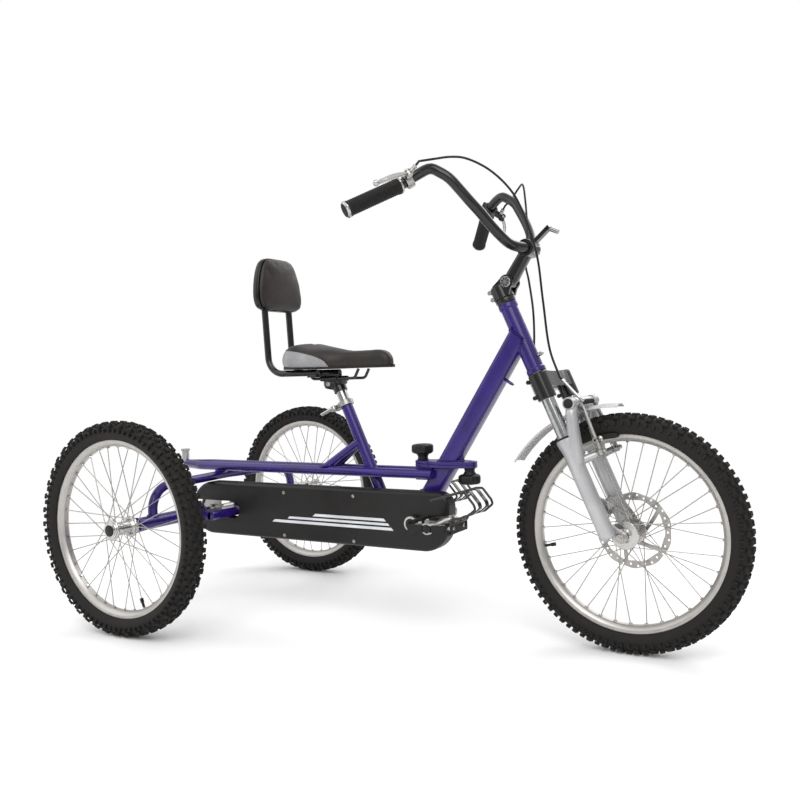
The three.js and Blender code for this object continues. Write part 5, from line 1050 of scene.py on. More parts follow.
# %% [markdown]
# Much of a cycle is one small part repeated: spokes, nipples, tread blocks, bolts. Those are Geometry Nodes
# trees, so that a count or a radius can be changed and the whole ring follows. One function builds a tree's
# outside, with named inputs, and another bakes the result into a plain mesh that rides on its body.

# %% Geometry Nodes workbench
def new_tree(name, **inputs):
    """A node group with named inputs and a geometry output. A number is a default, a word names the kind."""
    tree = bpy.data.node_groups.new(name, "GeometryNodeTree")
    tree.interface.new_socket("Geometry", in_out="OUTPUT", socket_type="NodeSocketGeometry")
    for label, value in inputs.items():
        kind = {int: "Int", float: "Float"}.get(type(value), value)
        socket = tree.interface.new_socket(label, in_out="INPUT", socket_type=f"NodeSocket{kind}")
        if kind != value:
            socket.default_value = value
    return tree, tree.nodes.new("NodeGroupInput").outputs


def close_tree(tree, finish, **instances):
    """Ends a tree: a shape is set on each point, becomes real geometry and gets its finish."""
    copies = add(tree, "GeometryNodeInstanceOnPoints", **instances).outputs["Instances"]
    real = add(tree, "GeometryNodeRealizeInstances", Geometry=copies).outputs["Geometry"]
    dressed = add(tree, "GeometryNodeSetMaterial", Geometry=real, Material=finish)
    add(tree, "NodeGroupOutput", Geometry=dressed.outputs["Geometry"])
    return tree


def grown(name, tree, place, body, finish, slot, smooth_degrees=30, guide=(), **values):
    """Runs a tree with the given input values, bakes it into a mesh in its place and rides it on its body."""
    data = bpy.data.meshes.new(f"{name}_carrier")
    data.from_pydata(guide, [(i, (i + 1) % len(guide)) for i in range(len(guide))], [])
    carrier = in_scene(f"{name}_carrier", data)
    modifier = carrier.modifiers.new("grow", "NODES")
    modifier.node_group = tree
    values["Finish"] = finish
    for item in tree.interface.items_tree:
        if item.in_out == "INPUT" and item.name in values:
            value = values[item.name]
            modifier[item.identifier] = float(value) if item.socket_type == "NodeSocketFloat" else value
    bpy.context.view_layer.update()
    mesh = evaluated_mesh(carrier)
    bpy.data.objects.remove(carrier)
    scale = Matrix.Diagonal((millimetre, millimetre, millimetre, 1))
    mesh.transform(Matrix.Translation(to_row((0, 0, 0))) @ scale @ place)
    shade(mesh, smooth_degrees)
    mesh.materials.clear()
    mesh.materials.append(finish)
    return settle(in_scene(name, mesh), body)


def maths(tree, operation, first, second=0.0):
    return add(tree, "ShaderNodeMath", {"operation": operation}, i0=first, i1=second).outputs["Value"]


def vector_maths(tree, operation, out, **inputs):
    return add(tree, "ShaderNodeVectorMath", {"operation": operation}, **inputs).outputs[out]


def triple(tree, x=0.0, y=0.0, z=0.0):
    return add(tree, "ShaderNodeCombineXYZ", X=x, Y=y, Z=z).outputs["Vector"]


def placed_points(tree, count, place):
    """Points in number, each at the place that its index gives."""
    points = add(tree, "GeometryNodePoints", Count=count).outputs["Geometry"]
    return add(tree, "GeometryNodeSetPosition", Geometry=points, Position=place).outputs["Geometry"]


def facing(tree, axis, way, pivot="AUTO", **start):
    """A rotation that turns an axis to a direction, about the pivot axis."""
    settings = {"axis": axis, "pivot_axis": pivot}
    return add(tree, "FunctionNodeAlignRotationToVector", settings, Vector=way, **start).outputs["Rotation"]


def wheel_point(tree, angle, radius, side):
    """A point at an angle round the Y axis, at a radius, shifted sideways."""
    across = maths(tree, "MULTIPLY", maths(tree, "COSINE", angle), radius)
    up = maths(tree, "MULTIPLY", maths(tree, "SINE", angle), radius)
    return triple(tree, across, side, up)


def block_ring_tree():
    """Tapered blocks round a wheel: tread knobs, bolts and nipples, by their sides, sizes and lean."""
    sizes = {"Length": 10.0, "Width": 8.0, "Height": 5.0, "Taper": 0.8}
    ways = {"Count": 24, "Radius": 100.0, "Side": 0.0, "Lean": 0.0, "Phase": 0.0, "Sides": 4}
    tree, sockets = new_tree("ring_of_blocks", **ways, **sizes, Finish="Material")
    index = add(tree, "GeometryNodeInputIndex").outputs["Index"]
    step = maths(tree, "DIVIDE", 2 * math.pi, sockets["Count"])
    angle = maths(tree, "MULTIPLY", maths(tree, "ADD", index, sockets["Phase"]), step)
    outward, sideways = maths(tree, "COSINE", sockets["Lean"]), maths(tree, "SINE", sockets["Lean"])
    normal = wheel_point(tree, angle, outward, sideways)
    tangent = wheel_point(tree, maths(tree, "ADD", angle, math.pi / 2), 1.0, 0.0)
    upright = facing(tree, "Z", normal)
    turn = facing(tree, "X", tangent, "Z", Rotation=upright)
    cone = {"Vertices": sockets["Sides"], "Radius_Top": sockets["Taper"], "Radius_Bottom": 1.0, "Depth": 1.0}
    block = add(tree, "GeometryNodeMeshCone", **cone).outputs["Mesh"]
    square = add(tree, "GeometryNodeTransform", Geometry=block, Rotation=(0, 0, math.pi / 4))
    across = [maths(tree, "MULTIPLY", sockets[label], math.sqrt(0.5)) for label in ("Length", "Width")]
    return close_tree(
        tree,
        sockets["Finish"],
        Points=placed_points(
            tree, sockets["Count"], wheel_point(tree, angle, sockets["Radius"], sockets["Side"]),
        ),
        Instance=square.outputs["Geometry"],
        Rotation=turn,
        Scale=triple(tree, *across, sockets["Height"]),
    )


def spoke_tree():
    """Spokes laced from two hub flanges to the rim, each crossing others of its own flange."""
    hub = {"Hub Radius": 20.0, "Rim Radius": 190.0, "Flange Spread": 26.0, "Flange Shift": 0.0}
    wire = {"Lacing": 1.0, "Weave": 1.0, "Spoke Radius": 1.0}
    tree, sockets = new_tree("laced_spokes", Count=36, **hub, **wire, Finish="Material")

    def times(first, second):
        return maths(tree, "MULTIPLY", first, second)

    def plus(first, second):
        return maths(tree, "ADD", first, second)

    def either(number):
        """One for an even number and minus one for an odd one."""
        return maths(tree, "SUBTRACT", 1.0, times(maths(tree, "MODULO", number, 2.0), 2.0))

    index = add(tree, "GeometryNodeInputIndex").outputs["Index"]
    angle = times(index, maths(tree, "DIVIDE", 2 * math.pi, sockets["Count"]))
    lean = either(maths(tree, "FLOOR", maths(tree, "DIVIDE", index, 2.0)))
    weave = times(lean, sockets["Weave"])
    hub_side = plus(plus(times(either(index), sockets["Flange Spread"]), sockets["Flange Shift"]), weave)
    start = wheel_point(tree, plus(angle, times(lean, sockets["Lacing"])), sockets["Hub Radius"], hub_side)
    stop = wheel_point(tree, angle, sockets["Rim Radius"], weave)
    way = vector_maths(tree, "SUBTRACT", "Vector", i0=stop, i1=start)
    middle = vector_maths(
        tree, "SCALE", "Vector", i0=vector_maths(tree, "ADD", "Vector", i0=start, i1=stop), Scale=0.5,
    )
    length = vector_maths(tree, "LENGTH", "Value", i0=way)
    return close_tree(
        tree,
        sockets["Finish"],
        Points=placed_points(tree, sockets["Count"], middle),
        Instance=add(tree, "GeometryNodeMeshCylinder", Vertices=8, Radius=1.0, Depth=1.0).outputs["Mesh"],
        Rotation=facing(tree, "Z", way),
        Scale=triple(tree, sockets["Spoke Radius"], sockets["Spoke Radius"], length),
    )


ring_of_blocks, laced_spokes = block_ring_tree(), spoke_tree()
print("trees", ring_of_blocks.name, laced_spokes.name)

# %% [markdown]
# The tyres are knobbly off-road ones on polished rims. The casing is one turned form. Over it sit eight
# rings of rubber blocks: two along the crown, staggered, one beside each of these, one on each shoulder and
# thin ribs down each side wall, which is what makes the outline rough against a pale floor.

# %% Tyres with tread blocks
tyre_outer, tyre_half_width = 248.2, 25
rim_outer, rim_half, rim_wall, rim_well, rim_depth, rim_inner_half = 209, 14, 2.6, 9.5, 19, 7.5
knob_height, knob_sunk = 6.0, 1.5
casing_top = tyre_outer - knob_height + knob_sunk
casing_shares = [
    (0, 0.44), (0.1, 0.62), (0.3, 0.86), (0.52, 0.94), (0.7, 0.9), (0.84, 0.76), (0.94, 0.5), (1, 0),
]
tread_rows = {
    "crown": (44, 5.2, 6, 0.0, 0.5, 13, 8.5, 0.0, 1),
    "middle": (44, 13.4, 24, 0.5, 0.0, 11, 7, 1.2, 1),
    "shoulder": (44, 20.2, 48, 0.0, 0.5, 12, 9, 4.0, 0.85),
    "wall": (88, 23.6, 80, 0.2, 0.2, 5, 9, 14.5, 1),
}
block_taper = 0.82


def casing_profile():
    """Half of the tyre's section from the bead to the crown, then mirrored."""
    foot = rim_outer - rim_well + 1
    half = [(foot + (casing_top - foot) * height, tyre_half_width * width) for height, width in casing_shares]
    bead = rim_half - rim_wall
    half[0] = (foot, bead)
    half.insert(1, (rim_outer + 0.5, bead))
    return [*half, *[(r, -y) for r, y in half[:-1][::-1]]]


def smooth_profile(profile, spacing):
    return [(p.x, p.y) for p in curved([(r, y, 0) for r, y in profile], spacing)]


def make_tyre(name, place, body):
    """The casing and, over it, each row of the table twice, once to each side of the crown."""
    casing = Bench(place).turned(smooth_profile(casing_profile(), 3.0), sides=112)
    casing.piece(f"{name}_tyre_casing", body, tyre_rubber, [f"{name}_tyre"], "tyre_rubber")
    rows = []
    for count, side, lean, phase, far_phase, length, width, rise, tall in tread_rows.values():
        for hand, shift in ((1, phase), (-1, far_phase)):
            sizes = {"Length": length, "Width": width, "Height": knob_height * tall, "Taper": block_taper}
            ring = {"Count": count, "Radius": tyre_outer - rise - knob_height, "Side": side * hand}
            turn = {"Lean": math.radians(lean * hand), "Phase": shift, "Sides": 4}
            block = (ring_of_blocks, place, body, tyre_rubber, "tyre_rubber", 20)
            rows.append(grown(f"{name}_tread_{len(rows)}", *block, **sizes, **ring, **turn))
    return rows


def join(pieces, name):
    """Several meshes of one finish and body as one mesh."""
    whole = bmesh.new()
    for piece in pieces:
        whole.from_mesh(piece.data)
    whole.to_mesh(pieces[0].data)
    whole.free()
    pieces[0].name = name
    for piece in pieces[1:]:
        bpy.data.objects.remove(piece)


wheels = (
    ("right", right_hub_place, "rear_drive"), ("left", left_hub_place, "left_wheel"),
    ("front", front_hub_place, "front_wheel"),
)
for name, place, body in wheels:
    join(make_tyre(name, place, body), f"{name}_tyre_tread")
print("tread blocks per tyre", sum(2 * row[0] for row in tread_rows.values()))

# %% [markdown]
# Each rim is an extruded and rolled aluminium channel with a machined track for a brake. Thirty-six stainless
# spokes run from the hub's two flanges, each crossing its neighbours, and end in a small bright nipple. The
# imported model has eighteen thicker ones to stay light; here all are drawn at their real size.

# %% Rims, spokes, nipples and valves
spoke_count, spoke_radius, spoke_hole_share, lacing, spoke_weave = 36, 1.0, 0.86, math.radians(56), 1.4
nipple_length, nipple_width, nipple_sunk = 12, 5.2, 3
rim_lip, rim_track = 1.2, 10
valve_radius, valve_length, valve_cap, valve_sunk = 3.0, 26, 4.0, 2
valve_turns = {"right": 250, "left": 200, "front": 192}


def rim_profile():
    inner = rim_outer - rim_depth
    half = [
        (rim_outer - rim_well, rim_half - rim_wall), (rim_outer - rim_lip, rim_half - rim_wall),
        (rim_outer, rim_half - rim_wall + rim_lip), (rim_outer, rim_half - rim_lip / 2),
        (rim_outer - rim_lip, rim_half), (rim_outer - rim_track, rim_half),
        (rim_outer - rim_track - rim_lip, rim_half - rim_lip / 2),
        (inner + rim_lip * 2, rim_inner_half + rim_lip * 1.4), (inner, rim_inner_half - rim_lip * 2),
    ]
    return [*half, *[(r, -y) for r, y in half[::-1]]]


def make_rim(name, place, body, valve_turn):
    rim = Bench(place).turned(rim_profile(), sides=128)
    rim.piece(f"{name}_rim_channel", body, rim_alloy, [f"{name}_rim"], "alloy", sharp_degrees=28)
    seat = rim_outer - rim_depth - nipple_length / 2 + nipple_sunk
    ring = {"Count": spoke_count, "Radius": seat, "Sides": 6, "Taper": 1.0}
    sizes = {"Length": nipple_width, "Width": nipple_width, "Height": nipple_length}
    grown(f"{name}_nipples", ring_of_blocks, place, body, polished_alloy, "alloy", **ring, **sizes)
    way = Vector((math.cos(valve_turn), 0, math.sin(valve_turn)))
    profile = [
        (0, 0), (valve_radius, 0), (valve_radius, -valve_length * 0.6), (valve_cap, -valve_length * 0.62),
        (valve_cap, -valve_length), (0, -valve_length),
    ]
    valve = Bench(place).turned(profile, way * (rim_outer - rim_depth + valve_sunk), way, 20)
    valve.piece(f"{name}_valve", body, cable_plastic, slot="black_plastic")


def make_spokes(name, place, body, spread, shift, flange_radius):
    hub = {"Hub Radius": flange_radius * spoke_hole_share, "Rim Radius": rim_outer - rim_depth + 1}
    flange = {"Flange Spread": spread, "Flange Shift": shift, "Spoke Radius": spoke_radius}
    wires = {"Count": spoke_count, "Lacing": lacing, "Weave": spoke_weave}
    look = (body, spoke_steel, "alloy", 60)
    grown(f"{name}_spokes", laced_spokes, place, *look, **hub, **flange, **wires)


for name, place, body in wheels:
    make_rim(name, place, body, math.radians(valve_turns[name]))
print("spokes per wheel", spoke_count)

# %% [markdown]
# Hubs are turned from aluminium: a barrel and two flanges, and on the rear ones a dust cap outside. The rear
# ones sit on the live axle, the front one turns on a thin axle and carries the disc rotor on its left.

# %% Hubs
hub_barrel, hub_flange, hub_flange_thick, hub_spread = 15, 24, 5, 26
hub_neck, hub_neck_end, hub_collar, hub_cap, hub_end = 13, 42, 20, 15, 34
front_flange, front_right, front_left, front_half, front_end = 29, 27, 22, 47, 11
axle_room, front_axle_room = 8.8, 5.3
flange_soft = 1.0


def rear_hub_profile():
    """Profile of a rear hub, closed at its outer end; a flange stands on each side of the barrel."""
    out = hub_spread + hub_flange_thick / 2
    inner = out - hub_flange_thick
    return [
        (0, hub_end), (hub_cap * 0.55, hub_end), (hub_cap * 0.85, hub_end - 1.2), (hub_cap, hub_end - 3),
        (hub_collar - flange_soft, hub_end - 3), (hub_collar, hub_end - 3 - flange_soft), (hub_collar, out),
        (hub_flange - flange_soft, out), (hub_flange, out - flange_soft), (hub_flange, inner + flange_soft),
        (hub_flange - flange_soft, inner), (hub_barrel + 4, inner), (hub_barrel, inner - 5),
        (hub_barrel, 5 - inner), (hub_barrel + 4, -inner), (hub_flange - flange_soft, -inner),
        (hub_flange, -inner - flange_soft), (hub_flange, flange_soft - out), (hub_flange - flange_soft, -out),
        (hub_neck + 3, -out), (hub_neck, -out - 4), (hub_neck, -hub_neck_end), (axle_room, -hub_neck_end),
        (axle_room, inner), (0, inner),
    ]


def front_hub_profile():
    left_out, right_out = front_left + hub_flange_thick, front_right + hub_flange_thick
    return [
        (front_axle_room, front_half), (front_end, front_half), (front_end, rotor_plane - 2),
        (hub_collar, rotor_plane - 2), (hub_collar, left_out), (front_flange - flange_soft, left_out),
        (front_flange, left_out - flange_soft), (front_flange, front_left + flange_soft),
        (front_flange - flange_soft, front_left), (hub_barrel + 5, front_left - 1),
        (hub_barrel, front_left - 7), (hub_barrel, 7 - front_right), (hub_barrel + 5, 1 - front_right),
        (front_flange - flange_soft, -front_right), (front_flange, -front_right - flange_soft),
        (front_flange, flange_soft - right_out), (front_flange - flange_soft, -right_out),
        (front_end + 4, -right_out - 1), (front_end, -right_out - 5), (front_end, -front_half),
        (front_axle_room, -front_half),
    ]


for name, place, body in wheels[:2]:
    hub = Bench(place).turned(rear_hub_profile(), sides=64)
    hub.piece(f"{name}_hub_shell", body, polished_alloy, [f"{name}_hub"], "alloy", sharp_degrees=24)
    make_spokes(name, place, body, hub_spread, 0.0, hub_flange)
    edge = hub_cap - 1.8
    cover = Bench(place).turned(plug(edge, hub_end - 1, hub_end + 0.2, edge - 1.2, hub_end + 0.9), sides=48)
    cover.piece(f"{name}_hub_dust_cap", body, knob_plastic, slot="black_plastic")
hub = Bench(front_hub_place).turned(front_hub_profile(), sides=64)
hub.piece("front_hub_shell", "front_wheel", polished_alloy, ["front_hub"], "alloy", sharp_degrees=24)
spread, shift = (front_left + front_right + hub_flange_thick) / 2, (front_left - front_right) / 2
make_spokes("front", front_hub_place, "front_wheel", spread, shift, front_flange)
print("hubs", len(wheels))

# %% [markdown]
# The chain runs inside a moulded guard: a shallow tray of black plastic with a rounded rim, open at the rear
# for the axle, and closed from behind by a flat cover. The tray is drawn as one skin that goes up the inner
# wall, over the rim and down the outside. Its openings are then cut by Booleans, as a router would.

# %% Cutting with Booleans
def cut_piece(bench, cutters, name, body, finish, replaces=(), sharp_degrees=35):
    """Makes a piece with closed forms cut out of it, and keeps the result as its mesh."""
    made = bench.piece(name, None, finish)
    tools = [cutter.piece(f"{name}_cutter_{i}", None, finish) for i, cutter in enumerate(cutters)]
    for tool in tools:
        cutting = made.modifiers.new("cut", "BOOLEAN")
        cutting.operation = "DIFFERENCE"
        cutting.solver = "EXACT"
        cutting.object = tool
    mesh = applied(made)
    for tool in tools:
        bpy.data.objects.remove(tool)
    shade(mesh, sharp_degrees)
    return settle(made, body, replaces)


# %% Chain guard
guard_outer, guard_inner, guard_wall = 77.5, 42, 2.5
guard_z, guard_half, guard_rear_x, guard_front_x, guard_corner = 256, 66.5, 15, 641.5, 30
guard_slot_x, guard_slot_half, guard_hole = 86, 22, 12
guard_soft, soft_steps, guard_fit = 8, 8, 0.3
guard_screws = ((252, 305), (457, 306), (251, 200.5), (456, 200.4))
screw_radius, screw_rise, screw_socket = 4.4, 1.6, 2.0


def guard_ring(inset, face):
    """A ring of the guard's outline, drawn in by an inset, at a distance to the rider's right."""
    reach, corner = guard_half - inset, guard_corner - inset
    corner_x, corner_z = guard_front_x + guard_half - guard_corner, guard_z + guard_half - guard_corner
    flat = [
        *arc((guard_front_x, guard_z), reach, -90, 0, 24),
        *arc((corner_x, corner_z), corner, 0, 90, 12),
        *arc((guard_rear_x, guard_z), reach, 90, 270, 48),
    ]
    return [(x, -face, z) for x, z in flat]


def soft_rings(start_inset, radius):
    """Rings round the guard's rounded front edge, from the wall to the face."""
    turns = [math.pi / 2 * k / soft_steps for k in range(soft_steps + 1)]
    base = guard_outer - guard_soft
    return [guard_ring(start_inset + radius * (1 - math.cos(t)), base + radius * math.sin(t)) for t in turns]


def guard_cutters():
    rear, deep = guard_rear_x - guard_half - guard_soft, guard_outer - guard_inner + 2 * guard_soft
    slot = arc((guard_slot_x, crank_place.z), guard_slot_half, -90, 90, 20)
    slot = [(rear, crank_place.z - guard_slot_half), *slot, (rear, crank_place.z + guard_slot_half)]
    far = crank_place - y_way * (guard_outer + guard_soft)
    return [
        Bench().slab([slot], (0, -guard_inner + guard_soft, 0), x_way, z_way, deep),
        Bench().rod(far, crank_place, guard_hole),
    ]


def make_guard():
    inside = soft_rings(guard_wall, guard_soft - guard_wall)[::-1]
    rim = [(guard_wall, guard_inner), (guard_wall * 0.7, guard_inner - 0.3), (0, guard_inner)]
    tray = Bench().rings([*inside, *[guard_ring(*place) for place in rim], *soft_rings(0, guard_soft)])
    cut_piece(tray, guard_cutters(), "guard_tray", "frame", guard_plastic, ["chain_guard"])
    outline = [(x, z) for x, _, z in guard_ring(guard_wall + guard_fit, 0)]
    cover = Bench().slab([outline], (0, -guard_inner + guard_wall, 0), x_way, z_way, guard_wall)
    cut_piece(
        cover, guard_cutters(), "guard_cover", "frame", guard_plastic, ["chain_guard_back"],
    )


make_guard()
screw = [
    (0, screw_rise * 0.4), (screw_socket, screw_rise * 0.4), (screw_socket, screw_rise),
    (screw_radius * 0.6, screw_rise), (screw_radius * 0.9, screw_rise * 0.75), (screw_radius, 0),
    (screw_radius, -1), (0, -1),
]
screws = Bench()
for x, z in guard_screws:
    screws.turned(screw, (x, -guard_outer, z), -y_way, 20)
screws.piece("guard_screws", "frame", bolt_steel, slot="alloy")
print("guard screws", len(guard_screws))

# %% [markdown]
# The guard's side carries a pale printed stripe. Here it is a plain design of this script's own: three bars
# that taper and step back, cut from thin film. A film is glossy and nearly flat, so it is a thin plate.

# %% Stripe film on the guard
film_thickness, film_sunk = 0.35, 0.1
film_bars = [
    [(214, 232), (566, 232), (560, 238.5), (222, 238.5)],
    [(262, 242.5), (556, 242.5), (551, 248), (268, 248)],
    [(338, 252), (546, 252), (540, 258.5), (346, 258.5)],
]
silver_film = lacquered_paint("silver_printed_film", "#c3c5c9", "#d8dadd", 0.32, 0.5, 0.008)
film = Bench()
for outline in film_bars:
    film.slab([outline], (0, -guard_outer + film_sunk, 0), x_way, z_way, film_thickness)
film.piece("guard_stripes", "frame", silver_film, slot="silver_paint")
print("stripe bars", len(film_bars))

# %% [markdown]
# Inside the guard a bush-roller chain joins a toothed ring on the crank spindle to a smaller sprocket on the
# rear axle. A Geometry Nodes tree sets one link on each point of the chain's loop and widens every second
# one.

# %% Roller chain as a tree of links
chain_pitch, ring_teeth, sprocket_teeth, chain_plane, chain_high = 12.7, 28, 18, 57, 8
plate_thick, plate_gap, outer_widen, roller_radius = 0.9, 4.2, 1.35, 3.4
ring_radius, sprocket_radius = (chain_pitch * teeth / (2 * math.pi) for teeth in (ring_teeth, sprocket_teeth))
sprocket_place = Vector((0, 0, axle_height))


def chain_loop():
    """The pitch line round both toothed wheels, in the drawing frame."""
    along = crank_place - sprocket_place
    lean = math.degrees(math.asin((ring_radius - sprocket_radius) / along.length))
    heading = math.degrees(math.atan2(along.z, along.x))
    top, bottom = heading + 90 + lean, heading - 90 - lean
    flat = arc((crank_place.x, crank_place.z), ring_radius, bottom, top, 40)
    flat += arc((0, axle_height), sprocket_radius, top, bottom + 360, 30)
    return [Vector((x, -chain_plane, z)) for x, z in flat]


def lying_bar(tree, sides, radius, depth, spot):
    """A round bar along Y, centred on a spot."""
    bar = add(tree, "GeometryNodeMeshCylinder", Vertices=sides, Radius=radius, Depth=depth).outputs["Mesh"]
    place = {"Translation": spot, "Rotation": (math.pi / 2, 0, 0)}
    return add(tree, "GeometryNodeTransform", Geometry=bar, **place).outputs["Geometry"]


def link_tree():
    """A link on each point of a guide loop: two plates and a roller, every second link wider."""
    sizes = {"Pitch": 12.7, "Height": 8.0, "Thickness": 1.0, "Gap": 4.0, "Widen": 1.3, "Roller": 3.4}
    tree, sockets = new_tree("roller_chain", Guide="Geometry", Links=100, **sizes, Finish="Material")
    curve = add(tree, "GeometryNodeMeshToCurve", Mesh=sockets["Guide"]).outputs["Curve"]
    points = add(
        tree, "GeometryNodeCurveToPoints", {"mode": "COUNT"}, Curve=curve, Count=sockets["Links"],
    ).outputs
    radius = maths(tree, "MULTIPLY", sockets["Height"], 0.5)
    half_pitch = maths(tree, "MULTIPLY", sockets["Pitch"], 0.5)
    size = triple(
        tree, sockets["Pitch"], sockets["Thickness"], maths(tree, "MULTIPLY", sockets["Height"], 0.72),
    )
    shapes = []
    for end in (-1, 1):
        side = maths(tree, "MULTIPLY", sockets["Gap"], end / 2)
        plate = add(tree, "GeometryNodeMeshCube", Size=size).outputs["Mesh"]
        moved = add(tree, "GeometryNodeTransform", Geometry=plate, Translation=triple(tree, 0.0, side))
        shapes.append(moved.outputs["Geometry"])
        for tip in (-1, 1):
            spot = triple(tree, maths(tree, "MULTIPLY", half_pitch, tip), side)
            shapes.append(lying_bar(tree, 10, radius, sockets["Thickness"], spot))
    shapes.append(lying_bar(tree, 8, sockets["Roller"], sockets["Gap"], triple(tree, half_pitch)))
    whole = add(tree, "GeometryNodeJoinGeometry")
    for shape in shapes:
        tree.links.new(shape, whole.inputs["Geometry"])
    odd = maths(tree, "MODULO", add(tree, "GeometryNodeInputIndex").outputs["Index"], 2.0)
    wide = add(tree, "ShaderNodeMapRange", Value=odd, To_Min=1.0, To_Max=sockets["Widen"]).outputs["Result"]
    return close_tree(
        tree,
        sockets["Finish"],
        Points=points["Points"],
        Instance=whole.outputs["Geometry"],
        Rotation=facing(tree, "X", points["Tangent"], "Y"),
        Scale=triple(tree, 1.0, wide, 1.0),
    )


loop = chain_loop()
links = round(length_of([*loop, loop[0]]) / chain_pitch / 2) * 2
plates = {"Height": chain_high, "Thickness": plate_thick, "Gap": plate_gap, "Widen": outer_widen}
look = (Matrix.Identity(4), "frame", chain_steel, "chain_steel")
steps = {"Links": links, "Pitch": chain_pitch, "Roller": roller_radius}
chain = grown("roller_chain", link_tree(), *look, guide=loop, **plates, **steps)
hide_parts("chain")
print("chain links", links)

# %% [markdown]
# The toothed wheels are stamped and machined steel. Their outline is worked out tooth by tooth from the
# pitch, so they would mesh with the chain, and the big one has windows cut in it to save weight.

# %% Toothed wheels, rear axle and crank spindle
tooth_root, tooth_tip, tooth_root_share, tooth_tip_share = 4.1, 2.6, 0.22, 0.1
ring_thick, ring_windows, window_radius = 3, 5, 12
axle_radius, sprocket_hub, sprocket_hub_half, spindle_radius = 8.5, 13, 12, 8
axle_end, crank_inner, crank_thick = 374.2, 84, 12


def toothed(centre, teeth, pitch_radius):
    """Outline of a toothed wheel in the plane of x and z."""
    tooth = (
        (-0.5, -tooth_root), (-tooth_root_share, -tooth_root * 0.6), (-tooth_tip_share, tooth_tip),
        (tooth_tip_share, tooth_tip), (tooth_root_share, -tooth_root * 0.6),
    )
    spots = [
        (2 * math.pi * (k + share) / teeth, pitch_radius + rise)
        for k in range(teeth)
        for share, rise in tooth
    ]
    return [(centre.x + reach * math.cos(turn), centre.z + reach * math.sin(turn)) for turn, reach in spots]


def make_drive():
    face = (0, -chain_plane + ring_thick / 2, 0)
    axle = Bench().rod(sprocket_place - y_way * axle_end, sprocket_place + y_way * axle_end, axle_radius)
    hub = sleeve_ring(axle_radius, sprocket_hub, -sprocket_hub_half, sprocket_hub_half)
    axle.turned(hub, (0, -chain_plane, axle_height), y_way, 40)
    bore = arc((0, axle_height), axle_radius, 0, 350, 35)
    axle.slab(
        [toothed(sprocket_place, sprocket_teeth, sprocket_radius), bore], face, x_way, z_way, ring_thick,
    )
    axle.piece("live_rear_axle", "rear_drive", bolt_steel, ["rear_axle"], "alloy", bevel=0.4)
    end = crank_inner + crank_thick
    spindle = Bench().rod(crank_place - y_way * end, crank_place + y_way * end, spindle_radius)
    holes = [arc((crank_place.x, crank_place.z), spindle_radius, 0, 350, 35)]
    reach = (ring_radius + spindle_radius) / 2
    for t in turns_of(ring_windows):
        middle = (crank_place.x + reach * math.cos(t), crank_place.z + reach * math.sin(t))
        holes.append(arc(middle, window_radius, 0, 348, 29))
    spindle.slab([toothed(crank_place, ring_teeth, ring_radius), *holes], face, x_way, z_way, ring_thick)
    spindle.piece("crank_spindle_and_ring", "crank", bolt_steel, ["crank_spindle"], "alloy", bevel=0.4)


make_drive()
print("teeth", ring_teeth, sprocket_teeth)

# %% [markdown]
# The crank arms are forged aluminium, thick at the spindle and slimmer at the pedal, with a black cap over
# the fixing bolt. Their outline is two rounds joined by gently waisted sides, cut as a plate and well
# rounded along its edges.

# %% Crank arms
arm_thick, boss_radius, eye_radius, arm_waist = 10, 17, 12, 8.6
cap_radius, cap_rise, pedal_axle_end, pedal_axle_radius = 12, 2, 196, 6
arm_way = Vector((math.cos(crank_lift), 0, math.sin(crank_lift)))
arm_up = Vector((-math.sin(crank_lift), 0, math.cos(crank_lift)))


def arm_outline():
    side = [
        (boss_radius * 0.8, boss_radius * 0.62), (crank_length * 0.3, arm_waist + 2.6),
        (crank_length * 0.55, arm_waist + 1.2), (crank_length * 0.8, arm_waist + 1),
    ]
    upper = [(p.x, p.y) for p in curved([(u, v, 0) for u, v in side], 5)]
    boss = arc((0, 0), boss_radius, 42, 318, 36)
    eye = arc((crank_length, 0), eye_radius, -128, 128, 30)
    return [*boss, *[(u, -v) for u, v in upper][1:], *eye, *upper[::-1][:-1]]


def make_crank_arm(side, name):
    way = arm_way * -side
    up = arm_up * -side
    inner, outer = crank_inner, crank_inner + crank_thick
    start = Vector((crank_place.x, side * (inner + (crank_thick - arm_thick) / 2), crank_place.z))
    out = unit(way.cross(up))
    if out.y * side < 0:
        start = start + y_way * side * arm_thick
    arm = Bench().slab([arm_outline()], start, way, up, arm_thick)
    arm.piece(f"{name}_crank_forging", "crank", cast_alloy, [f"crank_arm_{name}"], "alloy", bevel=2.4)
    trim = Bench()
    face = Vector((crank_place.x, side * outer, crank_place.z))
    lip = [
        (cap_radius, -2), (boss_radius - 1.2, -2), (boss_radius - 1.2, -0.2), (boss_radius - 1.8, 0.4),
        (cap_radius + 0.6, 0.4), (cap_radius, 0),
    ]
    trim.turned(lip, face, y_way * side, 48)
    trim.turned(sleeve_ring(0, boss_radius - 1, -6, -crank_thick), face, y_way * side, 48)
    eye = Vector((crank_place.x, side * outer, crank_place.z)) + way * crank_length
    trim.turned(plug(eye_radius - 1.5, -6, 0.3, eye_radius - 3, 0.8), eye, y_way * side, 40)
    axle_start = Vector((eye.x, side * (outer - 4), eye.z))
    trim.rod(axle_start, Vector((eye.x, side * pedal_axle_end, eye.z)), pedal_axle_radius)
    trim.piece(f"{name}_crank_trim", "crank", polished_alloy, slot="alloy", bevel=0.4)
    cap = Bench().turned(
        [
            (0, -3), (cap_radius - 0.4, -3), (cap_radius - 0.4, cap_rise - 0.8), (cap_radius - 1.4, cap_rise),
            (cap_radius * 0.6, cap_rise), (cap_radius * 0.52, cap_rise - 1), (0, cap_rise - 1),
        ],
        face, y_way * side, 48,
    )
    cap.piece(f"{name}_crank_cap", "crank", knob_plastic, slot="black_plastic", bevel=0.3)


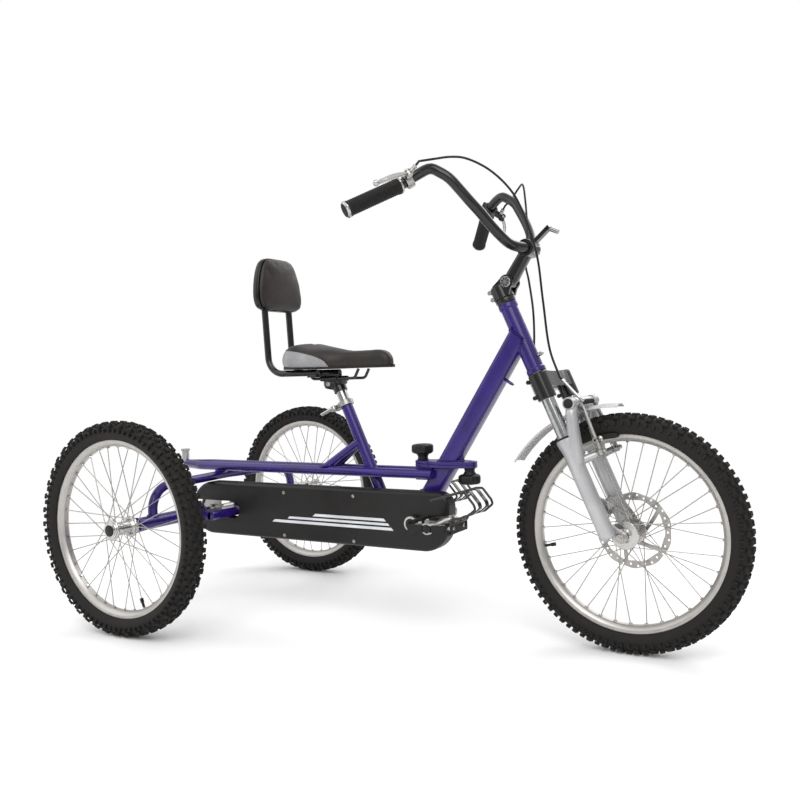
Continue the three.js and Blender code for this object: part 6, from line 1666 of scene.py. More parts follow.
make_crank_arm(-1, "right")
make_crank_arm(1, "left")
print("crank arm centre distance", crank_length)

# %% [markdown]
# The pedals are cast alloy round a steel axle: a barrel, two end bars and a round end ring with a black dust
# cap. Black tread plates with windows and teeth close the front and the rear, and two bolts hold the cage.

# %% Pedals
pedal_inner, pedal_long, pedal_depth, pedal_plate, pedal_high = 108, 96, 92, 3, 27
pedal_arm, pedal_barrel, tread_teeth, tooth_cut = 8, 11, 12, 3.2
window_half_high, window_half_long, pedal_windows = 5.4, 11, 3
bolt_radius, bolt_rise, bolt_spacing = 4.2, 3.2, 22
end_ring_radius, dust_cap_radius = 12.5, 9


def pedal_centre(side):
    return crank_place + arm_way * (-side * crank_length)


def tread_outline():
    """Side view of a tread plate: straight bars with a row of teeth above and below."""
    half, top = pedal_long / 2, pedal_high / 2
    step = pedal_long / tread_teeth
    upper = []
    for k in range(tread_teeth):
        for share, drop in ((0.1, tooth_cut), (0.3, 0), (0.7, 0), (0.9, tooth_cut)):
            upper.append((-half + (k + share) * step, top - drop))
    return [*upper, *[(-u, -v) for u, v in upper]]


def pedal_window(at):
    straight = window_half_long - window_half_high
    return [
        *arc((at + straight, 0), window_half_high, -90, 90, 10),
        *arc((at - straight, 0), window_half_high, 90, 270, 10),
    ]


def make_pedal(side, name):
    centre = pedal_centre(side)
    middle = side * (pedal_inner + pedal_long / 2)
    near, far = side * pedal_inner, side * (pedal_inner + pedal_long)
    body, treads = Bench(), Bench()
    step = pedal_long / pedal_windows
    windows = [pedal_window((k - (pedal_windows - 1) / 2) * step) for k in range(pedal_windows)]
    for end in (-1, 1):
        x = centre.x + end * (pedal_depth - pedal_plate) / 2
        treads.slab(
            [tread_outline(), *windows], (x - pedal_plate / 2, middle, centre.z), y_way, z_way, pedal_plate,
        )
        y = middle + end * (pedal_long - pedal_arm) / 2
        inner_depth = pedal_depth - 2 * pedal_plate
        treads.block((inner_depth, pedal_arm, pedal_barrel + 3), (centre.x, y, centre.z))
        body.block(
            (inner_depth, pedal_arm * 0.6, pedal_barrel - 2),
            (centre.x, middle + end * pedal_long * 0.19, centre.z),
        )
    out = y_way * side
    barrel = [
        (6.4, 0), (pedal_barrel, 0), (pedal_barrel, pedal_long * 0.3), (pedal_barrel - 2, pedal_long * 0.36),
        (pedal_barrel - 2, pedal_long * 0.7), (pedal_barrel, pedal_long * 0.76),
        (pedal_barrel, pedal_long - 1), (6.4, pedal_long - 1),
    ]
    body.turned(barrel, (centre.x, near, centre.z), out, 40)
    rim = [
        (0, -pedal_arm), (end_ring_radius, -pedal_arm), (end_ring_radius, -0.8), (end_ring_radius - 0.8, 0),
        (dust_cap_radius, 0), (dust_cap_radius, -1.5), (0, -1.5),
    ]
    body.turned(rim, (centre.x, far, centre.z), out, 48)
    body.piece(f"{name}_pedal_casting", f"pedal_{name}", cast_alloy, [f"pedal_{name}"], "alloy", bevel=1.0)
    treads.piece(f"{name}_pedal_treads", f"pedal_{name}", knob_plastic, slot="black_plastic", bevel=0.4)
    cap = plug(dust_cap_radius - 0.2, -1.6, 0, dust_cap_radius - 1.4, 0.6)
    Bench().turned(cap, (centre.x, far, centre.z), out, 40).piece(
        f"{name}_pedal_dust_cap", f"pedal_{name}", knob_plastic, slot="black_plastic",
    )
    trim = Bench()
    for end in (-1, 1):
        spot = Vector((centre.x + pedal_depth / 2 + 2.8, middle + end * bolt_spacing, centre.z))
        trim.turned(
            screw_head(
                bolt_radius, bolt_rise * 0.7, bolt_radius * 0.7, bolt_rise, bolt_radius * 0.4,
                bolt_rise * 0.5,
            ),
            spot, x_way, 20,
        )
        nut = Vector((centre.x + pedal_depth / 2 - pedal_plate - 2, middle + end * bolt_spacing, centre.z))
        trim.rod(nut - x_way * 2, nut + x_way * 2, bolt_radius, sides=6)
    trim.piece(f"{name}_pedal_trim", f"pedal_{name}", bolt_steel, slot="alloy", bevel=0.2)


# %% [markdown]
# Each toe cage is bent from black-coated wire, with two flat straps of spring steel that follow the same
# curve. The wire and the straps share one profile, from the bolted plate out, up and back over the foot.

# %% Toe cages
cage_wire, cage_band_wide, cage_band_thick, cage_spread, cage_band_spread = 2.5, 13, 2.5, 80, 32
cage_reach, cage_rise, cage_plate_wide, cage_corner = 110, 77, 60, 9
cage_shares = [
    (0.45, 0.13), (0.48, 0.25), (0.84, 0.39), (1, 0.58), (0.97, 0.7), (0.79, 1), (0.66, 0.99), (0.07, 0.75),
]
cage_steel = lacquered_paint("black_coated_spring_steel", "#171514", "#24211f", 0.34, 0.35, 0.01)


def ribbon(bench, path, width, thickness, across=(0, 1, 0)):
    """A flat strip with rounded edges along a path."""
    across = Vector(across)
    places = [path[0], *path, path[-1]]
    rings = []
    for i, place in enumerate(path):
        out = unit(unit(places[i + 2] - places[i]).cross(across))
        w, t = width / 2, thickness / 2
        c = min(w, t) * 0.6
        ring = [
            (-w, c - t), (c - w, -t), (w - c, -t), (w, c - t), (w, t - c), (w - c, t), (c - w, t),
            (-w, t - c),
        ]
        rings.append([place + across * u + out * v for u, v in ring])
    bench.rings(rings)


def make_cage(side, name):
    centre = pedal_centre(side)
    middle = side * (pedal_inner + pedal_long / 2)
    profile = [centre + Vector((cage_reach * reach, 0, cage_rise * rise)) for reach, rise in cage_shares]
    profile = spaced(bend(profile, cage_corner / 2, 4), 3)
    half = cage_spread / 2
    left = [p + y_way * (middle + half) for p in profile]
    right = [p + y_way * (middle - half) for p in profile]
    cage = Bench()
    loop = [*left, left[-1].lerp(right[-1], 0.5), *right[::-1], left[0].lerp(right[0], 0.5)]
    cage.tube(loop, cage_wire, 12, closed=True)
    for end in (-1, 1):
        ribbon(
            cage, [p + y_way * (middle + end * cage_band_spread / 2) for p in profile], cage_band_wide,
            cage_band_thick,
        )
    plate_x = centre.x + pedal_depth / 2 + 0.3
    wide = cage_plate_wide / 2 - 4
    corners = [((wide, 8), 0), ((-wide, 8), 90), ((-wide, -8), 180), ((wide, -8), 270)]
    outline = [point for spot, start in corners for point in arc(spot, 4, start, start + 90, 6)]
    cage.slab([outline], (plate_x, middle, centre.z), y_way, z_way, cage_band_thick)
    cage.piece(
        f"{name}_toe_cage_wire", f"pedal_{name}", cage_steel, [f"toe_cage_{name}"], "black_paint", bevel=0.3,
    )


for side, name in ((-1, "right"), (1, "left")):
    make_pedal(side, name)
    make_cage(side, name)
print("pedal centres", [round(v) for v in pedal_centre(-1)], [round(v) for v in pedal_centre(1)])

# %% [markdown]
# The fork has two black clamps on a crown, chromed inner legs that slide into silver cast lowers, and an arch
# that ties the lowers over the wheel. Everything here is drawn in the steering's own frame, where z runs up
# the steering axis, so upright legs in the drawing come out tilted on the tricycle.

# %% Headset cups, crown and inner legs
headset_radius, steerer_radius, steerer_top = 22.5, 14.3, 189
leg_x, leg_y, stanchion_radius, stanchion_end = 24.5, 68, 14, -250
crown_low, crown_high, clamp_low, clamp_radius = -46.3, -12.3, -70, 20
head_bore = 15


def cup(low, high, lip):
    """Headset cup: a pressed ring with a thicker lip at one end."""
    inner, middle = head_bore, (low + high) / 2
    edge, other = (low, high) if lip < 0 else (high, low)
    return [
        (inner, edge), (headset_radius - 1, edge), (headset_radius, edge + (middle - edge) * 0.2),
        (headset_radius, edge + (middle - edge) * 0.9), (headset_radius - 1.6, middle),
        (headset_radius - 1.6, other + (middle - other) * 0.35), (headset_radius - 2.6, other),
        (inner, other),
    ]


def crown_outline():
    """Plan of the crown: a round at each leg, waisted towards the steerer."""
    half = clamp_radius - 1
    right = arc((leg_x, -leg_y), half, 180, 360, 20)
    left = arc((leg_x, leg_y), half, 0, 180, 20)
    front = [(leg_x + half - 5, -leg_y * 0.45), (leg_x + half - 7, 0), (leg_x + half - 5, leg_y * 0.45)]
    back = [
        (leg_x - half - 2, leg_y * 0.6), (-clamp_radius - 1, 12), (-clamp_radius - 3, 0),
        (-clamp_radius - 1, -12), (leg_x - half - 2, -leg_y * 0.6),
    ]
    return [*right, *front, *left, *back]


cups = {"lower": cup(-headset_low, -0.3, -1), "upper": cup(head_length + 0.3, head_length + headset_top, 1)}
for name, profile in cups.items():
    made = Bench(steering).turned(profile, axis=z_way)
    made.piece(f"headset_{name}_cup", "frame", black_paint, [f"headset_{name}"], "black_paint", bevel=0.3)

crown = Bench(steering)
crown.slab([crown_outline()], (0, 0, crown_low), x_way, y_way, crown_high - crown_low)
for side in (-1, 1):
    leg = (leg_x, side * leg_y, 0)
    socket = [
        (0, clamp_low), (clamp_radius - 1.5, clamp_low), (clamp_radius, clamp_low + 2),
        (clamp_radius, crown_high - 3), (clamp_radius - 3, crown_high), (0, crown_high),
    ]
    crown.turned(socket, leg, z_way, 56)
    pinch = Vector((leg_x - clamp_radius - 3, side * leg_y, 0))
    for z in (clamp_low + 12, crown_high - 10):
        crown.rod(pinch + Vector((0, -8, z)), pinch + Vector((0, 8, z)), 4.5, sides=20)
crown.piece("fork_crown_casting", "steering", black_paint, ["fork_crown"], "black_paint", bevel=1.6)
inner_legs = Bench(steering)
inner_legs.rod((0, 0, crown_low + 4), (0, 0, steerer_top), steerer_radius)
for side in (-1, 1):
    inner_legs.rod(
        (leg_x, side * leg_y, crown_low), (leg_x, side * leg_y, stanchion_end), stanchion_radius, sides=56,
    )
    cap = [(0, 0), (10, 0), (11.5, -1), (11.5, -4), (0, -4)]
    inner_legs.turned(cap, (leg_x, side * leg_y, crown_high + 2.4), z_way, 40)
inner_legs.piece("fork_inner_legs", "steering", chrome, slot="chrome_steel", bevel=0.6)
print("crown and legs", round(stanchion_end - crown_low), "mm long")

# %% [markdown]
# The lowers are one magnesium casting. Each leg swells to a lip round its seal, carries a boss for the rim
# brake, and ends in a dropout for the axle. The arch grows out of the legs in front and bends over the tyre.

# %% Fork lowers, arch and front axle
lower_radius, lower_top, lower_bottom, lower_lip = 17, -160, -377, 3.2
arch_front, arch_high, arch_foot, arch_radius = 64.5, -98, -190, 10.5
arch_boss, arch_boss_long, arch_bend = 13, 22, 24
drop_y, drop_thick, drop_wide, drop_sunk = 50, 7, 26, 8
boss_high, boss_side, boss_thick, boss_x, pin_thick, pin_x = -213, 50, 7, 68, 4, 88
nut_radius, nut_long, front_axle_thick = 9, 12, 5
mount_size, mount_x, mount_y = (26.9, 8, 34), 11.05, 52.3
shoulder_wide, shoulder_deep, web_thick, web_tall, web_half = 22, 12, 5, 22, 18


def lower_profile():
    r, top = lower_radius, lower_top
    return [
        (0, lower_bottom), (r - 6, lower_bottom), (r - 2, lower_bottom + 2), (r, lower_bottom + 7),
        (r, top - 28), (r + lower_lip * 0.7, top - 16), (r + lower_lip, top - 8), (r + lower_lip, top - 2),
        (r + lower_lip - 1.5, top), (stanchion_radius + 0.4, top), (stanchion_radius + 0.4, top - 6),
        (0, top - 6),
    ]


def make_lowers():
    cast = Bench(steering)
    for side in (-1, 1):
        y = side * leg_y
        cast.turned(lower_profile(), (leg_x, y, 0), z_way, 56)
        low = Vector((leg_x, side * drop_y, lower_bottom + 18))
        way = unit(Vector((fork_axle.x, side * drop_y, fork_axle.z)) - low)
        across = Vector((way.z, 0, -way.x))
        end = (Vector((fork_axle.x, side * drop_y, fork_axle.z)) - low).length
        half = drop_wide / 2 - 1
        outline = [(-half, -drop_sunk), *arc((0, end), half, 180, 0, 16), (half, -drop_sunk)]
        start = low if side * across.cross(way).y > 0 else low + y_way * side * drop_thick
        cast.slab([outline], start, across, way, drop_thick)
        shoulder_low = (leg_x, side * (drop_y + drop_thick / 2), lower_bottom + 4)
        shoulder_high = (leg_x, side * (drop_y + drop_thick + 5), lower_bottom + 30)
        cast.bar(shoulder_low, shoulder_high, shoulder_wide, shoulder_deep, x_way)
        boss_end = Vector((boss_x, side * boss_side, boss_high))
        cast.rod((leg_x, y, boss_high), boss_end, boss_thick + 3, boss_thick, 32)
        cast.rod(boss_end - x_way * 12, boss_end, boss_thick + 0.6, sides=32)
        corner = Vector((arch_front, y, arch_high))
        cast.turned(collar_ring(0, arch_boss, -arch_boss_long / 2, arch_boss_long / 2, 1), corner, y_way, 40)
    feet = [Vector((leg_x + 3, side * leg_y, arch_foot - 26)) for side in (-1, 1)]
    tops = [Vector((arch_front, side * leg_y, arch_high)) for side in (-1, 1)]
    path = spaced(bend([feet[0], tops[0], tops[1], feet[1]], arch_bend, 10), 6)
    ends = len(path) * 0.3
    thick = [arch_radius + 1 + 5 * max(0, 1 - min(i, len(path) - 1 - i) / ends) for i in range(len(path))]
    cast.tube(path, thick, 28)
    web_low, web_high = Vector(
        (arch_front - 3, 0, arch_high - 12)
    ), Vector((arch_front + 1, 0, arch_high - 5))
    cast.bar(web_low - y_way * (leg_y - 8), web_low + y_way * (leg_y - 8), web_thick, web_tall, x_way)
    cast.rod(web_high - y_way * web_half, web_high + y_way * web_half, arch_radius + 1.5, sides=28)
    cast.block(mount_size, (mount_x, mount_y, caliper_centre.z))
    cast.piece("fork_lowers_casting", "fork_slider", silver_paint, ["fork_lowers"], "silver_paint", bevel=1.2)
    trim = Bench(steering)
    for side in (-1, 1):
        face = Vector((fork_axle.x, side * (drop_y + drop_thick), fork_axle.z))
        out = y_way * side
        trim.turned([(0, -0.5), (11.5, -0.5), (11.5, 1.4), (10.5, 2), (0, 2)], face, out, 40)
        trim.rod(face + out * 1.5, face + out * (nut_long - 2), nut_radius, sides=6)
        trim.rod(face + out * 2, face + out * nut_long, front_axle_thick - 0.6, sides=20)
        pin = Vector((boss_x - 6, side * boss_side, boss_high))
        trim.rod(pin, pin + x_way * (pin_x - boss_x + 4), pin_thick, sides=24)
        trim.turned(screw_head(5.6, 1.6, 4.2, 3, 2, 1.5), (pin_x - 2, side * boss_side, boss_high), x_way, 24)
    trim.rod(fork_axle - y_way * drop_y, fork_axle + y_way * drop_y, front_axle_thick)
    trim.piece("fork_fasteners", "fork_slider", bolt_steel, slot="alloy", bevel=0.3)
    seals = Bench(steering)
    for side in (-1, 1):
        bore, lip = stanchion_radius + 0.2, lower_radius + 1
        profile = [(bore, -4), (lip, -4), (lip, 0.5), (stanchion_radius + 2.5, 3.5), (bore, 4.5)]
        seals.turned(profile, (leg_x, side * leg_y, lower_top), z_way, 48)
        inset = [(0, 0), (arch_boss - 3, 0), (arch_boss - 3, 1.0), (arch_boss - 4, 1.6), (0, 1.6)]
        seals.turned(inset, (arch_front, side * (leg_y + arch_boss_long / 2), arch_high), y_way * side, 32)
    seals.piece("fork_seals", "fork_slider", pad_rubber, slot="black_plastic")


make_lowers()
print("lower leg", round(lower_top - lower_bottom), "mm")

# %% [markdown]
# The short mudguard is a moulded strip: crowned across, with its edges turned down. It follows an arc that
# opens a little towards the rear, and it hangs from the fork's arch on a short tab.

# %% Mudguard
mud_front, mud_rear, mud_wide, mud_thick, mud_start, mud_end, mud_crown = 266, 286, 56, 2, 69, 126, 6
mud_steps, mud_across = 40, 12
mud_plastic = moulded("silver_grey_polypropylene", "#b3b0b2", "#c1bec0", 0.42, 1.4, 0.03)


def mudguard_ring(share):
    turn = math.radians(mud_start + (mud_end - mud_start) * share)
    crest = mud_front + (mud_rear - mud_front) * share
    taper = 1 - 0.12 * share**6 - 0.18 * (1 - share) ** 8
    out = Vector((math.cos(turn), 0, math.sin(turn)))
    top, low = [], []
    for k in range(mud_across + 1):
        u = 2 * k / mud_across - 1
        drop = mud_crown * (abs(u) ** 2.6)
        place = fork_axle + y_way * (u * mud_wide / 2 * taper)
        top.append(place + out * (crest + mud_thick - drop))
        low.append(place + out * (crest - drop))
    return [*top, *low[::-1]]


guard = Bench(steering).rings([mudguard_ring(k / mud_steps) for k in range(mud_steps + 1)])
foot = Vector((arch_front, 0, arch_high))
inward = unit(fork_axle - foot)
guard.bar(foot + inward * (arch_radius - 2), foot + inward * (arch_radius + mud_crown + 2), 30, 22, y_way)
guard.piece("mudguard_moulding", "fork_slider", mud_plastic, ["mudguard"], "silver_paint", bevel=0.5)
print("mudguard spans", mud_end - mud_start, "degrees")

# %% [markdown]
# The rim brake squeezes the rim between two rubber blocks on cast arms. Its cable arrives through a bent
# guide pipe, and a rubber boot covers the inner wire between the two arm tips.

# %% Rim brake
brake_x, brake_top, brake_top_side, brake_wide, brake_thick, brake_eye = 78, -107, 40, 9, 8, 8
shoe_turn, shoe_reach, shoe_long, shoe_wide, shoe_thick, shoe_gap = math.radians(77), 204, 50, 11, 9, 3.4
pipe_thick, pipe_bend, boot_thick, boot_stop = 3, 12, 5, 12
spring_radius, coil_radius, coil_pitch, coil_points = 1.1, 7.4, 0.5, 14
stud_thick, stud_long, stud_nut, nut_thick, boot_points = 3, 14, 5.5, 5, 26


def make_brake_arm(side, name):
    body = f"brake_arm_{name}"
    eye = Vector((brake_x, side * boss_side, boss_high))
    top = Vector((brake_x, side * brake_top_side, brake_top))
    middle = eye.lerp(top, 0.5) + y_way * side * 2.5
    arm = Bench(steering)
    spine = curved(
        [eye, eye.lerp(top, 0.3) + y_way * side * 2, middle, eye.lerp(top, 0.8) + y_way * side, top], 6,
    )
    rings = []
    for i, place in enumerate(spine):
        share = i / (len(spine) - 1)
        w, t = (brake_wide / 2) * (1.15 - 0.3 * share), (brake_thick / 2) * (1.1 - 0.2 * share)
        ring = [
            (-w, -t * 0.4), (-w * 0.5, -t), (w * 0.5, -t), (w, -t * 0.4), (w, t * 0.4), (w * 0.5, t),
            (-w * 0.5, t), (-w, t * 0.4),
        ]
        rings.append([place + y_way * u + x_way * v for u, v in ring])
    arm.rings(rings)
    half = brake_thick / 2
    arm.turned([(4.4, -half), (brake_eye, -half), (brake_eye, half), (4.4, half)], eye, x_way, 36)
    arm.turned([(0, -half), (6, -half), (6, half), (0, half)], top, x_way, 28)
    way = Vector((math.cos(shoe_turn), 0, math.sin(shoe_turn)))
    centre = fork_axle + way * shoe_reach
    tangent = Vector((math.sin(shoe_turn), 0, -math.cos(shoe_turn)))
    shoe_y = side * (rim_half + shoe_gap + shoe_thick / 2)
    arm_y = side * (boss_side - brake_wide / 2)
    arm.piece(f"{name}_brake_arm_casting", body, cast_alloy, [f"brake_arm_{name}"], "alloy", bevel=0.5)
    trim = Bench(steering)
    stud = Vector((brake_x, 0, centre.z))
    stud_end = stud + y_way * (arm_y + side * stud_long)
    trim.rod(stud + y_way * shoe_y, stud_end, stud_thick, sides=20)
    trim.rod(stud_end - y_way * (side * nut_thick), stud_end, stud_nut, sides=6)
    trim.turned(
        [(3.2, 0), (7.5, 0), (7.5, 4), (3.2, 6)], stud + y_way * (shoe_y + side * shoe_thick * 0.5),
        y_way * side, 28,
    )
    spring = [
        Vector((-coil_pitch * k, math.cos(k) * coil_radius, math.sin(k) * coil_radius))
        for k in range(coil_points)
    ]
    behind = x_way * (half + 1)
    trim.tube([*[eye - behind + p for p in spring], eye.lerp(top, 0.55) - behind], spring_radius, 8)
    trim.piece(f"{name}_brake_trim", body, bolt_steel, slot="alloy", bevel=0.2)
    pad = Bench(steering)
    steps = 12
    shoe = []
    for k in range(steps + 1):
        share = 2 * k / steps - 1
        place = centre + tangent * (shoe_long / 2 * share) - way * (share * share * 1.6)
        w = shoe_wide / 2 * (1 - 0.28 * abs(share) ** 5)
        t = shoe_thick / 2
        ring = [(-w, -t), (w, -t), (w, t * 0.6), (w * 0.6, t), (-w * 0.6, t), (-w, t * 0.6)]
        shoe.append([place + way * u + y_way * (shoe_y + side * v) for u, v in ring])
    pad.rings(shoe)
    pad.piece(f"{name}_brake_shoe", body, pad_rubber, slot="black_plastic", bevel=0.4)


for side, name in ((-1, "right"), (1, "left")):
    make_brake_arm(side, name)
pipe_end = Vector((pipe_corner.x, -brake_top_side + 2 * boot_thick, pipe_corner.z))
pipe = Bench(steering).tube(spaced(bend([pipe_top, pipe_corner, pipe_end], pipe_bend, 10), 2), pipe_thick, 20)
pipe.turned([(0, -2), (4.2, -2), (4.2, 5), (0, 5)], pipe_top, unit(pipe_corner - pipe_top), 24)
pipe.piece("cable_guide_pipe", "brake_arm_right", polished_alloy, slot="alloy", bevel=0.3)
boot = Bench(steering)
boot_start = Vector((pipe_corner.x, -brake_top_side, pipe_corner.z))
folds = []
for k in range(boot_points):
    swell = 0.72 + 0.28 * abs(math.sin(k * math.pi / 4))
    folds.append((boot_thick * swell, (boot_stop + brake_top_side) * k / (boot_points - 1)))
boot.turned([(0, 0), *folds, (0, folds[-1][1])], boot_start, y_way, 28)
boot.piece("cable_boot", "brake_arm_right", pad_rubber, slot="black_plastic")
print("brake shoe gap", shoe_gap, "mm")

# %% [markdown]
# The disc brake's rotor is stamped from stainless sheet: a wavy, drilled track on five swept arms. A plate
# with holes is drawn as an outline with inner loops. The caliper grips its rear edge from the left leg.

# %% Disc rotor
rotor_track, rotor_inner, rotor_bore, rotor_bolt_ring, wave_deep = 14, 26, 18, 22, 2.2
rotor_arms, rotor_sweep, rotor_waves, rotor_bolts = 5, math.radians(40), 10, 6
drill_radius, drill_count = 2.6, 30


def wavy(radius, depth, waves, phase, steps=160):
    """A round outline that dips inward by depth, once for each wave."""
    reaches = [(t, radius - depth * (0.5 + 0.5 * math.cos(waves * t + phase))) for t in turns_of(steps)]
    return [(reach * math.cos(t), reach * math.sin(t)) for t, reach in reaches]


def around(turn, reach):
    return Vector((math.cos(turn), 0, math.sin(turn))) * reach


def make_rotor():
    disc = Bench(front_hub_place)
    origin = (0, rotor_plane + rotor_thickness / 2, 0)
    holes = []
    for k in range(drill_count):
        spot = around(2 * math.pi * k / drill_count, rotor_radius - rotor_track * (0.36 if k % 2 else 0.62))
        holes.append(arc((spot.x, spot.z), drill_radius, 0, 324, 9))
    waves = ((rotor_radius, 0), (rotor_radius - rotor_track, math.pi))
    edges = [wavy(radius, wave_deep, rotor_waves, phase) for radius, phase in waves]
    disc.slab([*edges, *holes], origin, x_way, z_way, rotor_thickness)
    for turn in turns_of(rotor_arms):
        start = around(turn, rotor_inner - 3)
        stop = around(turn + rotor_sweep, rotor_radius - rotor_track + 2)
        waist = start.lerp(stop, 0.5) * 1.06
        path = [p + y_way * rotor_plane for p in curved([start, waist, stop], 4)]
        ribbon(disc, path, rotor_thickness * 0.9, 8)
    hub = [arc((0, 0), rotor_inner, 0, 355, 71), arc((0, 0), rotor_bore, 0, 350, 35)]
    disc.slab(hub, origin, x_way, z_way, rotor_thickness)
    disc.piece("disc_rotor_plate", "front_wheel", rotor_steel, ["disc_rotor"], "alloy", bevel=0.25)
    ring = {"Count": rotor_bolts, "Radius": rotor_bolt_ring, "Side": rotor_plane + rotor_thickness / 2 + 0.6}
    head = {"Sides": 8, "Length": 7.0, "Width": 7.0, "Height": 2.4, "Taper": 0.7, "Lean": math.pi / 2}
    look = (front_hub_place, "front_wheel", bolt_steel, "alloy")
    grown("rotor_bolts", ring_of_blocks, *look, **ring, **head)


bridge_lift, bridge_thick, bridge_long = 6, 6, 24
caliper_half, caliper_round, caliper_slot = 13.25, 12, 2.4
caliper_bolt, caliper_bolt_out = 14, 8.5


def make_caliper():
    low, high = caliper_centre.y - caliper_half, caliper_centre.y + caliper_half
    middle = Vector((caliper_centre.x, 0, caliper_centre.z))
    body = Bench(steering)
    ends = caliper_length / 2 - caliper_round
    outline = [*arc((0, -ends), caliper_round, 180, 360, 14), *arc((0, ends), caliper_round, 0, 180, 14)]
    for start, stop in ((low, rotor_plane - caliper_slot), (rotor_plane + caliper_slot, high)):
        body.slab([outline], middle + y_way * stop, x_way, z_way, stop - start)
    bridge = middle + caliper_way * bridge_lift + y_way * ((low + high) / 2)
    body.block((bridge_thick, high - low, bridge_long), bridge, caliper_way)
    body.turned(screw_head(9.5, 2.5, 8, 4, 4, 2.5), middle + y_way * (high - 0.5), y_way, 36)
    body.piece("caliper_casting", "fork_slider", silver_paint, ["disc_caliper"], "silver_paint", bevel=1.0)
    trim = Bench(steering)
    for z in (-caliper_bolt, caliper_bolt):
        spot = middle + Vector((caliper_bolt, high + caliper_bolt_out, z))
        trim.turned([(0, 0), (4.6, 0), (4.6, 4), (2.2, 4), (2.2, 2), (0, 2)], spot, y_way, 20)
    top = Vector((caliper_centre.x, caliper_cable_y, caliper_centre.z + caliper_length / 2))
    trim.rod(top - z_way * 4, top + z_way * 6, 4, 3.2, 20)
    trim.piece("caliper_trim", "fork_slider", bolt_steel, slot="alloy", bevel=0.3)


make_rotor()
make_caliper()
print("rotor bolts", rotor_bolts)

# %% [markdown]
# The stem pivots: a clamp on the steerer carries two ears, and the arm's barrel turns between them on a bolt
# with bright capped ends. The arm rises to a split clamp that holds the handlebar with four small screws.

# %% Stem, bar clamp and handlebar
base_low, base_high, base_radius, ear_inner, ear_outer, ear_radius = 177.3, 211.3, 23, 13, 20, 16
barrel_radius, pivot_cap_radius, pivot_cap_start, pivot_cap_end = 14, 12, 20.3, 24.3
cap_slots, slot_inner, slot_outer, slot_half = 8, 4.5, 9.6, 1.3
clamp_outer, clamp_half, stem_wide, stem_deep = 19, 22, 24, 22
stem_bolt, stem_bolt_half, stem_bolt_head = 3.6, 13, 5
stem_pivot_up = Vector((stem_forward, 0, head_length + headset_top + stem_up))


def rounded_rings(stations, across, corner_share=0.35):
    """Rings of rounded rectangles; each station is a place, a width across and a depth."""
    across = Vector(across)
    ends = [stations[0], *stations, stations[-1]]
    rings = []
    for i, (place, wide, deep) in enumerate(stations):
        way = unit(Vector(ends[i + 2][0]) - Vector(ends[i][0]))
        out = unit(way.cross(across))
        side = unit(out.cross(way))
        w, d = wide / 2, deep / 2
        c = min(w, d) * 2 * corner_share
        ring = []
        for cx, cy, start in (
            (w - c, d - c, 0), (-w + c, d - c, 90), (-w + c, -d + c, 180), (w - c, -d + c, 270),
        ):
            ring += arc((cx, cy), c, start, start + 90, 5)
        rings.append([Vector(place) + side * u + out * v for u, v in ring])
    return rings


base = Bench(steering)
profile = [
    (steerer_radius + 0.3, base_low), (base_radius - 1, base_low), (base_radius, base_low + 1),
    (base_radius, base_high - 5), (base_radius - 4, base_high - 1), (base_radius - 9, base_high),
    (0, base_high), (0, base_high - 4), (steerer_radius + 0.3, base_high - 4),
]
base.turned(profile, (0, 0, 0), z_way, 56)
ear = [
    *arc((stem_pivot_up.x, stem_pivot_up.z), ear_radius, -75, 125, 28), (-8, base_high - 1),
    (-12, base_low + 4), (stem_pivot_up.x - 6, base_low + 1),
]
for side in (-1, 1):
    start = ear_inner if side > 0 else -ear_outer
    base.slab([ear], (0, start + (ear_outer - ear_inner), 0), x_way, z_way, ear_outer - ear_inner)
base.piece("stem_clamp_casting", "steering", black_paint, ["stem_base"], "black_paint", bevel=1.4)
bolts = Bench(steering)
for z in (base_low + 8, base_high - 9):
    shank = Vector((1 - base_radius, 0, z))
    bolts.rod(shank - y_way * stem_bolt_half, shank + y_way * stem_bolt_half, stem_bolt, sides=20)
    bolts.rod(
        shank - y_way * (stem_bolt_half + 2.5), shank - y_way * (stem_bolt_half - 1), stem_bolt_head,
        sides=24,
    )
bolts.piece("stem_clamp_bolts", "steering", bolt_steel, slot="alloy", bevel=0.4)

pivot = Vector((-bar_forward, 0, -bar_up))
arm = Bench(cockpit)
arm.turned(sleeve_ring(0, barrel_radius, -ear_inner + 0.4, ear_inner - 0.4), pivot, y_way, 48)
swells = [(0.0, 0.5, 6), (0.2, 0.5, 8), (0.45, 0, 7), (0.8, 1, 6), (0.98, 4, 6)]
stations = [(pivot * (1 - share), stem_wide + wider, stem_deep + deeper) for share, wider, deeper in swells]
arm.rings(rounded_rings(stations, y_way))
arm.turned(collar_ring(bar_radius + 0.2, clamp_outer, -clamp_half, clamp_half, 1), sides=56)
arm.piece("stem_arm_casting", "cockpit", black_paint, ["stem_arm"], "black_paint", bevel=1.0)
caps = Bench(cockpit)
# The slots are thin black sheets laid on each cap's face: painted shade standing in for the recessed slots of
# the real caps.
marks = Bench(cockpit)
for side in (-1, 1):
    out = y_way * side
    caps.turned(
        plug(pivot_cap_radius, pivot_cap_start, pivot_cap_end - 1.2, pivot_cap_radius - 1.2, pivot_cap_end),
        pivot, out, 48,
    )
    for k in range(cap_slots):
        turn = 2 * math.pi * (k + 0.5) / cap_slots
        way = Vector((math.cos(turn), 0, math.sin(turn)))
        start, stop = (
            pivot + out * (pivot_cap_end - 0.1) + way * reach
            for reach in (slot_inner, slot_outer)
        )
        marks.bar(start, stop, 0.5, slot_half * 2, y_way)
    for z in (-9, 9):
        spot = Vector((clamp_outer - 3.5, side * 12, z))
        caps.turned(screw_head(4, 3.6, 3.4, 4.2, 2.1, 2.2, -2), spot, unit(Vector((1, 0, z / 24))), 20)
caps.piece("stem_bright_caps", "cockpit", chrome, slot="chrome_steel", bevel=0.3)
marks.piece("stem_cap_slot_shade", "cockpit", knob_plastic, slot="black_plastic")

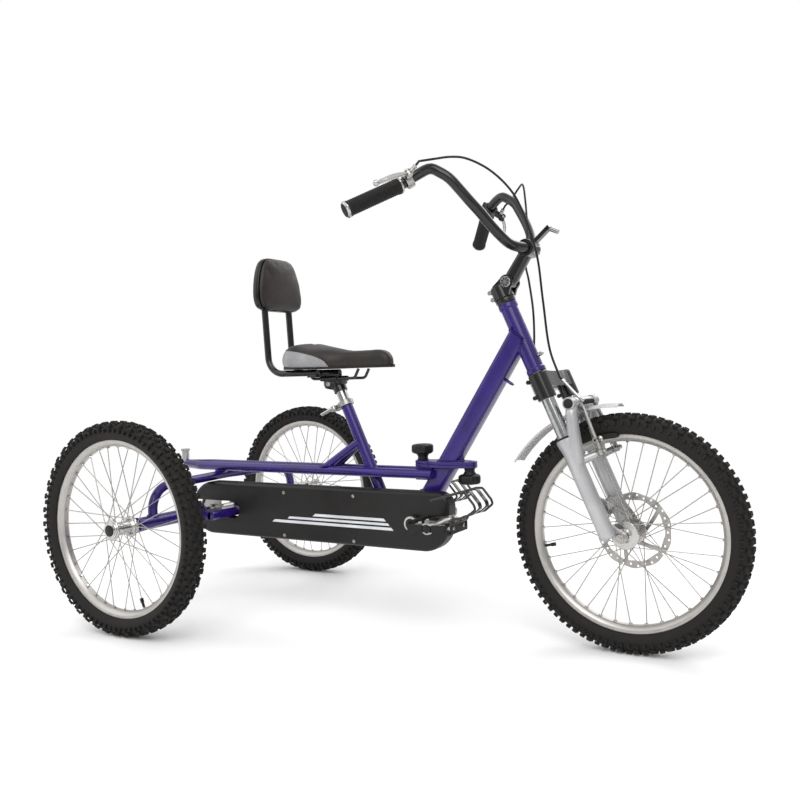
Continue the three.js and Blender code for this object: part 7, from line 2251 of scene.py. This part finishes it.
right_side = [bar_point(share, -1) for share in bar_shares][::-1]
left_side = [bar_point(share, 1) for share in bar_shares]
bar_line = curved([*right_side, *left_side], 7)
Bench(cockpit).tube(bar_line, bar_radius, 36).piece(
    "handlebar_tube", "cockpit", black_paint, ["handlebar"], "black_paint", bevel=0.6,
)
print("bar length", round(length_of(bar_line)), "mm")

# %% [markdown]
# Each grip is a moulded rubber sleeve with fine ribs, so the ribs are another ring of copies along a line.
# A bright ring closes the inner end, and a rounded end plug with a bright edge closes the outer one.

# %% Grips
grip_radius, grip_ring, grip_ring_wide, grip_cap, grip_start, grip_plug = 16, 17.5, 8, 4, 2, 14
rib_count, rib_wide, rib_rise = 22, 1.6, 0.55


def rib_tree():
    """Round ribs on a straight line, each a pair of cones back to back."""
    sizes = {"Start": 10.0, "Pitch": 4.0, "Radius": 16.0, "Width": 1.6}
    tree, sockets = new_tree("ribs_on_a_line", Count=20, **sizes, Finish="Material")
    index = add(tree, "GeometryNodeInputIndex").outputs["Index"]
    height = maths(tree, "ADD", maths(tree, "MULTIPLY", index, sockets["Pitch"]), sockets["Start"])
    shapes = add(tree, "GeometryNodeJoinGeometry")
    half = maths(tree, "MULTIPLY", sockets["Width"], 0.25)
    wide, low = sockets["Radius"], maths(tree, "SUBTRACT", sockets["Radius"], half)
    for top, bottom, shift in ((wide, low, -1.0), (low, wide, 0.0)):
        radii = {"Radius_Top": top, "Radius_Bottom": bottom}
        cone = add(tree, "GeometryNodeMeshCone", Vertices=36, Depth=half, **radii).outputs["Mesh"]
        rise = triple(tree, z=maths(tree, "MULTIPLY", half, shift))
        moved = add(tree, "GeometryNodeTransform", Geometry=cone, Translation=rise)
        tree.links.new(moved.outputs["Geometry"], shapes.inputs["Geometry"])
    points = placed_points(tree, sockets["Count"], triple(tree, z=height))
    return close_tree(tree, sockets["Finish"], Points=points, Instance=shapes.outputs["Geometry"])


ribs_on_a_line = rib_tree()


def make_grip(hand, name):
    length = (hand.outer - hand.inner).length
    place = cockpit @ frame_of(hand.inner, hand.hinge, hand.along)
    bore, wall, lip, end = bar_radius + 0.2, grip_radius - 0.4, grip_radius + 0.6, grip_plug - 0.1
    ring_stop, cap_stop = grip_start + grip_ring_wide, length + grip_cap
    sleeve = [
        (bore, grip_start), (lip + 0.2, grip_start), (lip + 0.2, ring_stop), (wall, ring_stop + 1.5),
        (wall, length - grip_ring_wide), (lip, length - grip_ring_wide + 1.5), (lip, length - 1),
        (end, length - 1), (end, cap_stop - 1.2), (grip_plug - 2, cap_stop - 0.6), (0, cap_stop - 0.6),
        (0, length - 3), (bore, length - 3),
    ]
    rubber = Bench(place).turned(sleeve, axis=z_way, sides=48)
    rubber.piece(f"{name}_grip_sleeve", "cockpit", grip_rubber, [f"grip_{name}"], "grip_rubber", bevel=0.4)
    first = ring_stop + 4
    pitch = (length - grip_ring_wide - 4 - first) / (rib_count - 1)
    line = {"Count": rib_count, "Start": first, "Pitch": pitch}
    look = (place, "cockpit", grip_rubber, "grip_rubber", 40)
    ribs = {"Radius": wall + rib_rise, "Width": rib_wide * 2}
    grown(f"{name}_grip_ribs", ribs_on_a_line, *look, **line, **ribs)
    inner = [
        (bore, grip_start - 1), (grip_ring, grip_start - 1), (grip_ring, grip_start + 2.5),
        (grip_radius, grip_start + 3), (bore, grip_start + 3),
    ]
    outer = [
        (grip_plug, length - 1.5), (grip_ring, length - 1.5), (grip_ring, length + 1),
        (grip_ring - 1.5, length + 2.6), (grip_ring - 3, cap_stop), (grip_plug, cap_stop),
    ]
    trim = Bench(place).turned(inner, axis=z_way, sides=48).turned(outer, axis=z_way, sides=48)
    trim.piece(f"{name}_grip_end_rings", "cockpit", polished_alloy, slot="alloy", bevel=0.3)


for hand, name in ((right_hand, "right"), (left_hand, "left")):
    make_grip(hand, name)
print("grip length", round((right_hand.outer - right_hand.inner).length))

# %% [markdown]
# The brake levers are die-cast: a clamp on the bar, a short arm with a slotted pivot, a cable adjuster and a
# curved blade with a ball end. The right one has a small lock button for parking.

# %% Brake levers
lever_clamp_half, lever_clamp_radius, lever_eye, lever_slot = 8, 17, 7, 3.4
blade_wide, blade_thick, blade_bow, ball_radius, barrel_thick = 10, 6, 5, 6.5, 5
button_radius, button_long, button_share = 3.2, 10, 0.66


def ball_profile(radius, steps=10):
    turns = [math.pi * k / steps - math.pi / 2 for k in range(steps + 1)]
    return [
        (max(0.0, radius * math.cos(t)) if 0 < k < steps else 0, radius * math.sin(t))
        for k, t in enumerate(turns)
    ]


def make_lever(hand, name, body_finish):
    body = Bench(cockpit)
    half = lever_clamp_half
    ring = collar_ring(bar_radius + 0.2, lever_clamp_radius, -half, half, 1.5)
    body.turned(ring, hand.clamp, hand.clamp_along, 40)
    waists = [(0.35, 14, 16), (0.6, 13, 15), (0.85, 13.5, 14), (1, 13.5, 12)]
    stations = [(hand.clamp.lerp(hand.pivot, share), wide, deep) for share, wide, deep in waists]
    body.rings(rounded_rings(stations, hand.hinge))
    pinch = hand.clamp - unit(hand.pivot - hand.clamp) * (lever_clamp_radius + 1)
    body.block((12, 9, 10), pinch, hand.hinge, hand.clamp_along)
    for end in (-1, 1):
        start = hand.pivot + hand.hinge * (end * lever_slot)
        body.rod(start, hand.pivot + hand.hinge * (end * lever_eye), lever_eye + 0.6, sides=32)
    body.piece(f"{name}_lever_casting", "cockpit", body_finish, [f"lever_body_{name}"], "alloy", bevel=1.0)
    trim = Bench(cockpit)
    foot, top, axis = hand.barrel_foot, hand.barrel_end, hand.barrel_axis
    long = (top - foot).length
    adjuster = [
        (0, 0), (3.4, 0), (3.4, long * 0.3), (barrel_thick, long * 0.34), (barrel_thick, long * 0.62),
        (3.8, long * 0.66), (3.8, long * 0.74), (barrel_thick - 0.4, long * 0.78),
        (barrel_thick - 0.4, long - 1.5), (barrel_thick - 1.8, long), (0, long),
    ]
    trim.turned(adjuster, foot, axis, 24)
    screw = hand.pivot + hand.hinge * (lever_eye - 0.5)
    trim.turned(screw_head(4.6, 1.6, 3.6, 2.4, 1.6, 1.2), screw, hand.hinge, 24)
    bolt = pinch + hand.hinge * 5.5
    trim.turned([(0, 0), (3.6, 0), (3.6, 2.6), (2, 2.6), (2, 1.2), (0, 1.2)], bolt, hand.hinge, 20)
    trim.piece(f"{name}_lever_trim", "cockpit", bolt_steel, slot="alloy", bevel=0.25)
    blade = Bench(cockpit)
    way = hand.tip - hand.pivot
    out = unit(hand.out - unit(way) * hand.out.dot(unit(way)))
    shares = [0.0, 0.08, 0.18, 0.3, 0.45, 0.6, 0.75, 0.88, 0.97]
    widths = [0.66, 0.66, 0.82, 0.98, 1.08, 1.08, 1.02, 0.92, 0.8]
    spine = [hand.pivot + way * s + out * (blade_bow * math.sin(math.pi * min(1, s * 1.15))) for s in shares]
    stations = [
        (p, blade_wide * w, blade_thick * (0.9 if 0.1 < s < 0.9 else 0.8))
        for p, w, s in zip(spine, widths, shares)
    ]
    stations[0] = (spine[0], 2 * lever_slot - 0.9, blade_thick)
    stations[1] = (spine[1], 2 * lever_slot - 0.9, blade_thick)
    blade.rings(rounded_rings(stations, hand.hinge, 0.4))
    blade.turned(ball_profile(ball_radius), hand.tip, hand.hinge, 24)
    blade.turned(
        sleeve_ring(0, lever_eye - 0.6, -lever_slot + 0.4, lever_slot - 0.4), hand.pivot, hand.hinge, 32,
    )
    blade.piece(
        f"{name}_lever_blade_casting", f"lever_{name}", polished_alloy, [f"lever_blade_{name}"], "alloy",
        bevel=0.5,
    )


make_lever(right_hand, "right", cast_alloy)
make_lever(left_hand, "left", black_paint)
foot = right_hand.clamp.lerp(right_hand.pivot, button_share)
button = Bench(cockpit).rod(foot, foot + right_hand.hinge * (button_long - 2), button_radius - 0.6, sides=24)
button.turned(
    plug(button_radius, button_long - 3.5, button_long - 0.8, button_radius - 0.9, button_long), foot,
    right_hand.hinge, 28,
)
button.piece("parking_lock_button", "lock_button", chrome, ["lock_button"], "chrome_steel", bevel=0.3)
print("lever blade", round((right_hand.tip - right_hand.pivot).length), "mm")

# %% [markdown]
# In front of the bar a flat black bracket with a short bright peg carries whatever the rider brings along.

# %% Accessory bracket
bracket_arm, bracket_wide, bracket_thick = 46, 16, 9
bracket_turn, peg_turn, peg_radius, peg_long = math.radians(40.5), math.radians(-24), 5, 26
bracket_way = Vector((math.cos(bracket_turn), 0, math.sin(bracket_turn)))
peg_way = Vector((math.cos(peg_turn), 0, math.sin(peg_turn)))
bracket_end = bracket_way * (clamp_outer + bracket_arm)
peg_start = bracket_way * (clamp_outer + bracket_arm - peg_radius)
plate = Bench(cockpit).bar(bracket_way * (clamp_outer - 2), bracket_end, bracket_wide, bracket_thick)
plate.block((14, 26, 5), bracket_way * (clamp_outer + 1), Vector((-bracket_way.z, 0, bracket_way.x)), y_way)
plate.piece("bracket_plate", "cockpit", black_paint, ["accessory_bracket"], "black_paint", bevel=1.0)
peg = Bench(cockpit).rod(peg_start, peg_start + peg_way * (peg_long - 1), peg_radius, sides=36)
peg.turned([(0, 0), (peg_radius + 1, 0), (peg_radius + 1, 2), (0, 2)], peg_start + peg_way * 4, peg_way, 32)
peg.piece("bracket_peg", "cockpit", chrome, slot="chrome_steel", bevel=0.8)
print("bracket", bracket_arm, "mm")

# %% [markdown]
# The split joint is held by two hand knobs. Each has a lobed, domed head that a weak hand can grip, a flared
# neck and a plated stud. The head is a loft of lobed outlines, drawn in at both ends.

# %% Hand knobs
knob_neck, knob_neck_long, knob_head, knob_tall, stud_radius = 12, 14, 26, 23, 5
knob_lobe, knob_lobes = 2.4, 7
knob_shares = [
    (0, 0.62), (0.06, 0.8), (0.16, 0.95), (0.3, 1), (0.72, 1), (0.88, 0.95), (0.96, 0.84), (1, 0.66),
    (1, 0.2),
]


def lobed(size):
    return wavy(knob_head * size, knob_lobe * size, knob_lobes, math.pi, 112)


def make_knob(name, x, face, direction, stud_end):
    head = Bench()
    start = face + direction * knob_neck_long
    rings = [
        [(x + u, v, start + direction * knob_tall * share) for u, v in lobed(size)]
        for share, size in knob_shares
    ]
    head.rings(rings)
    neck = [
        (0, 0), (knob_neck + 1.5, 0), (knob_neck + 1.5, 1.5), (knob_neck, 2.5),
        (knob_neck - 0.5, knob_neck_long * 0.6), (knob_neck + 3, knob_neck_long),
        (knob_neck + 3, knob_neck_long + 2), (0, knob_neck_long + 2),
    ]
    head.turned(neck, (x, 0, face), z_way * direction, 48)
    head.piece(f"{name}_knob_moulding", f"knob_{name}", knob_plastic, [f"knob_{name}"], "black_plastic")
    stud = Bench().rod((x, 0, face + direction), (x, 0, stud_end), stud_radius, sides=28)
    stud.piece(f"{name}_knob_stud", f"knob_{name}", bolt_steel, slot="alloy", bevel=0.6)


knob_x, rear_knob_back, front_knob_ahead = beam_at(split_height).x, 68.3, 52.7
rear_low, rear_high = (v.z / millimetre for v in (Vector(c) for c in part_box("knob_rear")))
front_low = Vector(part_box("knob_front")[0]).z / millimetre
knob_reach, plate_top = knob_tall + knob_neck_long, split_height + plate_thickness
make_knob("rear", knob_x - rear_knob_back, rear_high - knob_reach, 1, rear_low)
make_knob("front", knob_x + front_knob_ahead, front_low + knob_reach, -1, plate_top - 1)
print("knob heads", 2 * knob_head, "mm across")

# %% [markdown]
# The seat post is chromed tube in a split silver collar with a quick lever. Two black spring-steel wires
# carry the saddle over a cast clamp, and two bent tubes rise behind it to the back pad.

# %% Seat collar, lever, post and rails
post_radius, post_inside, collar_radius, collar_high, collar_bore = 12.7, 120, 19, 13, 14.3
ear_long, ear_wide, collar_slit = 14, 16, 2
lever_back, lever_side, lever_post, lever_eye_radius, seat_lever_long, lug_thick = 28, 15, 2.5, 6, 38, 3
wire_thick, wire_side, wire_z, wire_rear, wire_front, wire_bend = 3.5, 22, 580, 296, 445, 12
saddle_low, clamp_place, clamp_size = 604, Vector((358, 0, 568)), (60, 46, 28)

collar = Bench(seat_stack)
collar.turned(collar_ring(collar_bore, collar_radius, -collar_high, 0, 0.8), (0, 0, 0), z_way, 56)
for side in (-1, 1):
    wide = (ear_wide - collar_slit) / 2
    collar.block(
        (ear_long + 2, wide, collar_high),
        (1 - collar_radius - ear_long / 2, side * (collar_slit / 2 + wide / 2), -collar_high / 2),
    )
lug_wide = lever_side + lever_eye_radius
collar.block((ear_long, lug_wide, lug_thick), (-lever_back, -lug_wide / 2, lug_thick / 2 - collar_high))
collar.rod((-lever_back, -lever_side, -collar_high), (-lever_back, -lever_side, 0), lever_post, sides=24)
collar.piece("seat_collar_ring", "frame", cast_alloy, ["seat_collar"], "alloy", bevel=0.8)
low = -collar_high + lug_thick + 0.4
lever = Bench(seat_stack)
eye = Vector((-lever_back, -lever_side, 0))
lever.turned(sleeve_ring(lever_post + 0.5, lever_eye_radius, low, -0.4), eye, z_way, 32)
middle = eye + z_way * ((low - 0.4) / 2)
stations = []
for share in (0.12, 0.3, 0.5, 0.7, 0.9, 1.0, 1.08):
    wide, deep = 7 + 2.4 * share - 1.5 * share * share, (-low - 0.8) * (1 - 0.25 * share)
    stations.append((middle - x_way * (seat_lever_long * share), wide, deep))
lever.rings(rounded_rings(stations, y_way, 0.45))
lever.piece("seat_quick_lever", "seat_lever", polished_alloy, ["seat_lever"], "alloy", bevel=0.6)
post = Bench(seat_stack).rod((0, 0, -post_inside), (0, 0, post_outside), post_radius, sides=56)
post.piece("seat_post_tube", "seat", chrome, ["seat_post"], "chrome_steel", bevel=0.6)

wires = Bench()
for side in (-1, 1):
    y = side * wire_side
    top = saddle_low - 0.3 - wire_thick / 2
    corners = [
        (wire_rear, y, top), (wire_rear + wire_bend, y, wire_z), (wire_front - wire_bend, y, wire_z),
        (wire_front, y, top),
    ]
    wires.tube(spaced(bend(corners, wire_bend, 8), 3), wire_thick, 20)
x, z = clamp_place.x, clamp_place.z
long, wide, tall = clamp_size
shrinks = [(0, tall / 2, 0, 0), (0, 6, 0, 0), (3, 2, 6, 12), (5, -8, 10, 18), (6, -tall / 2, 16, 26)]
stations = [
    ((x - back, 0, z + up), wide - narrower, long - shorter)
    for back, up, narrower, shorter in shrinks
]
wires.rings(rounded_rings(stations, y_way))
wires.rod(post_head - seat_way * 9, post_head + seat_way * 6, post_radius + 4, sides=40)
for side in (-1, 1):
    wires.rod(
        (x - 24, side * wire_side, wire_z), (x + 24, side * wire_side, wire_z), wire_thick + 3, sides=24,
    )
wires.piece("saddle_wires_and_clamp", "seat", black_paint, ["saddle_rails"], "black_paint", bevel=0.8)
bolts = Bench()
for side in (-1, 1):
    bolts.turned(
        screw_head(6, 2.6, 4.6, 4, 2.4, 2, -2), (x - 4, side * (clamp_size[1] / 2 - 4), z - 1), y_way * side,
        28,
    )
bolts.piece("saddle_clamp_bolts", "seat", bolt_steel, slot="alloy", bevel=0.4)
print("saddle wires", round(wire_front - wire_rear), "mm")

# %% [markdown]
# The two padded pieces are foam under vinyl. Each starts as a loft that is a little too small, is remeshed
# into even squares, and is then blown up by the cloth solver like a cover pulled over foam. The underside is
# pinned, so it stays flat on its base, and no point may travel further than a few millimetres.

# %% Cloth for padded covers
cloth_pressure, cloth_frames, cloth_voxel, cloth_cap, smooth_passes = 4.0, 20, 4.5, 6.0, 5


def points_of(mesh):
    flat = np.empty(len(mesh.vertices) * 3, dtype=np.float32)
    mesh.vertices.foreach_get("co", flat)
    return flat.reshape(-1, 3)


def inflate(made, pinned):
    """Swells a closed form like a cover over foam; pinned(point) says which points stay."""
    even = made.modifiers.new("even_squares", "REMESH")
    even.mode = "VOXEL"
    even.voxel_size = cloth_voxel * millimetre
    mesh = applied(made)
    start = points_of(mesh)
    held = [i for i, point in enumerate(start) if pinned(point)]
    group = made.vertex_groups.new(name="held")
    group.add(held, 1.0, "REPLACE")
    cover = made.modifiers.new("cover", "CLOTH")
    cover.settings.use_pressure = True
    cover.settings.uniform_pressure_force = cloth_pressure
    cover.settings.effector_weights.gravity = 0
    cover.settings.vertex_group_mass = "held"
    cover.point_cache.frame_start, cover.point_cache.frame_end = 1, cloth_frames
    for number in range(1, cloth_frames + 1):
        bpy.context.scene.frame_set(number)
    graph = bpy.context.evaluated_depsgraph_get()
    moved = points_of(made.evaluated_get(graph).to_mesh()) - start
    made.evaluated_get(graph).to_mesh_clear()
    far = np.linalg.norm(moved, axis=1, keepdims=True)
    limit = cloth_cap * millimetre
    moved *= np.minimum(1, limit / np.maximum(far, 1e-9))
    mesh.vertices.foreach_set("co", (start + moved).ravel())
    made.modifiers.clear()
    made.vertex_groups.clear()
    bpy.context.scene.frame_set(1)
    mesh.polygons.foreach_set("use_smooth", [True] * len(mesh.polygons))
    even = made.modifiers.new("even_skin", "SMOOTH")
    even.factor, even.iterations = 0.5, smooth_passes
    soft = made.modifiers.new("soft", "SUBSURF")
    soft.levels = soft.render_levels = 1
    return float(np.abs(moved).max()) / millimetre


def smooth_shares(shares, spacing):
    return [tuple(p) for p in curved(shares, spacing)]


def as_padding(made, body, node):
    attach(made, body)
    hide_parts(node)


print("cloth cap", cloth_cap, "mm")

# %% [markdown]
# The saddle is wide at the back and slim at the nose. Its cover is black vinyl with a grey panel let into
# each rear corner, and a piped seam runs along the panel's edge. The panel's edge is a rounded curve in the
# saddle's side view, so the finish works it out from the place on the surface.

# %% Saddle
saddle_rear, saddle_long, saddle_tall, saddle_half = 242, 287, 64, 100
saddle_shares = [
    (0, 0.52, 0.36), (0.012, 0.62, 0.58), (0.05, 0.78, 0.84), (0.105, 0.92, 1), (0.17, 1, 0.98),
    (0.237, 1, 0.91), (0.307, 0.93, 0.84), (0.376, 0.73, 0.79), (0.446, 0.52, 0.745), (0.516, 0.38, 0.71),
    (0.571, 0.31, 0.69), (0.69, 0.26, 0.672), (0.794, 0.235, 0.68), (0.875, 0.218, 0.705),
    (0.93, 0.198, 0.66), (0.969, 0.166, 0.55), (0.993, 0.12, 0.38), (1, 0.085, 0.26),
]
saddle_section = [
    (0, 0), (0.5, 0), (0.86, 0.03), (0.97, 0.2), (1, 0.42), (0.93, 0.68), (0.76, 0.88), (0.5, 0.98),
    (0.24, 1), (0, 0.95),
]
panel_long, panel_high, panel_power = 0.46, 0.74, 2.3
saddle_slim = 3.0
piping_radius, piping_steps, base_thick, base_share, cover_lift = 1.3, 60, 7, 0.86, 1.5


def panel_mask(tree, place):
    """How far a point lies from the panel's edge: below one inside, above one outside."""
    parts = add(tree, "ShaderNodeSeparateXYZ", Vector=place)
    corner = to_row((saddle_rear, 0, saddle_low))
    terms = []
    sizes = (("X", corner.x, saddle_long * panel_long), ("Z", corner.z, saddle_tall * panel_high))
    for axis, offset, size in sizes:
        run = maths(tree, "SUBTRACT", parts.outputs[axis], offset)
        share = maths(tree, "MAXIMUM", maths(tree, "DIVIDE", run, size * millimetre), 0.0)
        terms.append(maths(tree, "POWER", share, panel_power))
    return maths(tree, "ADD", *terms)


def two_tone_vinyl():
    """Black vinyl with the grey panel let in, both with the same hide grain."""
    material, tree, shader, place, cloud = vinyl_finish("two_tone_vinyl")
    black = colour_blend(tree, cloud, "#1a1512", "#261f1b", 0.3, 0.7)
    grey = colour_blend(tree, cloud, "#858486", "#98979a", 0.3, 0.7)
    mask = panel_mask(tree, place)
    inside = add(tree, "ShaderNodeMapRange", Value=mask, From_Min=1.02, From_Max=0.98).outputs["Result"]
    mixed = add(tree, "ShaderNodeMix", {"data_type": "RGBA"}, i0=inside, i6=black, i7=grey)
    tree.links.new(mixed.outputs[2], shader.inputs["Base Color"])
    tree.links.new(roughness_blend(tree, cloud, 0.38, 0.52), shader.inputs["Roughness"])
    return material


def mirrored_section(shares, spacing):
    """A half section's shares as a smooth closed outline."""
    half = smooth_shares([(u, v, 0) for u, v in shares], spacing)
    return [*[(u, v) for u, v, _ in half], *[(-u, v) for u, v, _ in half[1:-1][::-1]]]


def saddle_rings(slim):
    """The saddle's loft, drawn in by slim all round."""
    long, half, floor = saddle_long - 2 * slim, saddle_half - slim, saddle_low + cover_lift
    high = saddle_tall - cover_lift - slim
    section = mirrored_section(saddle_section, 0.06)
    rings = []
    for along, wide, tall in smooth_shares(saddle_shares, 0.025):
        x = saddle_rear + slim + long * along
        rings.append([(x, half * wide * u, floor + high * tall * v) for u, v in section])
    return rings


def make_saddle():
    loft = Bench().rings(saddle_rings(saddle_slim))
    made = loft.piece("saddle_cover", None, two_tone_vinyl(), sharp_degrees=80)
    floor = (saddle_low + cover_lift + 3) * millimetre
    return made, inflate(made, lambda point: point[2] < floor)


def add_piping(cover):
    """A thin piped seam along both panels' edges, on the cover's own surface."""
    shape = cover.evaluated_get(bpy.context.evaluated_depsgraph_get())
    piping = Bench()
    for side in (-1, 1):
        line = []
        for k in range(piping_steps + 1):
            turn = math.pi / 2 * k / piping_steps
            u = panel_long * math.cos(turn) ** (2 / panel_power)
            v = panel_high * math.sin(turn) ** (2 / panel_power)
            x, z = saddle_rear + saddle_long * u, saddle_low + saddle_tall * v
            start = to_row((x, side * 2 * saddle_half, z))
            hit, spot, _, _ = shape.ray_cast(start, Vector((0, -side, 0)))
            if hit:
                line.append(spot / millimetre + x_way * middle_x)
        piping.tube(spaced(line, 3), piping_radius, 10)
    piping.piece("saddle_piping", "seat", black_vinyl, slot="vinyl")


cover, travel = make_saddle()
add_piping(cover)
as_padding(cover, "seat", "saddle")
shares = [(along, wide * base_share) for along, wide, _ in smooth_shares(saddle_shares, 0.03)]
lower_edge = [(saddle_rear + saddle_long * along, saddle_half * wide) for along, wide in shares]
outline = [*lower_edge, *[(x, -y) for x, y in lower_edge[::-1]]]
base = Bench().slab([outline], (0, 0, saddle_low), x_way, y_way, base_thick)
base.piece("saddle_base", "seat", guard_plastic, slot="black_plastic", bevel=1.5)
print("saddle cover moved by up to", round(travel, 1), "mm")

# %% [markdown]
# The back pad is a thin cushion on a deep glossy shell, egg-shaped and narrower at the top. The shell is
# moulded plastic, so it has a rounded rim, and the tubes plug into it from below.

# %% Backrest
back_front, back_low, back_lean, pad_thick, shell_thick, back_half, back_tall = 211, 752, math.radians(
    3.2
), 14, 23, 81, 134
back_shares = [
    (0, 0), (0.4, 0), (0.75, 0.02), (0.93, 0.08), (1, 0.22), (0.98, 0.42), (0.91, 0.62), (0.8, 0.8),
    (0.66, 0.93), (0.45, 0.99), (0.2, 1), (0, 1),
]
pad_shares = [(1, 0.95), (0.8, 0.99), (0.5, 1), (0.2, 0.965), (0.08, 0.9), (0.02, 0.8), (0, 0.66), (0, 0.4)]
shell_shares = [(1, 0.72), (0.98, 0.82), (0.9, 0.9), (0.78, 0.95), (0.5, 0.995), (0.1, 0.99), (0, 0.97)]
pad_slim = 1.5
tube_radius, tube_side, tube_z, tube_front, tube_bend, tube_end = 8, 46, 595, 342, 42, 110
plate_long, plate_tall, back_bolt_heights = 26, 8, (38, 96)
back_forward, back_up = ((math.cos(t), 0, math.sin(t)) for t in (back_lean, back_lean + math.pi / 2))
backrest = frame_of((back_front, 0, back_low), back_forward, back_up)
shell_gloss = moulded("glossy_black_shell", "#100f0e", "#181615", 0.26, 30, 0.02)


def back_rings(start, thickness, shares, slim=0.0):
    """A loft of egg-shaped rings from start backwards, each scaled by its share."""
    egg = [(back_half * u, back_tall * (v - 0.5)) for u, v in mirrored_section(back_shares, 0.05)]
    rings = []
    for depth, share in shares:
        size = share - slim / back_half
        rings.append([(-start - thickness * depth, y * size, back_tall / 2 + z * size) for y, z in egg])
    return rings


def make_back_pad():
    slim = pad_slim
    rings = back_rings(slim, pad_thick - slim, pad_shares, slim)
    made = Bench(backrest).rings(rings).piece("back_pad_cover", None, black_vinyl, sharp_degrees=80)
    rest = backrest @ Vector((-pad_thick, 0, 0))
    normal = (backrest.to_3x3() @ x_way).normalized()
    level = to_row(rest).dot(normal) + 2.5 * millimetre
    return made, inflate(made, lambda point: Vector(point.tolist()).dot(normal) < level)


pad, travel = make_back_pad()
as_padding(pad, "seat", "backrest_pad")
shell = Bench(backrest).rings(back_rings(pad_thick + 0.3, shell_thick, shell_shares))
shell.piece("backrest_shell_moulding", "seat", shell_gloss, ["backrest_shell"], "black_plastic", bevel=0.6)
tubes = Bench()
depth = pad_thick + 0.3 + shell_thick / 2
top = backrest @ Vector((-depth, 0, tube_end))
foot = backrest @ Vector((-depth, 0, (tube_z - back_low) / math.cos(back_lean)))
for side in (-1, 1):
    y = side * tube_side
    corners = [(top.x, y, top.z), (foot.x, y, tube_z), (tube_front, y, tube_z)]
    tubes.tube(spaced(bend(corners, tube_bend, 16), 6), tube_radius, 28)
plate_low = wire_z + wire_thick + 0.3
tubes.block(
    (plate_long, 2 * (tube_side + tube_radius), plate_tall),
    (tube_front - plate_long / 2, 0, plate_low + plate_tall / 2),
)
tubes.piece("backrest_tube_pair", "seat", black_paint, ["backrest_tubes"], "black_paint", bevel=0.8)
bolts = Bench(backrest)
for side in (-1, 1):
    for height in back_bolt_heights:
        bolts.turned(plug(4.2, -2, 1, 3, 2), (-depth - shell_thick / 2, side * tube_side, height), -x_way, 24)
bolts.piece("backrest_bolts", "seat", bolt_steel, slot="alloy", bevel=0.3)
print("back pad moved by up to", round(travel, 1), "mm")

# %% [markdown]
# A few small fittings finish the frame: a bent wire loop under the beam that once guided a cable, and a cable
# stop screwed to the front of the head tube.

# %% Small frame fittings
loop_wire, loop_height, loop_start, loop_drop, loop_half, stop_height = 2.2, 580, 19, 22, 5, 34
under = Vector((math.sin(beam_angle), 0, -math.cos(beam_angle)))
hang = beam_at(loop_height) + under * loop_start
corners = [
    hang + y_way * (loop_half * y) + under * (loop_drop * z)
    for y, z in ((-1, 0), (-1, 1), (1, 1), (1, 0))
]
wire = Bench().tube(spaced(bend(corners, 4, 6), 1.5), loop_wire, 12)
wire.piece("cable_loop", "frame", violet_paint, slot="frame_paint")
stop = Bench(steering)
spot = Vector((19, 0, stop_height))
stop.rod(spot - x_way * 2, spot + x_way * 9, 4.5, sides=24)
stop.rod(spot + x_way * 8 - y_way * 6, spot + x_way * 8 + y_way * 6, 3.6, sides=24)
stop.piece("head_tube_cable_stop", "frame", bolt_steel, slot="alloy", bevel=0.5)
print("fittings", 2)
